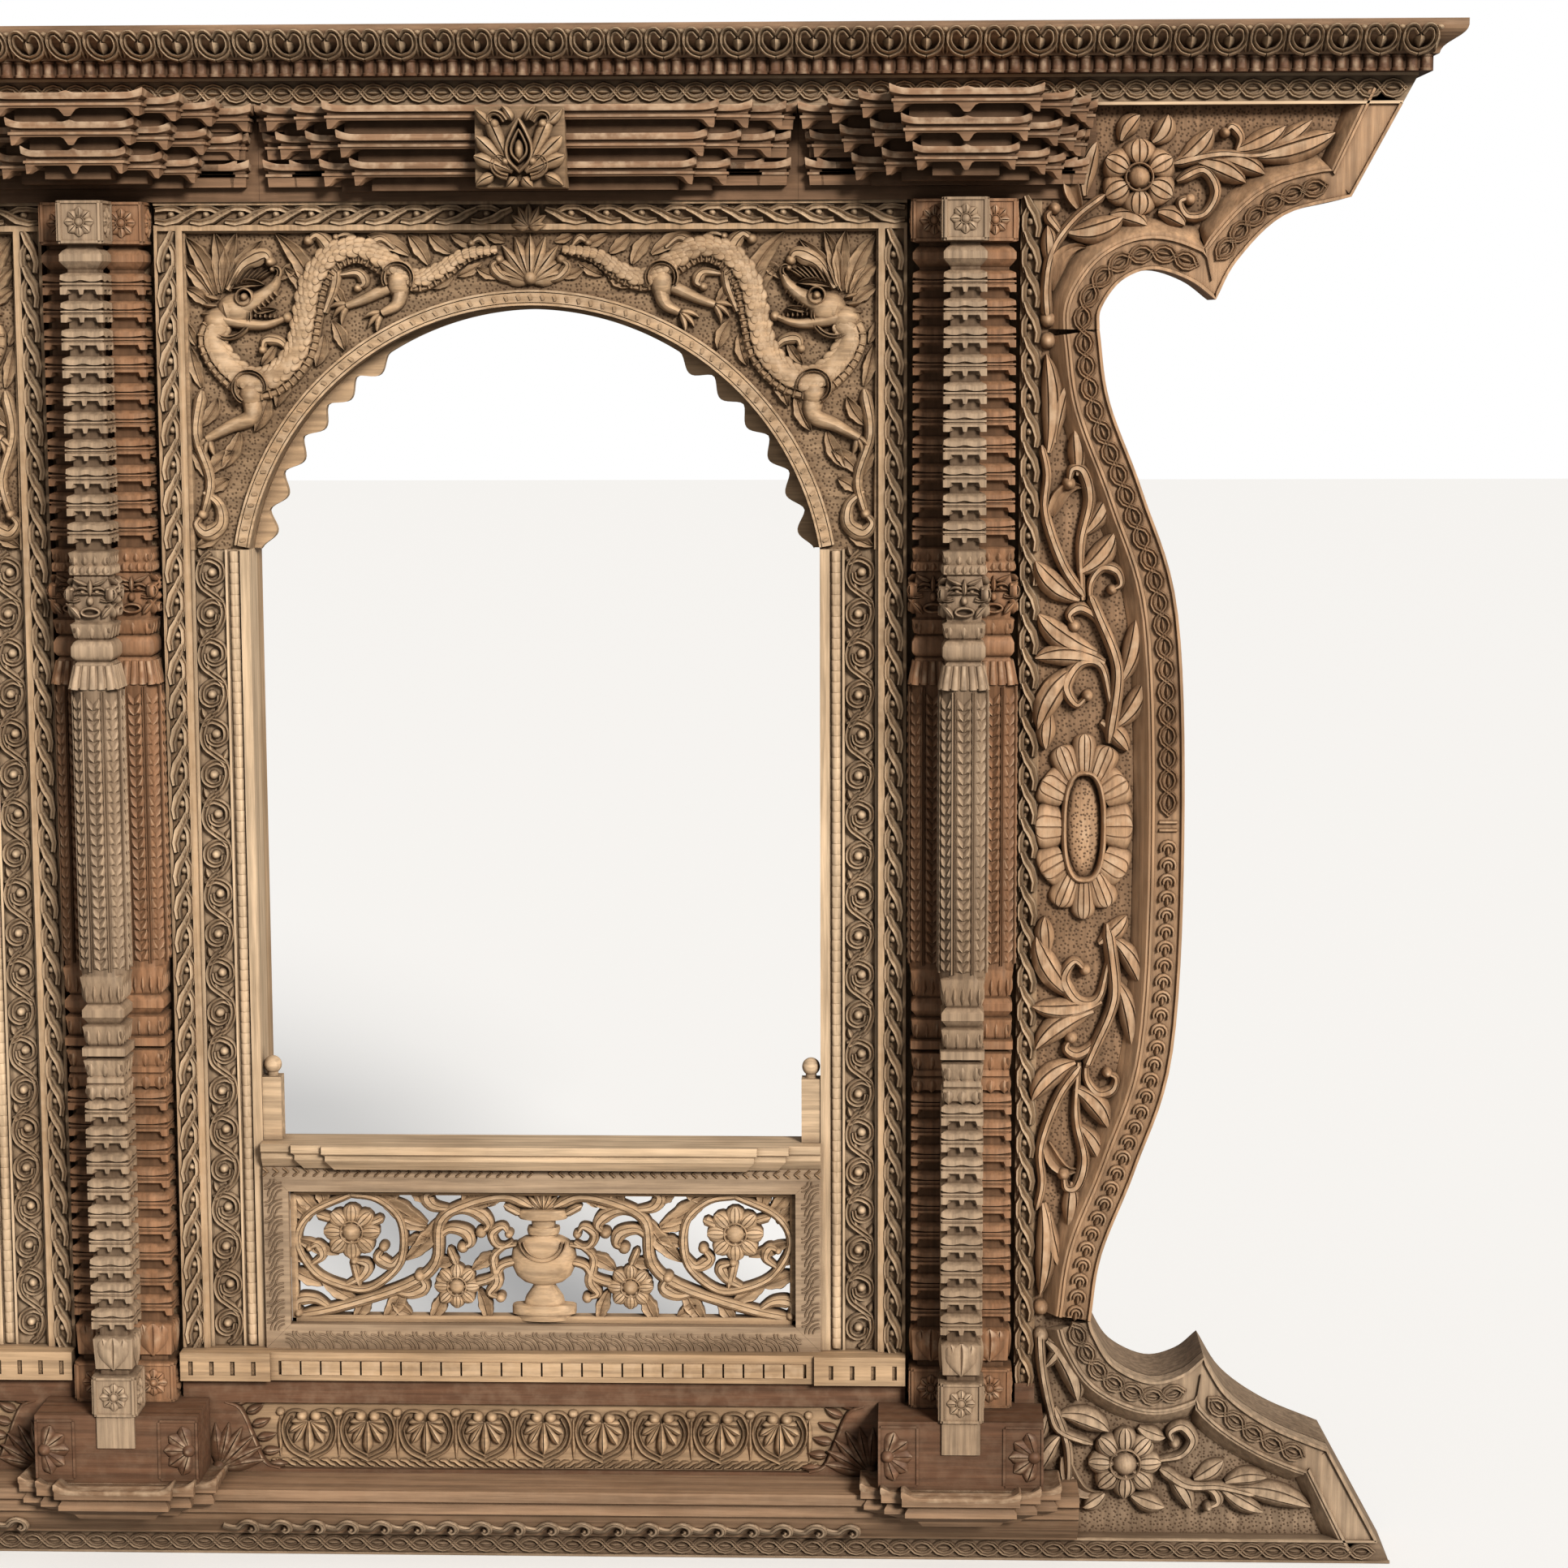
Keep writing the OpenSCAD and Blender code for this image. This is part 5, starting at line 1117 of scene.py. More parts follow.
def column_eave(name):
    """Eave over a column: four steps, shorter on a wing's side."""
    side = {"1": -1, "4": 1}.get(name, 0)
    ends = (160, 150, 129, 92)

    def span(reach, end):
        """Left and right ends of a step."""
        return -end if side < 0 else -reach, end if side > 0 else reach

    parts = []
    for s, out in enumerate((45, 78, 111, 144)):
        x0, x1 = span(92 + (3 - s) * 37, ends[s])
        parts.append(eave_step(x0, x1, out, EAVE_TOP + 4.5 * s, 2 if s == 3 else 1))
    x0, x1 = span(EAVE_REACH, ends[0])
    parts += [eave_step(x0 + 0.2, x1 - 0.2, 30, EAVE_TOP, 0), block(x0, x1, -4, 0, Z_LINTEL, EAVE_TOP, 0.2)]
    return joined(parts).moved(COLUMN_X[name])


def plaque():
    """Carved plaque: a bud among lobed petals, curls and corner leaves."""
    w, z = 54, Z_FASCIA - 50
    bud = [(0, -30), (13, -16), (15, 0), (8, 18), (0, 32)]
    outline = np.vstack([spline(bud), (spline(bud) * (-1, 1))[::-1][1:-1]])
    parts = [prism([(-w, -48), (w, -48), (w, 48), (-w, 48)], 6, 70, relief=0.35),
             ribbon(outline, 5, 13, ROUND, closed=True), ribbon(outline * 0.62, 4, 12, ROUND, closed=True),
             dome(0, -4, 6, 13, 2.2)]
    side = [lobe((8, -30), a, n, 19, 10) for a, n in ((66, 72), (44, 60), (22, 50))]
    side += [tendril((14, -36), 10, 50, 250, 9, 6, 11, 6), tendril((16, 30), 60, 40, -260, 9, 6, 11, 6),
             leaf((30, -34), -14, 26, 14, 10, -30), leaf((34, 26), 40, 26, 13, 10, 10),
             leaf((4, -36), -60, 18, 15, 10, 30), leaf((8, 30), 66, 22, 12, 10, -20)]
    parts.append(both(joined(side)))
    return joined(parts).moved(0, z, -96)


def bay_eave(name):
    """Eave over a bay: three long steps, the boards beside them and room for a plaque in the middle."""
    reach = PITCH / 2 - EAVE_REACH
    parts = []
    for s, out in enumerate((50, 70, 90)):
        half = min(239 + (2 - s) * 40, reach)
        parts.append(eave_step(-half, half, out, EAVE_TOP, 1))
    half = reach - 0.3
    parts += [eave_step(-half, half, 30, EAVE_TOP, 0), block(-half, half, -4, 0, Z_LINTEL, EAVE_TOP, 0.2)]
    return joined(parts).moved(BAY_X[name])


def dragon():
    """Right-hand dragon of a spandrel, from the bay's middle and the head of the bay."""
    line = spline([(40, -25), (78, -32), (110, -52), (141, -63), (173, -46), (210, -25), (245, -35), (267, -66),
                   (276, -106), (287, -151), (318, -183), (352, -188), (384, -163), (398, -132), (386, -112)], 6)
    n = len(line)
    t = np.linspace(0, 1, n)
    width = np.interp(t, (0, 0.1, 0.3, 0.5, 0.8, 1), (8, 20, 30, 36, 40, 34))
    body = ((-1, 0), (-0.92, 0.5), (-0.8, 0.66), (-0.55, 0.66), (-0.48, 0.5), (-0.42, 0.86), (-0.1, 1), (0.3, 1),
            (0.7, 0.82), (0.93, 0.45), (1, 0))
    parts = [ribbon(line, width, np.interp(t, (0, 0.2, 1), (8, 13, 16)), body)]
    scale = ribbon([(-6.5, 0), (-2.5, 0), (2.5, 0), (5.5, 0), (7, 0)], (8, 12, 12, 9, 4), (1.2, 2.4, 3.6, 4.2, 4.0),
                   SCALE).moved(y=-12)
    rib = ribbon([(0, -4.6), (0, 4.6)], 4.2, 3.6, RIDGE, 2).moved(y=-9)
    for k, (x, z, way, at) in enumerate(spaced(line, 8.4)):
        w = float(np.interp(at, t, width))
        grow = 0.6 + 0.4 * min(at * 4, 1)
        for row in (-0.2, 0.18, 0.56, 0.86) if k % 2 else (0.0, 0.36, 0.72):
            parts.append(scale.stretched(grow, (1 - 0.3 * max(row, 0)) * (0.7 + 0.3 * min(at * 4, 1)), grow)
                         .moved(0, row * w / 2).turned(way).moved(x, z))
        parts.append(rib.stretched(1, 0.7 + 0.3 * grow, w / 36).moved(0, -0.68 * w / 2).turned(way).moved(x, z))
    head = [
        dome(366, -96, 25, 19, 0.82, 18), dome(388, -110, 20, 17, 0.9, 16),
        ribbon(spline([(378, -98), (352, -90), (333, -80), (319, -68), (312, -56)]), np.linspace(32, 9, 21),
               np.linspace(19, 15, 21), ROUND),
        ribbon(spline([(380, -108), (352, -114), (328, -115), (304, -107)]), np.linspace(20, 8, 16), 16, ROUND),
        dome(302, -106, 7, 19), dome(354, -81, 6.5, 25),
        ribbon(arc(354, -81, 10, 0, 340, 16), 4, 22, ROUND, closed=True),
        leaf_to((350, -102), (316, -96), 10, 14, 20), leaf_to((372, -70), (332, -66), 13, 22, 40),
        tendril((314, -58), 130, 22, -200, 8, 5, 15, 4),
        ribbon(arc(376, -104, 27, 170, 330, 14), 7, 15, GOUGED),
    ]
    for i in range(6):
        head.append(leaf((344 - 5 * i, -94 + 4.4 * i), -118, 9, 6, 17, section=RIDGE, count=4))
        head.append(leaf((342 - 6 * i, -107 - 0.4 * i), 92, 7, 5, 15, section=RIDGE, count=4))
    for i in range(8):
        head.append(leaf((378 - 5.5 * i, -72 + 1.5 * i), 108 + 5 * i, 34 - 1.2 * i, 7, 15, 10, section=RIDGE, count=6))
    for i in range(7):
        head.append(leaf((388 + 1.5 * i, -84 - 8 * i), 10 - 12 * i, 20, 10, 12, 20, section=RIDGE, count=5))
    crest = [
        curl([(376, -72), (358, -44), (342, -34), (328, -30), (322, -38)], 7, 15, 13),
        *each(leaf_to, ((386, -76), (390, -4), 26, 14, -26), ((382, -74), (364, -4), 22, 13, 20),
              ((380, -70), (334, -14), 20, 12, 24), ((392, -78), (425, -10), 26, 14, -30),
              ((396, -82), (428, -42), 24, 13, -30), ((398, -92), (428, -70), 20, 12, -26)),
    ]
    legs = [dome(163, -64, 17, 18, 1.2), ribbon(arc(163, -58, 18, -30, 210, 18), 7, 19, GOUGED),
            ribbon(spline([(160, -66), (166, -90), (184, -101)]), np.linspace(24, 11, 11), 15, ROUND),
            ribbon(spline([(176, -70), (206, -84), (228, -92)]), np.linspace(18, 10, 11), 13, ROUND),
            ribbon(arc(350, -192, 20, -60, 190, 18), 7, 19, GOUGED), dome(350, -200, 17, 18, 1.2),
            ribbon(spline([(350, -200), (350, -228), (376, -240), (406, -256)]), np.linspace(30, 12, 16), 15, ROUND)]
    for base, way in (((226, -91), -8), ((184, -101), -14), ((402, -254), -44)):
        legs += [leaf(base, way + a, 27, 9, 13, -50, ROUND, 6) for a in (-36, -6, 24)]
    leaves = [
        stem([(412, -196), (420, -250), (404, -306), (414, -352)], 14, 9, 11),
        *each(leaf_to, ((258, -104), (312, -8), 30, 12, -38), ((264, -90), (304, -46), 24, 11, -24),
              ((284, -34), (318, -60), 18, 10, 24), ((246, -60), (228, -96), 16, 10, -20),
              ((318, -140), (336, -164), 16, 10, 20), ((246, -112), (232, -146), 20, 10, 24),
              ((258, -128), (268, -166), 20, 10, 24), ((126, -42), (150, -6), 22, 10, -24),
              ((150, -30), (200, -6), 24, 10, -30), ((98, -28), (124, -5), 20, 10, 24),
              ((64, -20), (98, -5), 18, 9, 14), ((96, -52), (122, -70), 18, 9, 24), ((60, -40), (90, -56), 16, 8, 16),
              ((412, -192), (424, -142), 20, 11, 12), ((414, -240), (392, -206), 20, 11, -30),
              ((406, -300), (374, -272), 24, 11, 34), ((408, -306), (426, -270), 18, 10, -24),
              ((404, -322), (380, -306), 20, 10, 24), ((392, -374), (424, -390), 18, 10, 12),
              ((328, -202), (346, -246), 22, 11, 24), ((366, -248), (388, -292), 22, 11, 24),
              ((298, -176), (318, -216), 22, 11, -24), ((418, -140), (428, -112), 14, 10, 10)),
        *each(curl, ([(256, -100), (243, -62), (248, -24), (262, -6), (274, -12)], 7, 14, 12),
              ([(300, -150), (312, -136), (330, -134), (334, -146)], 6, 10, 11),
              ([(236, -54), (214, -52), (206, -64), (214, -70)], 6, 10, 10),
              ([(168, -22), (184, -10), (198, -18), (190, -28)], 6, 9, 10),
              ([(216, -12), (226, -4), (240, -8)], 5, 8, 9),
              ([(412, -322), (394, -338), (392, -362), (410, -374), (422, -362), (414, -350)], 7, 13, 12)),
    ]
    return joined(parts + head + crest + legs + leaves)


def spandrel_ground():
    """Board over an arch."""
    curve = arc(0, ARCH_Z, ARCH_R, 90 + ARCH_ANGLE, 90 - ARCH_ANGLE, 49)
    outline = [(-ROPE_IN, Z_SPRING), *curve, (ROPE_IN, Z_SPRING), (ROPE_IN, Z_HEAD), (-ROPE_IN, Z_HEAD)]
    return prism(outline, SPANDREL_Y, 45)


def cusps():
    """Thin board behind an arch, its lower edge waved along both haunches."""
    plain = 31
    last = 90 - math.degrees(math.asin((Z_SPRING - ARCH_Z) / ARCH_R))
    a = np.linspace(-last, last, 241)
    wave = np.sin(math.pi * 6 * (np.abs(a) - plain) / (last - plain)) ** 2
    depth = np.where(np.abs(a) < plain, 8 * (0.6 + 0.4 * np.abs(a) / plain), 8 + 16 * wave ** 0.8)
    turn = np.radians(a)
    lower = np.stack([(ARCH_R - depth) * np.sin(turn), ARCH_Z + (ARCH_R - depth) * np.cos(turn)], 1)
    upper = np.stack([(ARCH_R + 24) * np.sin(turn), ARCH_Z + (ARCH_R + 24) * np.cos(turn)], 1)
    foot = edge("cusped_arch_middle", "z", 0)
    ends = [(upper[-1][0], foot), (lower[-1][0], foot)]
    return prism([*upper, *ends, *lower[::-1], (-ends[1][0], foot), (-ends[0][0], foot)],
                 edge("cusped_arch_middle", "y", 0), edge("cusped_arch_middle", "y", 1), relief=0.7)


def spandrel_trim():
    """Notched band round an arch, and a raised edge along the other sides of its board."""
    band = arc(0, ARCH_Z, ARCH_R + 9.5, 90 + ARCH_ANGLE - 0.4, 90 - ARCH_ANGLE + 0.4, 61)
    border = [(ROPE_IN, Z_SPRING), (ROPE_IN, Z_HEAD), (-ROPE_IN, Z_HEAD), (-ROPE_IN, Z_SPRING)]
    parts = [ribbon(band, 19, 8, BAND), moulding(border, ((0, 3), (0, -8), (5, -8), (8, 3)))]
    tooth = block(-1.6, 1.6, -1.2, 2, -3.2, 3.2, 0.5).moved(y=-8)
    parts += [tooth.turned(way + 22).moved(x, z) for x, z, way, _ in spaced(band, 15.0)]
    return joined(parts).moved(y=SPANDREL_Y)


def centre_leaf():
    """Fan of lobes over the middle of an arch."""
    parts = [fan((0, -64), 90, 150, 9, 60, 20, 13, 0.82), dome(0, -58, 10, 15)]
    side = [curl([(14, -62), (34, -58), (46, -44), (38, -36)], 6, 9, 10), leaf_to((40, -58), (66, -46), 16, 9, 20),
            curl([(52, -20), (62, -10), (72, -16)], 5, 8, 9), leaf_to((30, -14), (54, -6), 14, 8, 10)]
    return joined(parts + [both(joined(side))])


def lattice():
    """Openwork panel about the bay's middle: a vase, scrolling stems and flowers cut right through."""
    ground, sink, z0 = 22.0, 10.0, 385.5

    def through(carving):
        points = carving.points.copy()
        points[:, 1] = np.where(points[:, 1] > 0, sink, points[:, 1])
        return carving.shaped(points)

    profile = [(36, 301), (36, 308), (41, 309), (41, 319), (37, 321), (26, 322), (24, 330), (17, 340), (14, 345),
               (14, 348), (25, 351), (35, 359), (40, 370), (42, 382), (40, 394), (33, 404), (24, 409), (17, 411),
               (16, 413), (20, 414), (21, 419), (20, 423), (15, 424), (15, 432), (30, 434), (33, 437), (33, 443),
               (29, 446), (22, 447)]
    parts = [half_turned(profile, 16, sink), fan((0, 444), 90, 130, 7, 32, 11, 9)]
    parts += [ribbon(arc(0, 410, r, 190, 350, 18), 3, 17, ROUND) for r in (30, 25)]
    side = [
        ribbon(spline([(247, 466), (300, 440), (318, 404), (296, 362), (260, 344), (225, 341), (190, 368), (180, 400),
                       (186, 436), (214, 460), (247, 466)]), 12, 9, GROOVED), flower(36, 8, 10, 0.4).moved(247, 416),
        flower(29, 8, 10, 0.42).moved(112, 345),
        *each(leaf_to, ((132, 436), (178, 380), 26, 9, 30), ((124, 442), (58, 458), 20, 9, 12),
              ((150, 425), (214, 468), 28, 9, 18), ((150, 420), (190, 436), 20, 8, 12),
              ((290, 440), (320, 476), 24, 9, 12), ((280, 448), (286, 478), 22, 9, 12),
              ((300, 430), (326, 456), 22, 9, 12), ((281, 346), (324, 366), 24, 9, 12),
              ((242, 324), (288, 354), 24, 9, 12), ((264, 386), (318, 406), 18, 9, 12),
              ((84, 340), (72, 298), 20, 9, 24), ((180, 345), (208, 299), 26, 9, 24),
              ((128, 336), (146, 298), 22, 9, 12), ((226, 330), (246, 299), 22, 9, 12),
              ((140, 372), (114, 378), 18, 8, 12), ((92, 366), (58, 386), 20, 8, 24),
              ((100, 452), (90, 478), 22, 9, 12), ((182, 400), (146, 408), 18, 8, 12),
              ((208, 456), (178, 478), 22, 9, 12), ((306, 376), (328, 392), 18, 9, 12),
              ((236, 464), (252, 479), 18, 9, 12), ((170, 470), (150, 456), 18, 9, 12),
              ((56, 470), (70, 450), 16, 9, 12), ((172, 306), (196, 322), 18, 9, 12)),
        *each(curl, ([(130, 436), (104, 446), (82, 440), (70, 426), (80, 416)], 8, 12, 9),
              ([(139, 404), (122, 420), (100, 416), (94, 402), (104, 396)], 8, 12, 9),
              ([(196, 338), (172, 334), (154, 344), (160, 358)], 8, 12, 9),
              ([(34, 400), (58, 398), (66, 414), (52, 424), (44, 414)], 6, 9, 9),
              ([(40, 404), (64, 384), (60, 352), (70, 336), (56, 330)], 7, 10, 9),
              ([(182, 388), (196, 372), (214, 382), (206, 396)], 7, 11, 9),
              ([(118, 446), (142, 450), (150, 464), (136, 472)], 7, 12, 9),
              ([(276, 314), (296, 326), (318, 324), (318, 308)], 7, 11, 9),
              ([(256, 345), (236, 356), (228, 372), (244, 378)], 6, 11, 9),
              ([(300, 372), (286, 384), (292, 398), (302, 394)], 5, 10, 9)),
        *each(stem, ([(14, 450), (49, 464), (100, 452), (132, 430), (139, 376), (177, 345), (268, 315), (322, 304)], 13,
                     12, 9), ([(90, 348), (66, 356), (54, 372), (36, 378)], 11, 9, 8),
              ([(139, 356), (126, 350)], 11, 11, 8), ([(206, 434), (224, 426)], 10, 10, 8),
              ([(272, 432), (292, 438)], 10, 10, 8), ([(247, 384), (238, 344)], 10, 10, 8),
              ([(112, 372), (122, 396)], 9, 9, 8), ([(30, 300), (322, 300)], 8, 8, 6),
              ([(30, 472), (322, 472)], 8, 8, 6), ([(28, 440), (50, 452)], 9, 9, 8)),
    ]
    parts.append(both(joined(side)))
    half, tall, lap = 325, 87.5, 8
    rails = [((half, z0 - tall - lap), (half, z0 + tall + lap)), ((half, z0 + tall), (-half, z0 + tall)),
             ((-half, z0 + tall + lap), (-half, z0 - tall - lap)), ((-half, z0 - tall), (half, z0 - tall))]
    rails = [moulding(rail, ((0, 10), (0, -9), (5, -9), (8, -6), (8, 10))) for rail in rails]
    return through(joined(parts + rails)).moved(y=ground)


def rope_unit():
    """Link of a rope-like strip: two crossing strands round an eye with a ball in it."""
    strand = spline([(-25, -7), (-13, -9), (2, -5), (13, 2), (25, 7)], 1)
    other = spline([(-25, 7), (-12, 9), (0, 8.5), (10, 4), (17, -1)], 1)
    return joined([ribbon(strand, (8, 10, 13, 12, 8), 11, STRAND, 1.5),
                   ribbon(other, (8, 9, 10, 8, 5), 9, STRAND, 1.5), dome(-6, 1.2, 5.2, 9.5, sides=8, rings=2)])


def scroll_unit():
    """Two scrolls of a jamb strip on a winding stem, turned to opposite sides."""
    spiral = spline([(12, -15), (17, -2), (9, 13), (-6, 14), (-13, 4), (-9, -6), (0, -8)], 3)
    one = joined([ribbon(spiral, np.linspace(10, 7, 19), 9, TWIN, 1.5), dome(0.5, 2, 6.5, 9, sides=12, rings=3),
                  leaf((-10, -6), -170, 17, 11, 8, -40, RIDGE, 5, 1.5),
                  leaf((19, -10), -30, 16, 11, 8, 20, RIDGE, 5, 1.5)])
    vine = ribbon(spline([(-52, 0), (-44, -9), (-26, -15.5), (-10, -12), (0, 0), (10, 12), (26, 15.5), (44, 9),
                          (52, 0)], 3), 9, 9, TWIN, 1.5)
    return joined([one.moved(-26), one.stretched(z=-1).moved(26), vine])


def bead_unit():
    """Bead of the strip beside an opening."""
    return ribbon([(-6.9, 0), (-6.1, 0), (6.1, 0), (6.9, 0)], (12, 13, 13, 12), (4.9, 5.6, 5.6, 4.9), ROUND, 1)


def palmette():
    """Palmette of the base panel: a heart of double line, two volutes and a lobed leaf pointing down."""
    heart = spline([(0, -37), (26, -22), (35, 4), (27, 26), (10, 28), (4, 18)], 4)
    inner = spline([(0, -30), (21, -17), (29, 4), (22, 21)], 4)
    side = [ribbon(heart, 5, 7, RIDGE, 2), ribbon(inner, 3, 5, RIDGE, 2), dome(9, 22, 8, 11, sides=10, rings=3),
            dome(37, 27, 6, 6, sides=8, rings=3), leaf((38, 20), -90, 54, 9, 5, 0, RIDGE, 6, 2)]
    side += [lobe((2, 16), a, n, w, 10) for a, n, w in ((-2, 20, 9), (-32, 27, 11), (-60, 33, 12))]
    return joined([both(joined(side)), lobe((0, 16), -90, 41, 14, 11)])


def heart_unit():
    """Heart loop of the crown with a bud inside and leaf tails."""
    loop = spline([(0, -15), (11, -11), (18, -1), (16, 10), (8, 13), (1, 6)], 3)
    side = [ribbon(loop, 8.5, 10, TWIN, 2), leaf((20, 13), -98, 27, 11, 9, 20, RIDGE, 5, 2)]
    return joined([both(joined(side)), leaf((0, 6), -90, 17, 14, 11, 0, RIDGE, 6, 2),
                   dome(22.5, 12, 5.5, 6, 0.7, 8, 2, 2)])


def wave_unit():
    """Running scroll of the sill: a grooved band that rolls over into a hook."""
    path = spline([(-24, 0), (-14, -3.5), (-5, -3), (2, 4), (10, 7.5), (18, 3.5), (18.5, -4.5), (13, -8.5), (9.5, -4)],
                  3)
    t = np.linspace(0, 1, len(path))
    return joined([ribbon(path, 13 - 5 * t, 7 + 6 * t, GROOVED, 3), dome(12.5, -4, 4, 11, sides=8, rings=3)])


def bracket_lip(half, out):
    """Lip round one step of a sill bracket, its corners turned up."""
    near = np.array([0, 3, 6, 10, 16, 24])
    place = np.concatenate([near - half, (half - near)[::-1]])
    corner = np.clip(1 - (half - np.abs(place)) / 24, 0, 1) ** 2
    loops = []
    for inset, z, lift in ((12, 0.5, 0), (1, 1.5, 8), (-1.2, 1, 8), (-1.2, -3, 6), (2, -7, 1), (2.5, -9, 0),
                           (12, -9, 0)):
        k = half - inset
        front = np.stack([place / half * k, np.full(len(place), inset - out), z + lift * corner], 1)
        loops.append(np.vstack([[(-k, BASE_Y + 2, z)], front, [(k, BASE_Y + 2, z)]]))
    return loft(loops, 0.95)


def twist_unit():
    """Slanted strand of a rope edge."""
    return ribbon([(-9, -4), (-3, -2.5), (3, 2.5), (9, 4)], (3, 7, 7, 3), 5, RIDGE, 1.5)


def reed_unit(width, tall):
    """Spool-shaped upright reed."""
    z = np.array([-0.5, -0.38, -0.3, 0.3, 0.38, 0.5]) * tall
    widths = np.array([0.97, 0.97, 0.8, 0.8, 0.97, 0.97]) * width
    return ribbon(np.stack([0 * z, z], 1), widths, (7, 8, 6, 6, 8, 7), ROUND, 2)


def rope_frame():
    """Boards and rims of a rope frame about the bay's middle, with a fan on its head."""
    legs = [block(ROPE_IN, BAY_HALF, ROPE_Y, BOARD_BACK, Z_DENTIL, Z_HEAD, 0.7),
            block(ROPE_IN, ROPE_IN + 8, 0, 8, Z_DENTIL, Z_HEAD, 0.9),
            block(BAY_HALF - 4, BAY_HALF, 0, 8, Z_DENTIL, Z_HEAD, 0.9)]
    head = [block(-BAY_HALF, BAY_HALF, ROPE_Y, BOARD_BACK, Z_HEAD, Z_LINTEL, 0.6),
            block(-BAY_HALF, BAY_HALF, 0, 8, Z_HEAD, Z_HEAD + 7, 0.9),
            block(-BAY_HALF, BAY_HALF, 0, 8, Z_LINTEL - 4, Z_LINTEL, 0.9),
            fan((0, Z_HEAD + 4), 90, 170, 7, 28, 13, 8)]
    return joined([both(joined(legs)), *head])


def jambs():
    """Boards and rims of both jambs about the bay's middle."""
    steps = ((OPENING, OPENING + 12, 8, 0.75), (OPENING + 12, OPENING + 28, BEAD_Y, 0.7),
             (OPENING + 28, OPENING + 31, 9, 0.9), (OPENING + 31, OPENING + 69, SCROLL_Y, 0.5),
             (OPENING + 69, ROPE_IN, 8, 0.9))
    return both(joined([block(x0, x1, y, BOARD_BACK, Z_JAMB, Z_SPRING, relief) for x0, x1, y, relief in steps]))


def fascia(z0, z1, half_low, half_high, rim, tuck=0):
    """Board with slanted ends and a thin rim along its lower and upper edge."""
    board = prism([(-half_low, z0), (half_low, z0), (half_high, z1), (-half_high, z1)], FASCIA_GROUND, BACK_Y)
    return joined([board, block(-half_low, half_low, FASCIA_Y, FASCIA_Y + 5, z0, z0 + rim, 0.9),
                   block(-half_high + tuck, half_high - tuck, FASCIA_Y, FASCIA_Y + 5, z1 - rim, z1, 0.9)])


def base_face():
    """Outline of the base beam's face, notched over the base blocks."""
    niches = []
    for x in COLUMN_X.values():
        niches += [(x - 70, Z_DENTIL), (x - 70, Z_BLOCK_TOP), (x + 70, Z_BLOCK_TOP), (x + 70, Z_DENTIL)]
    return [(FRAME_END, Z_BASE), (-FRAME_END, Z_BASE), (-FRAME_END, Z_DENTIL), *niches, (FRAME_END, Z_DENTIL)][::-1]


def base_boards():
    """Front of the base beam, cut out over the palmettes, with rims, fans and leaves at the ends of each cut."""
    end = spline([(342, PANEL_LOW), (362, PANEL_LOW + 8), (376, 148), (392, PANEL_HIGH - 10), (412, PANEL_HIGH)], 4)
    hole = np.vstack([end, (end * (-1, 1))[::-1]])
    side = [ribbon(end, 6, 9, ROUND, 2), fan((420, PANEL_LOW + 2), 128, 84, 6, 62, 20, 8, 0.95).moved(y=BASE_Y),
            dome(420, PANEL_LOW + 4, 9, 10).moved(y=BASE_Y)]
    side += [leaf((x - 4, z), 200 - 40 * at, 26, 13, 8, -30, sink=2) for x, z, _, at in spaced(end[2:], 16)]
    trim = both(joined(side))
    front = prism(base_face(), BASE_Y, 0, [hole + (x, 0) for x in BAY_X.values()], relief=0.8)
    return joined([front, *[trim.moved(x) for x in BAY_X.values()]])


def bracket_lips():
    """Lips round the stepped brackets under the base blocks."""
    steps = joined([bracket_lip(126 - 26 * s, 90 + 15 * s) for s in range(3)])
    return joined([steps.moved(x, edge("base_block_4", "z", 0)) for x in COLUMN_X.values()])


def block_flowers():
    """Half flowers and rims on the faces of the base blocks."""
    y, half = edge("base_block_4", "y", 0), edge("base_block_4", "x", 1) - OUTER
    z0, z1 = edge("base_block_4", "z", 0), edge("base_block_4", "z", 1)
    z = (z0 + z1) / 2
    rim = [(half - 48, z0 + 8), (half - 3, z0 + 8), (half - 3, z1 - 8), (half - 48, z1 - 8), (half - 48, z0 + 8)]
    petal = lobe((0, 0), 180, 33, 19, 5)
    one = [petal.turned(a).moved(half - 10, z) for a in (-72, -36, 0, 36, 72)]
    one += [dome(half - 12, z, 9, 8), moulding(rim, ((-3, 1), (-3, -2.5), (0, -2.5), (2, 1)))]
    return joined([both(joined(one)).moved(x, 0, y + 0.8) for x in COLUMN_X.values()])


def chevron_unit():
    """Notch of the row under a handrail."""
    return ribbon([(-6, -5), (0, 0), (-6, 5)], 3.6, 3, RIDGE, 1)


def arc_unit():
    """Woven arcs of the band round an openwork panel."""
    low = [ribbon(arc(-11, -11, r, 0, 90, 6), 2.4, 1.8, RIDGE, 0.6) for r in (8, 13, 18)]
    high = [ribbon(arc(11, 11, r, 180, 270, 6), 2.4, 1.8, RIDGE, 0.6) for r in (8, 12.5)]
    return joined(low + high)


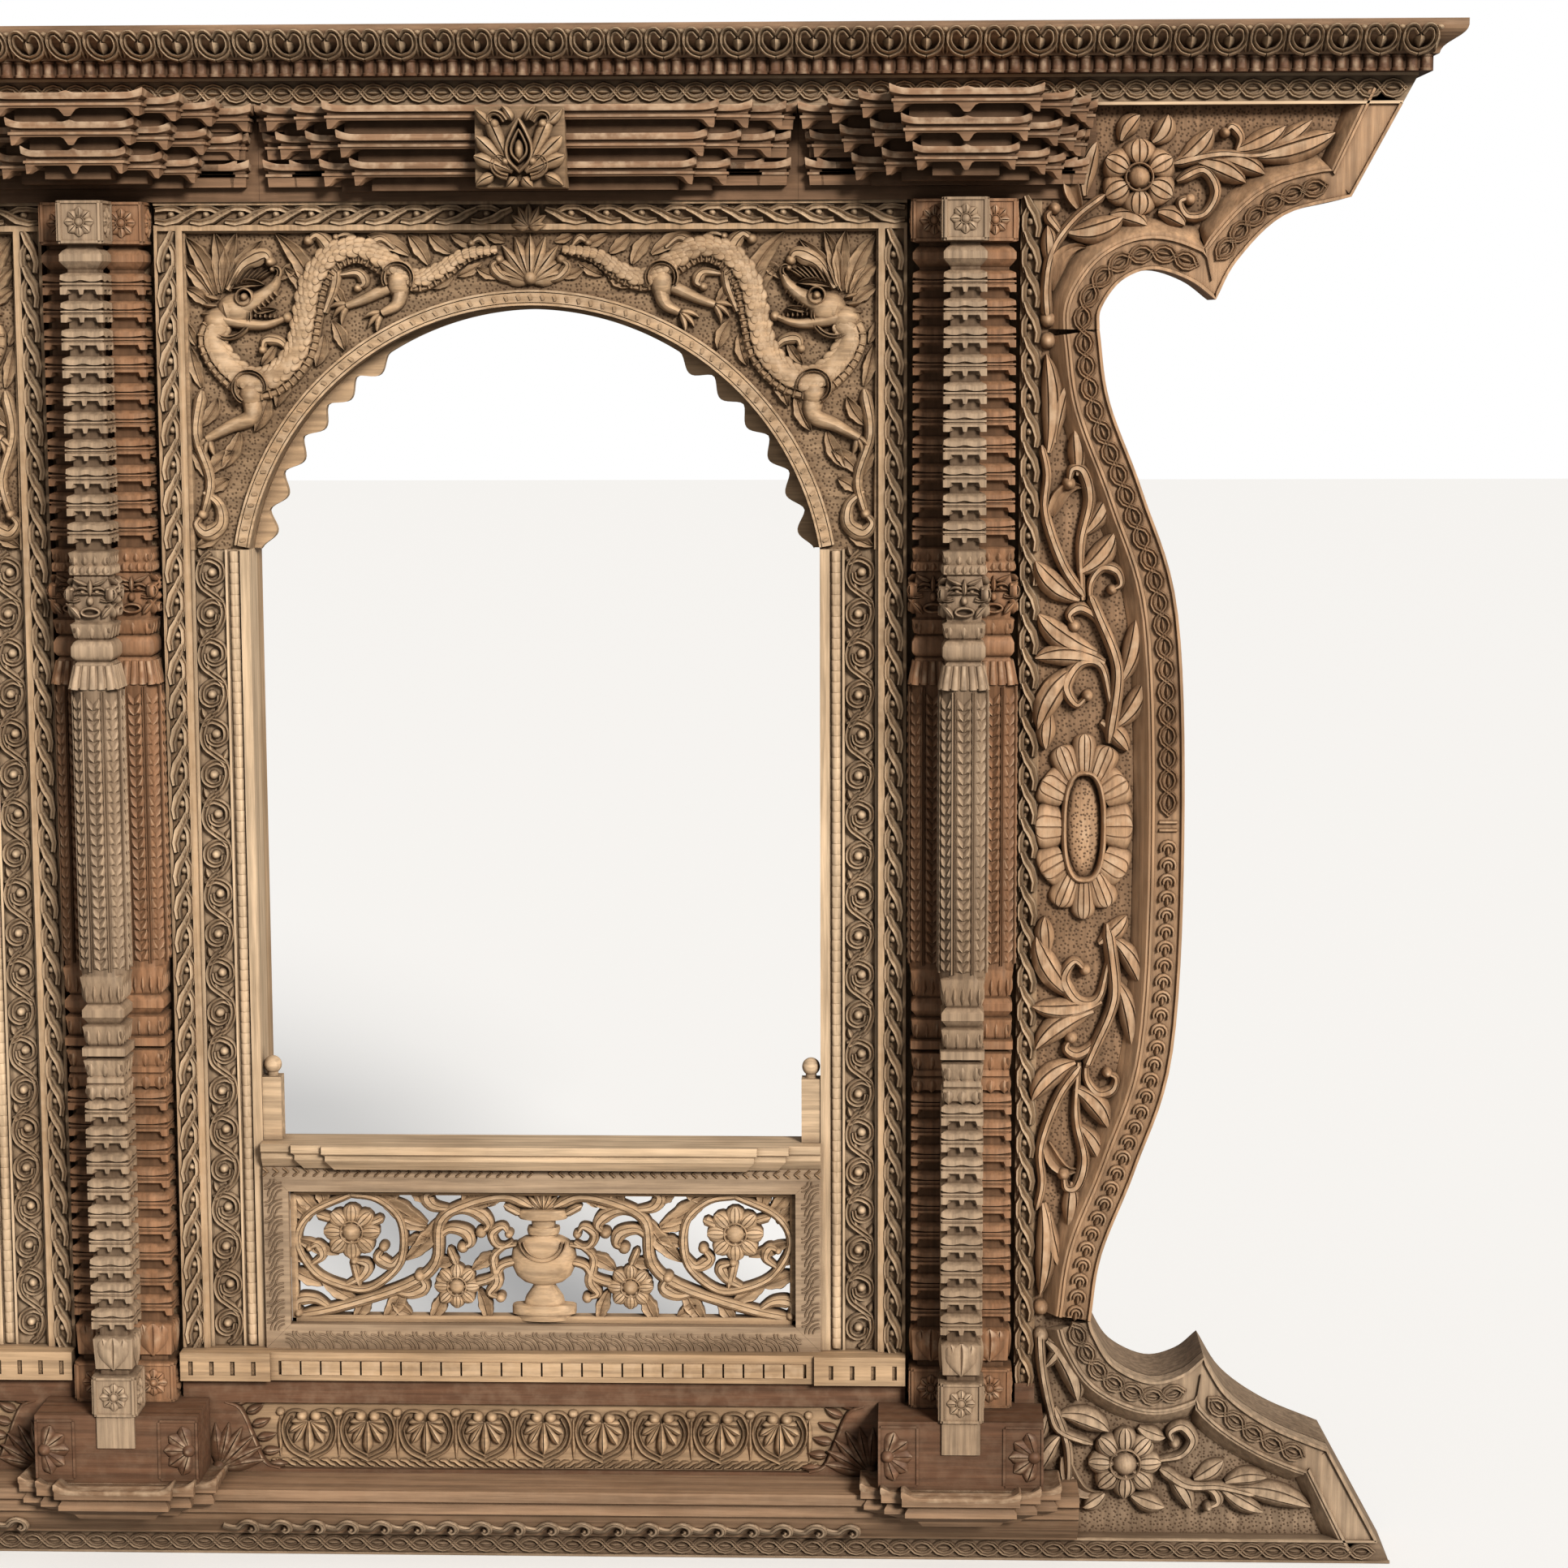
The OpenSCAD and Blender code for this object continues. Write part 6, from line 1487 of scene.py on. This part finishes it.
class WindowSizes(bpy.types.PropertyGroup):
    """Spacings of the carved rows."""
    chain: bpy.props.FloatProperty(name="Chain", description="Length of one link of the chain", default=0.028,
                                   unit="LENGTH")
    scale: bpy.props.FloatProperty(name="Scale", description="Length of one scale of the wings' lower chain",
                                   default=0.021, unit="LENGTH")
    heart: bpy.props.FloatProperty(name="Heart", description="Spacing of the crown's heart loops", default=0.045,
                                   unit="LENGTH")
    reed: bpy.props.FloatProperty(name="Reed", description="Spacing of the reeds under the crown", default=0.017,
                                  unit="LENGTH")
    wave: bpy.props.FloatProperty(name="Wave", description="Spacing of the sill's running scrolls", default=0.043,
                                  unit="LENGTH")
    rope: bpy.props.FloatProperty(name="Rope", description="Spacing of the rope strips' links", default=0.043,
                                  unit="LENGTH")
    scroll: bpy.props.FloatProperty(name="Scroll", description="Spacing of a pair of jamb scrolls", default=0.104,
                                    unit="LENGTH")
    palmette: bpy.props.FloatProperty(name="Palmette", description="Spacing of the base palmettes", default=0.076,
                                      unit="LENGTH")
    bead: bpy.props.FloatProperty(name="Bead", description="Spacing of the beads beside the opening", default=0.0136,
                                  unit="LENGTH")


class WindowColours(bpy.types.PropertyGroup):
    """Tones of the old teak; the umber tone also carries painted shade and the pale tone painted light."""
    teak: bpy.props.FloatVectorProperty(name="Teak", description="Spandrels, openwork, rope frames and dentil sills",
                                        subtype="COLOR", default=(0.58, 0.39, 0.23))
    dark_teak: bpy.props.FloatVectorProperty(name="Dark", description="Eaves and lintel beam", subtype="COLOR",
                                             default=(0.36, 0.208, 0.118))
    red_teak: bpy.props.FloatVectorProperty(name="Red", description="Flank posts", subtype="COLOR",
                                            default=(0.38, 0.195, 0.1))
    grey_teak: bpy.props.FloatVectorProperty(name="Grey",
                                             description="Front posts, lower wings, panel frames and bottom fascia",
                                             subtype="COLOR", default=(0.45, 0.32, 0.21))
    warm_teak: bpy.props.FloatVectorProperty(name="Warm", description="Upper and middle wings", subtype="COLOR",
                                             default=(0.53, 0.325, 0.185))
    brown_teak: bpy.props.FloatVectorProperty(name="Brown", description="Sill, brackets and crown moulding",
                                              subtype="COLOR", default=(0.36, 0.222, 0.132))
    # Dark umber: the base blocks' own tone, and painted shade on the reeds under the crown and on the base beam under
    # the dentil sill
    umber_and_shade_teak: bpy.props.FloatVectorProperty(name="Umber", description="Base blocks, base beam and reeds",
                                              subtype="COLOR", default=(0.17, 0.084, 0.046))
    # Pale: the handrails' bleached tone and the tone of jambs, rope strips and crown hearts, and painted light on the
    # lintel fascia and its chain where the crown's shadow falls
    pale_and_lit_teak: bpy.props.FloatVectorProperty(name="Pale", description="Handrails, jambs, rope strips and crown carving",
                                             subtype="COLOR", default=(0.74, 0.54, 0.35))
    # Dark colour of dirt and of painted shade in recesses and punched pits
    dirt_and_shade_colour: bpy.props.FloatVectorProperty(name="Dirt", description="Dirt in recesses", subtype="COLOR",
                                         default=(0.055, 0.028, 0.013))
    # Pale colour of wear and of a painted highlight on raised parts
    wear_and_highlight_colour: bpy.props.FloatVectorProperty(name="Wear", description="Pale wear on edges", subtype="COLOR",
                                        default=(0.74, 0.54, 0.36))


def row_spacing(name):
    """Spacing of a carved row in millimetres."""
    return getattr(bpy.context.scene.window_sizes, name) / MM


class WINDOW_OT_wood(bpy.types.Operator):
    """Give the plain members their weathered wood"""
    bl_idname = "window.wood"
    bl_label = "Plain Members"

    def execute(self, context):
        plain = {"teak": [f"dentil_sill_{b}" for b in BAYS] + [f"mullion_{c}" for c in COLUMNS],
                 "pale_and_lit_teak": [f"handrail_{b}" for b in BAYS], "grey_teak": [f"panel_frame_{b}" for b in BAYS],
                 "brown_teak": ["sill_moulding", "crown_moulding"], "dark_teak": ["lintel_beam"],
                 "umber_and_shade_teak": [f"base_block_{c}" for c in COLUMNS]}
        for slot, nodes in plain.items():
            for node in nodes:
                skin = wood(slot, "z" if node.startswith("mullion") else "x", carved=False)
                for place in bpy.data.objects[node].material_slots:
                    place.material = skin
        return {"FINISHED"}


class WINDOW_OT_wings(bpy.types.Operator):
    """Carve the curved wings at both ends"""
    bl_idname = "window.wings"
    bl_label = "Wings"

    def execute(self, context):
        foliage = {"upper": upper_foliage, "middle": middle_foliage, "lower": lower_foliage}
        slots = {"upper": "warm_teak", "middle": "warm_teak", "lower": "grey_teak"}
        for level, line in wing_lines().items():
            slot = slots[level]
            tracks = [even(track) for track in inset_path(line, CHAIN_INSET) if len(track) > 2]
            ground = wing_ground(level, line)
            carved = joined([foliage[level]().stretched(y=1.4), moulding(line, BORDER)])
            if level == "middle":
                ground = joined([ground, dome(152, 948, 22, 7, 3.0, 24)])
                carved = joined([carved, *wing_bars(tracks)])
            ground, carved = ground.moved(OUTER), carved.moved(OUTER)
            for side in SIDES:
                flip = Carving.mirrored if side == "left" else Carving.moved
                carve(f"{level}_wing_ground_{side}", flip(ground), wood(slot, punched=True), slot,
                      f"{level}_wing_{side}")
                carve(f"{level}_wing_foliage_{side}", flip(carved), wood(slot), slot)
            if level == "middle":
                low = [track[track[:, 1] < BAR_LEVEL - 11] for track in tracks]
                step = row_spacing("scale")
                carve_row("middle_wing_scales", scale_unit(step), wing_paths(low), step, wood(slot), slot)
                tracks = [track[track[:, 1] > BAR_LEVEL + 11] for track in tracks]
            step = row_spacing("chain")
            carve_row(f"{level}_wing_chain", chain_unit(step), wing_paths(tracks), step, wood(slot), slot)
        return {"FINISHED"}


class WINDOW_OT_posts(bpy.types.Operator):
    """Carve the clustered posts in front of the mullions"""
    bl_idname = "window.posts"
    bl_label = "Posts"

    def execute(self, context):
        front = column_post(POST_HALF, ACROSS, True).moved(y=FRONT_Y)
        flank = column_post(POST_HALF - 0.2, ACROSS_PLAIN, False)
        for name, x in COLUMN_X.items():
            carve(f"front_post_carving_{name}", front.moved(x), wood("grey_teak"), "grey_teak", f"front_post_{name}")
            pair = joined([flank.moved(x - FLANK_X, y=FLANK_Y), flank.moved(x + FLANK_X, y=FLANK_Y)])
            carve(f"flank_post_carving_{name}", pair, wood("red_teak"), "red_teak", f"flank_posts_{name}")
        return {"FINISHED"}


class WINDOW_OT_eaves(bpy.types.Operator):
    """Build the stepped eaves over columns and bays"""
    bl_idname = "window.eaves"
    bl_label = "Eaves"

    def execute(self, context):
        for name in COLUMNS:
            carve(f"column_eave_carving_{name}", column_eave(name), wood("dark_teak", "x"), "dark_teak",
                  f"column_eave_{name}")
        for name in BAYS:
            carve(f"bay_eave_carving_{name}", bay_eave(name), wood("dark_teak", "x"), "dark_teak", f"bay_eave_{name}")
            carve(f"bay_plaque_{name}", plaque().moved(BAY_X[name]), wood("teak", "x"), "dark_teak")
        return {"FINISHED"}


class WINDOW_OT_spandrels(bpy.types.Operator):
    """Carve the dragons over the arches"""
    bl_idname = "window.spandrels"
    bl_label = "Spandrels"

    def execute(self, context):
        relief = joined([both(dragon()), centre_leaf()]).moved(0, Z_HEAD, SPANDREL_Y)
        relief = joined([relief, spandrel_trim()])
        skin, punched = wood("teak", "x"), wood("teak", "x", punched=True)
        for name, x in BAY_X.items():
            carve(f"spandrel_ground_{name}", spandrel_ground().moved(x), punched, "teak", f"spandrel_{name}")
            carve(f"cusp_board_{name}", cusps().moved(x), skin, "teak", f"cusped_arch_{name}")
            carve(f"spandrel_dragons_{name}", relief.moved(x), skin, "teak")
        return {"FINISHED"}


class WINDOW_OT_lattices(bpy.types.Operator):
    """Carve the openwork panels under the handrails"""
    bl_idname = "window.lattices"
    bl_label = "Openwork Panels"

    def execute(self, context):
        panel = lattice()
        for name, x in BAY_X.items():
            carve(f"lattice_carving_{name}", panel.moved(x), wood("teak", "x"), "teak", f"lattice_panel_{name}")
        return {"FINISHED"}


class WINDOW_OT_frames(bpy.types.Operator):
    """Build the rope frames and jamb strips of the bays"""
    bl_idname = "window.frames"
    bl_label = "Bay Frames"

    def execute(self, context):
        skin, flat, pale = wood("teak"), wood("teak", "x"), wood("pale_and_lit_teak")
        rope, rope_back, scrolls, beads, chevrons, dentils, arcs = [], [], [], [], [], [], []
        mid, head = (ROPE_IN + BAY_HALF) / 2 + 2, (Z_HEAD + Z_LINTEL) / 2 + 1
        low, wide = Z_JAMB + 12, OPENING - 13
        half = OPENING - 8
        tooth = 2 * half / int(2 * half / 25)
        dentil_y = edge("dentil_sill_right", "y", 0) + 6
        for name, x in BAY_X.items():
            carve(f"rope_frame_carving_{name}", rope_frame().moved(x), skin, "teak", f"rope_frame_{name}")
            carve(f"inner_jamb_carving_{name}", jambs().moved(x), pale, "teak", f"inner_jambs_{name}")
            for side, leg, over in ((-1, rope_back, rope), (1, rope, rope_back)):
                leg.append(upright_path(x + side * mid, Z_DENTIL + 4, Z_HEAD - 4, ROPE_Y))
                over.append(rail_path(x + side * (BAY_HALF - 6), x + side * 24, head, ROPE_Y))
                scrolls.append(upright_path(x + side * (OPENING + 50), Z_JAMB + 4, Z_SPRING - 4, SCROLL_Y))
                beads.append(upright_path(x + side * (OPENING + 20), Z_JAMB + 2, Z_SPRING - 2, BEAD_Y))
                chevrons.append(rail_path(x + side * OPENING, x + side * 4, Z_RAIL - 6, 0))
                arcs.append(upright_path(x + side * wide, low + 12, Z_RAIL - 16, 0))
            arcs.append(rail_path(x - wide + 12, x + wide - 12, low, 0))
            dentils.append(rail_path(x - half + tooth / 2, x + half - tooth / 2, Z_DENTIL + 16.65, dentil_y))
        for side, leg in ((-1, rope_back), (1, rope)):
            leg.append(upright_path(side * (FRAME_END - 13), Z_DENTIL, Z_LINTEL, 1))
        cube = block(-tooth / 2 + 1.2, tooth / 2 - 1.2, -1.5, 4, -9, 9, 0.9)
        carve_row("dentil_blocks", cube, dentils, tooth, flat, "teak")
        carve_row("panel_frame_arcs", arc_unit(), arcs, 22.0, wood("grey_teak"), "teak")
        link, step = rope_unit(), row_spacing("rope")
        carve_row("rope_strips", link, rope, step, pale, "teak")
        carve_row("rope_strips_turned", link.stretched(z=-1), rope_back, step, pale, "teak")
        carve_row("jamb_scrolls", scroll_unit(), scrolls, row_spacing("scroll"), pale, "teak")
        carve_row("jamb_beads", bead_unit(), beads, row_spacing("bead"), pale, "teak")
        carve_row("rail_chevrons", chevron_unit(), chevrons, 13.0, skin, "teak")
        return {"FINISHED"}


class WINDOW_OT_base(bpy.types.Operator):
    """Carve the base beam, sill and bottom fascia"""
    bl_idname = "window.base"
    bl_label = "Base"

    def execute(self, context):
        skin, grey, umber = wood("teak", "x"), wood("grey_teak", "x"), wood("umber_and_shade_teak", "x")
        bays = BAY_X.values()
        panel = joined([block(-FRAME_END, FRAME_END, 25, BACK_Y, Z_BASE, Z_DENTIL, 0.5),
                        prism(base_face(), 0, 25, relief=0.5)])
        carve("base_panels", panel, skin, "teak")
        # The base beam's dark umber is painted shade from the dentil sill's overhang
        carve("base_beam_carving", base_boards(), umber, "teak", "base_beam")
        paths = [rail_path(x - 342, x + 342, 155, 0) for x in bays]
        carve_row("base_palmettes", palmette(), paths, row_spacing("palmette"), skin, "teak")
        strand, z = twist_unit(), PANEL_LOW + 7
        carve_row("base_rope", strand, [rail_path(x + 4, x + 350, z, 0) for x in bays], 13.0, skin, "teak")
        paths = [rail_path(x - 350, x - 4, z, 0) for x in bays]
        carve_row("base_rope_turned", strand.stretched(z=-1), paths, 13.0, skin, "teak")
        half_low = edge("bottom_fascia", "x", 1)
        half_high = half_low - FLARE * Z_SILL
        carve("bottom_fascia_board", fascia(0, Z_SILL, half_low, half_high, 3), grey, "grey_teak", "bottom_fascia")
        step = row_spacing("chain")
        paths = [rail_path(-half_high + 6, half_high - 6, Z_SILL / 2, FASCIA_GROUND)]
        carve_row("bottom_chain", chain_unit(step).stretched(z=0.86), paths, step, grey, "grey_teak")
        reach = PITCH / 2 - 128
        paths = [rail_path(x - reach, x + reach, Z_SILL + 15, -43.5) for x in bays]
        carve_row("sill_waves", wave_unit().stretched(z=1.05).leaned(-0.8), paths, row_spacing("wave"), grey,
                  "grey_teak")
        carve("bracket_lips", bracket_lips(), wood("brown_teak", "x"), "grey_teak")
        carve("base_block_flowers", block_flowers(), umber, "red_teak")
        return {"FINISHED"}


class WINDOW_OT_crown(bpy.types.Operator):
    """Carve the lintel fascia, reeds and crown"""
    bl_idname = "window.crown"
    bl_label = "Crown"

    def execute(self, context):
        pale, umber = wood("pale_and_lit_teak", "x"), wood("umber_and_shade_teak", "x")
        half_high = edge("lintel_fascia", "x", 1)
        half_low = half_high - FLARE * (Z_BEAD - Z_FASCIA)
        # Pale tone on the fascia and its chain is painted light where the crown's shadow falls
        carve("lintel_fascia_board", fascia(Z_FASCIA, Z_BEAD, half_low, half_high, 3.5, 2), pale, "teak",
              "lintel_fascia")
        step = row_spacing("chain")
        paths = [rail_path(-half_low - 2, half_low + 2, (Z_FASCIA + Z_BEAD) / 2, FASCIA_GROUND)]
        carve_row("lintel_chain", chain_unit(step), paths, step, pale, "teak")
        half, y, step = edge("bead_course", "x", 1), edge("bead_course", "y", 0) + 8, row_spacing("reed")
        # Dark umber on the reed board and reeds is painted shade from the crown's overhang
        carve("reed_board", block(-half, half, y, BACK_Y, Z_BEAD, Z_CROWN, 0.1), umber, "teak", "bead_course")
        paths = [rail_path(-half, half, (Z_BEAD + Z_CROWN) / 2, y)]
        carve_row("crown_reeds", reed_unit(step, Z_CROWN - Z_BEAD), paths, step, umber, "teak")
        reach = edge("crown_moulding", "x", 1) - 34
        paths = [rail_path(-reach, reach, Z_CROWN + 16, edge("crown_moulding", "y", 0) + 14.5)]
        carve_row("crown_hearts", heart_unit().leaned(-0.96), paths, row_spacing("heart"), pale, "teak")
        return {"FINISHED"}


def lay_floor(scene):
    """Pale floor, just under the window, that looks lighter to the camera than to the wood."""
    size, z = 30, -0.0005
    mesh = bpy.data.meshes.new("floor")
    mesh.from_pydata([(-size, -size, z), (size, -size, z), (size, size, z), (-size, size, z)], [], [(0, 1, 2, 3)])
    floor = bpy.data.objects.new("floor", mesh)
    scene.collection.objects.link(floor)
    skin = bpy.data.materials.new("pale_floor")
    skin.use_nodes = True
    tree = skin.node_tree
    face = tree.nodes["Principled BSDF"]
    seen = tree.nodes.new("ShaderNodeLightPath").outputs["Is Camera Ray"]
    tree.links.new(blend(tree, seen, FLOOR_TONE, FLOOR_SEEN), face.inputs["Base Color"])
    face.inputs["Roughness"].default_value = 0.9
    face.inputs["Emission Color"].default_value = (1, 1, 1, 1)
    tree.links.new(math_node(tree, "MULTIPLY", seen, FLOOR_GLOW), face.inputs["Emission Strength"])
    mesh.materials.append(skin)


def light_room(scene):
    """White surround, dim except to the camera, and one soft sun."""
    world = bpy.data.worlds.new("studio")
    world.use_nodes = True
    tree = world.node_tree
    back = tree.nodes["Background"]
    seen = tree.nodes.new("ShaderNodeLightPath").outputs["Is Camera Ray"]
    strength = math_node(tree, "ADD", math_node(tree, "MULTIPLY", seen, 1 - FILL), FILL)
    tree.links.new(strength, back.inputs["Strength"])
    back.inputs["Color"].default_value = (1.0, 1.0, 1.0, 1)
    scene.world = world
    key = bpy.data.lights.new("key", "SUN")
    key.energy, key.angle, key.color = SUN_POWER, SUN_SPREAD, SUN_COLOUR
    lamp = bpy.data.objects.new("key", key)
    lamp.rotation_euler = Vector(SUN_WAY).to_track_quat("-Z", "Y").to_euler()
    scene.collection.objects.link(lamp)


def place_camera(scene):
    """Camera as it stood for the photo."""
    yaw, dip, roll = (math.radians(a) for a in (CAMERA_YAW, CAMERA_DIP, CAMERA_ROLL))
    ahead = Vector((-math.sin(yaw) * math.cos(dip), math.cos(yaw) * math.cos(dip), -math.sin(dip)))
    right = Vector((math.cos(yaw), math.sin(yaw), 0))
    up = right.cross(ahead)
    right, up = right * math.cos(roll) + up * math.sin(roll), up * math.cos(roll) - right * math.sin(roll)
    lens = bpy.data.cameras.new("camera")
    lens.lens, lens.sensor_width = LENS, SENSOR
    camera = bpy.data.objects.new("camera", lens)
    turn = Matrix((right, up, -ahead)).transposed().to_4x4()
    camera.matrix_world = Matrix.Translation(CAMERA_PLACE) @ turn
    scene.collection.objects.link(camera)
    scene.camera = camera


class WINDOW_OT_stage(bpy.types.Operator):
    """Set the floor, light and camera"""
    bl_idname = "window.stage"
    bl_label = "Stage"

    def execute(self, context):
        scene = context.scene
        lay_floor(scene)
        light_room(scene)
        place_camera(scene)
        scene.view_settings.view_transform = "Standard"
        return {"FINISHED"}


STEPS = (WINDOW_OT_wood, WINDOW_OT_wings, WINDOW_OT_posts, WINDOW_OT_eaves, WINDOW_OT_spandrels, WINDOW_OT_lattices,
         WINDOW_OT_frames, WINDOW_OT_base, WINDOW_OT_crown, WINDOW_OT_stage)


class WINDOW_PT_panel(bpy.types.Panel):
    """Steps, sizes and colours of the carved window"""
    bl_idname = "WINDOW_PT_panel"
    bl_label = "Carved Window"
    bl_space_type = "VIEW_3D"
    bl_region_type = "UI"
    bl_category = "Carved Window"

    def draw(self, context):
        for step in STEPS:
            self.layout.operator(step.bl_idname)
        for group in (context.scene.window_sizes, context.scene.window_colours):
            for name in type(group).__annotations__:
                self.layout.prop(group, name)


CLASSES = (WindowSizes, WindowColours, *STEPS, WINDOW_PT_panel)


def register():
    for kind in CLASSES:
        bpy.utils.register_class(kind)
    bpy.types.Scene.window_sizes = bpy.props.PointerProperty(type=WindowSizes)
    bpy.types.Scene.window_colours = bpy.props.PointerProperty(type=WindowColours)


def unregister():
    del bpy.types.Scene.window_sizes
    del bpy.types.Scene.window_colours
    for kind in reversed(CLASSES):
        bpy.utils.unregister_class(kind)


def main():
    register()
    for step in STEPS:
        group, name = step.bl_idname.split(".")
        getattr(getattr(bpy.ops, group), name)()


if __name__ == "__main__":
    main()
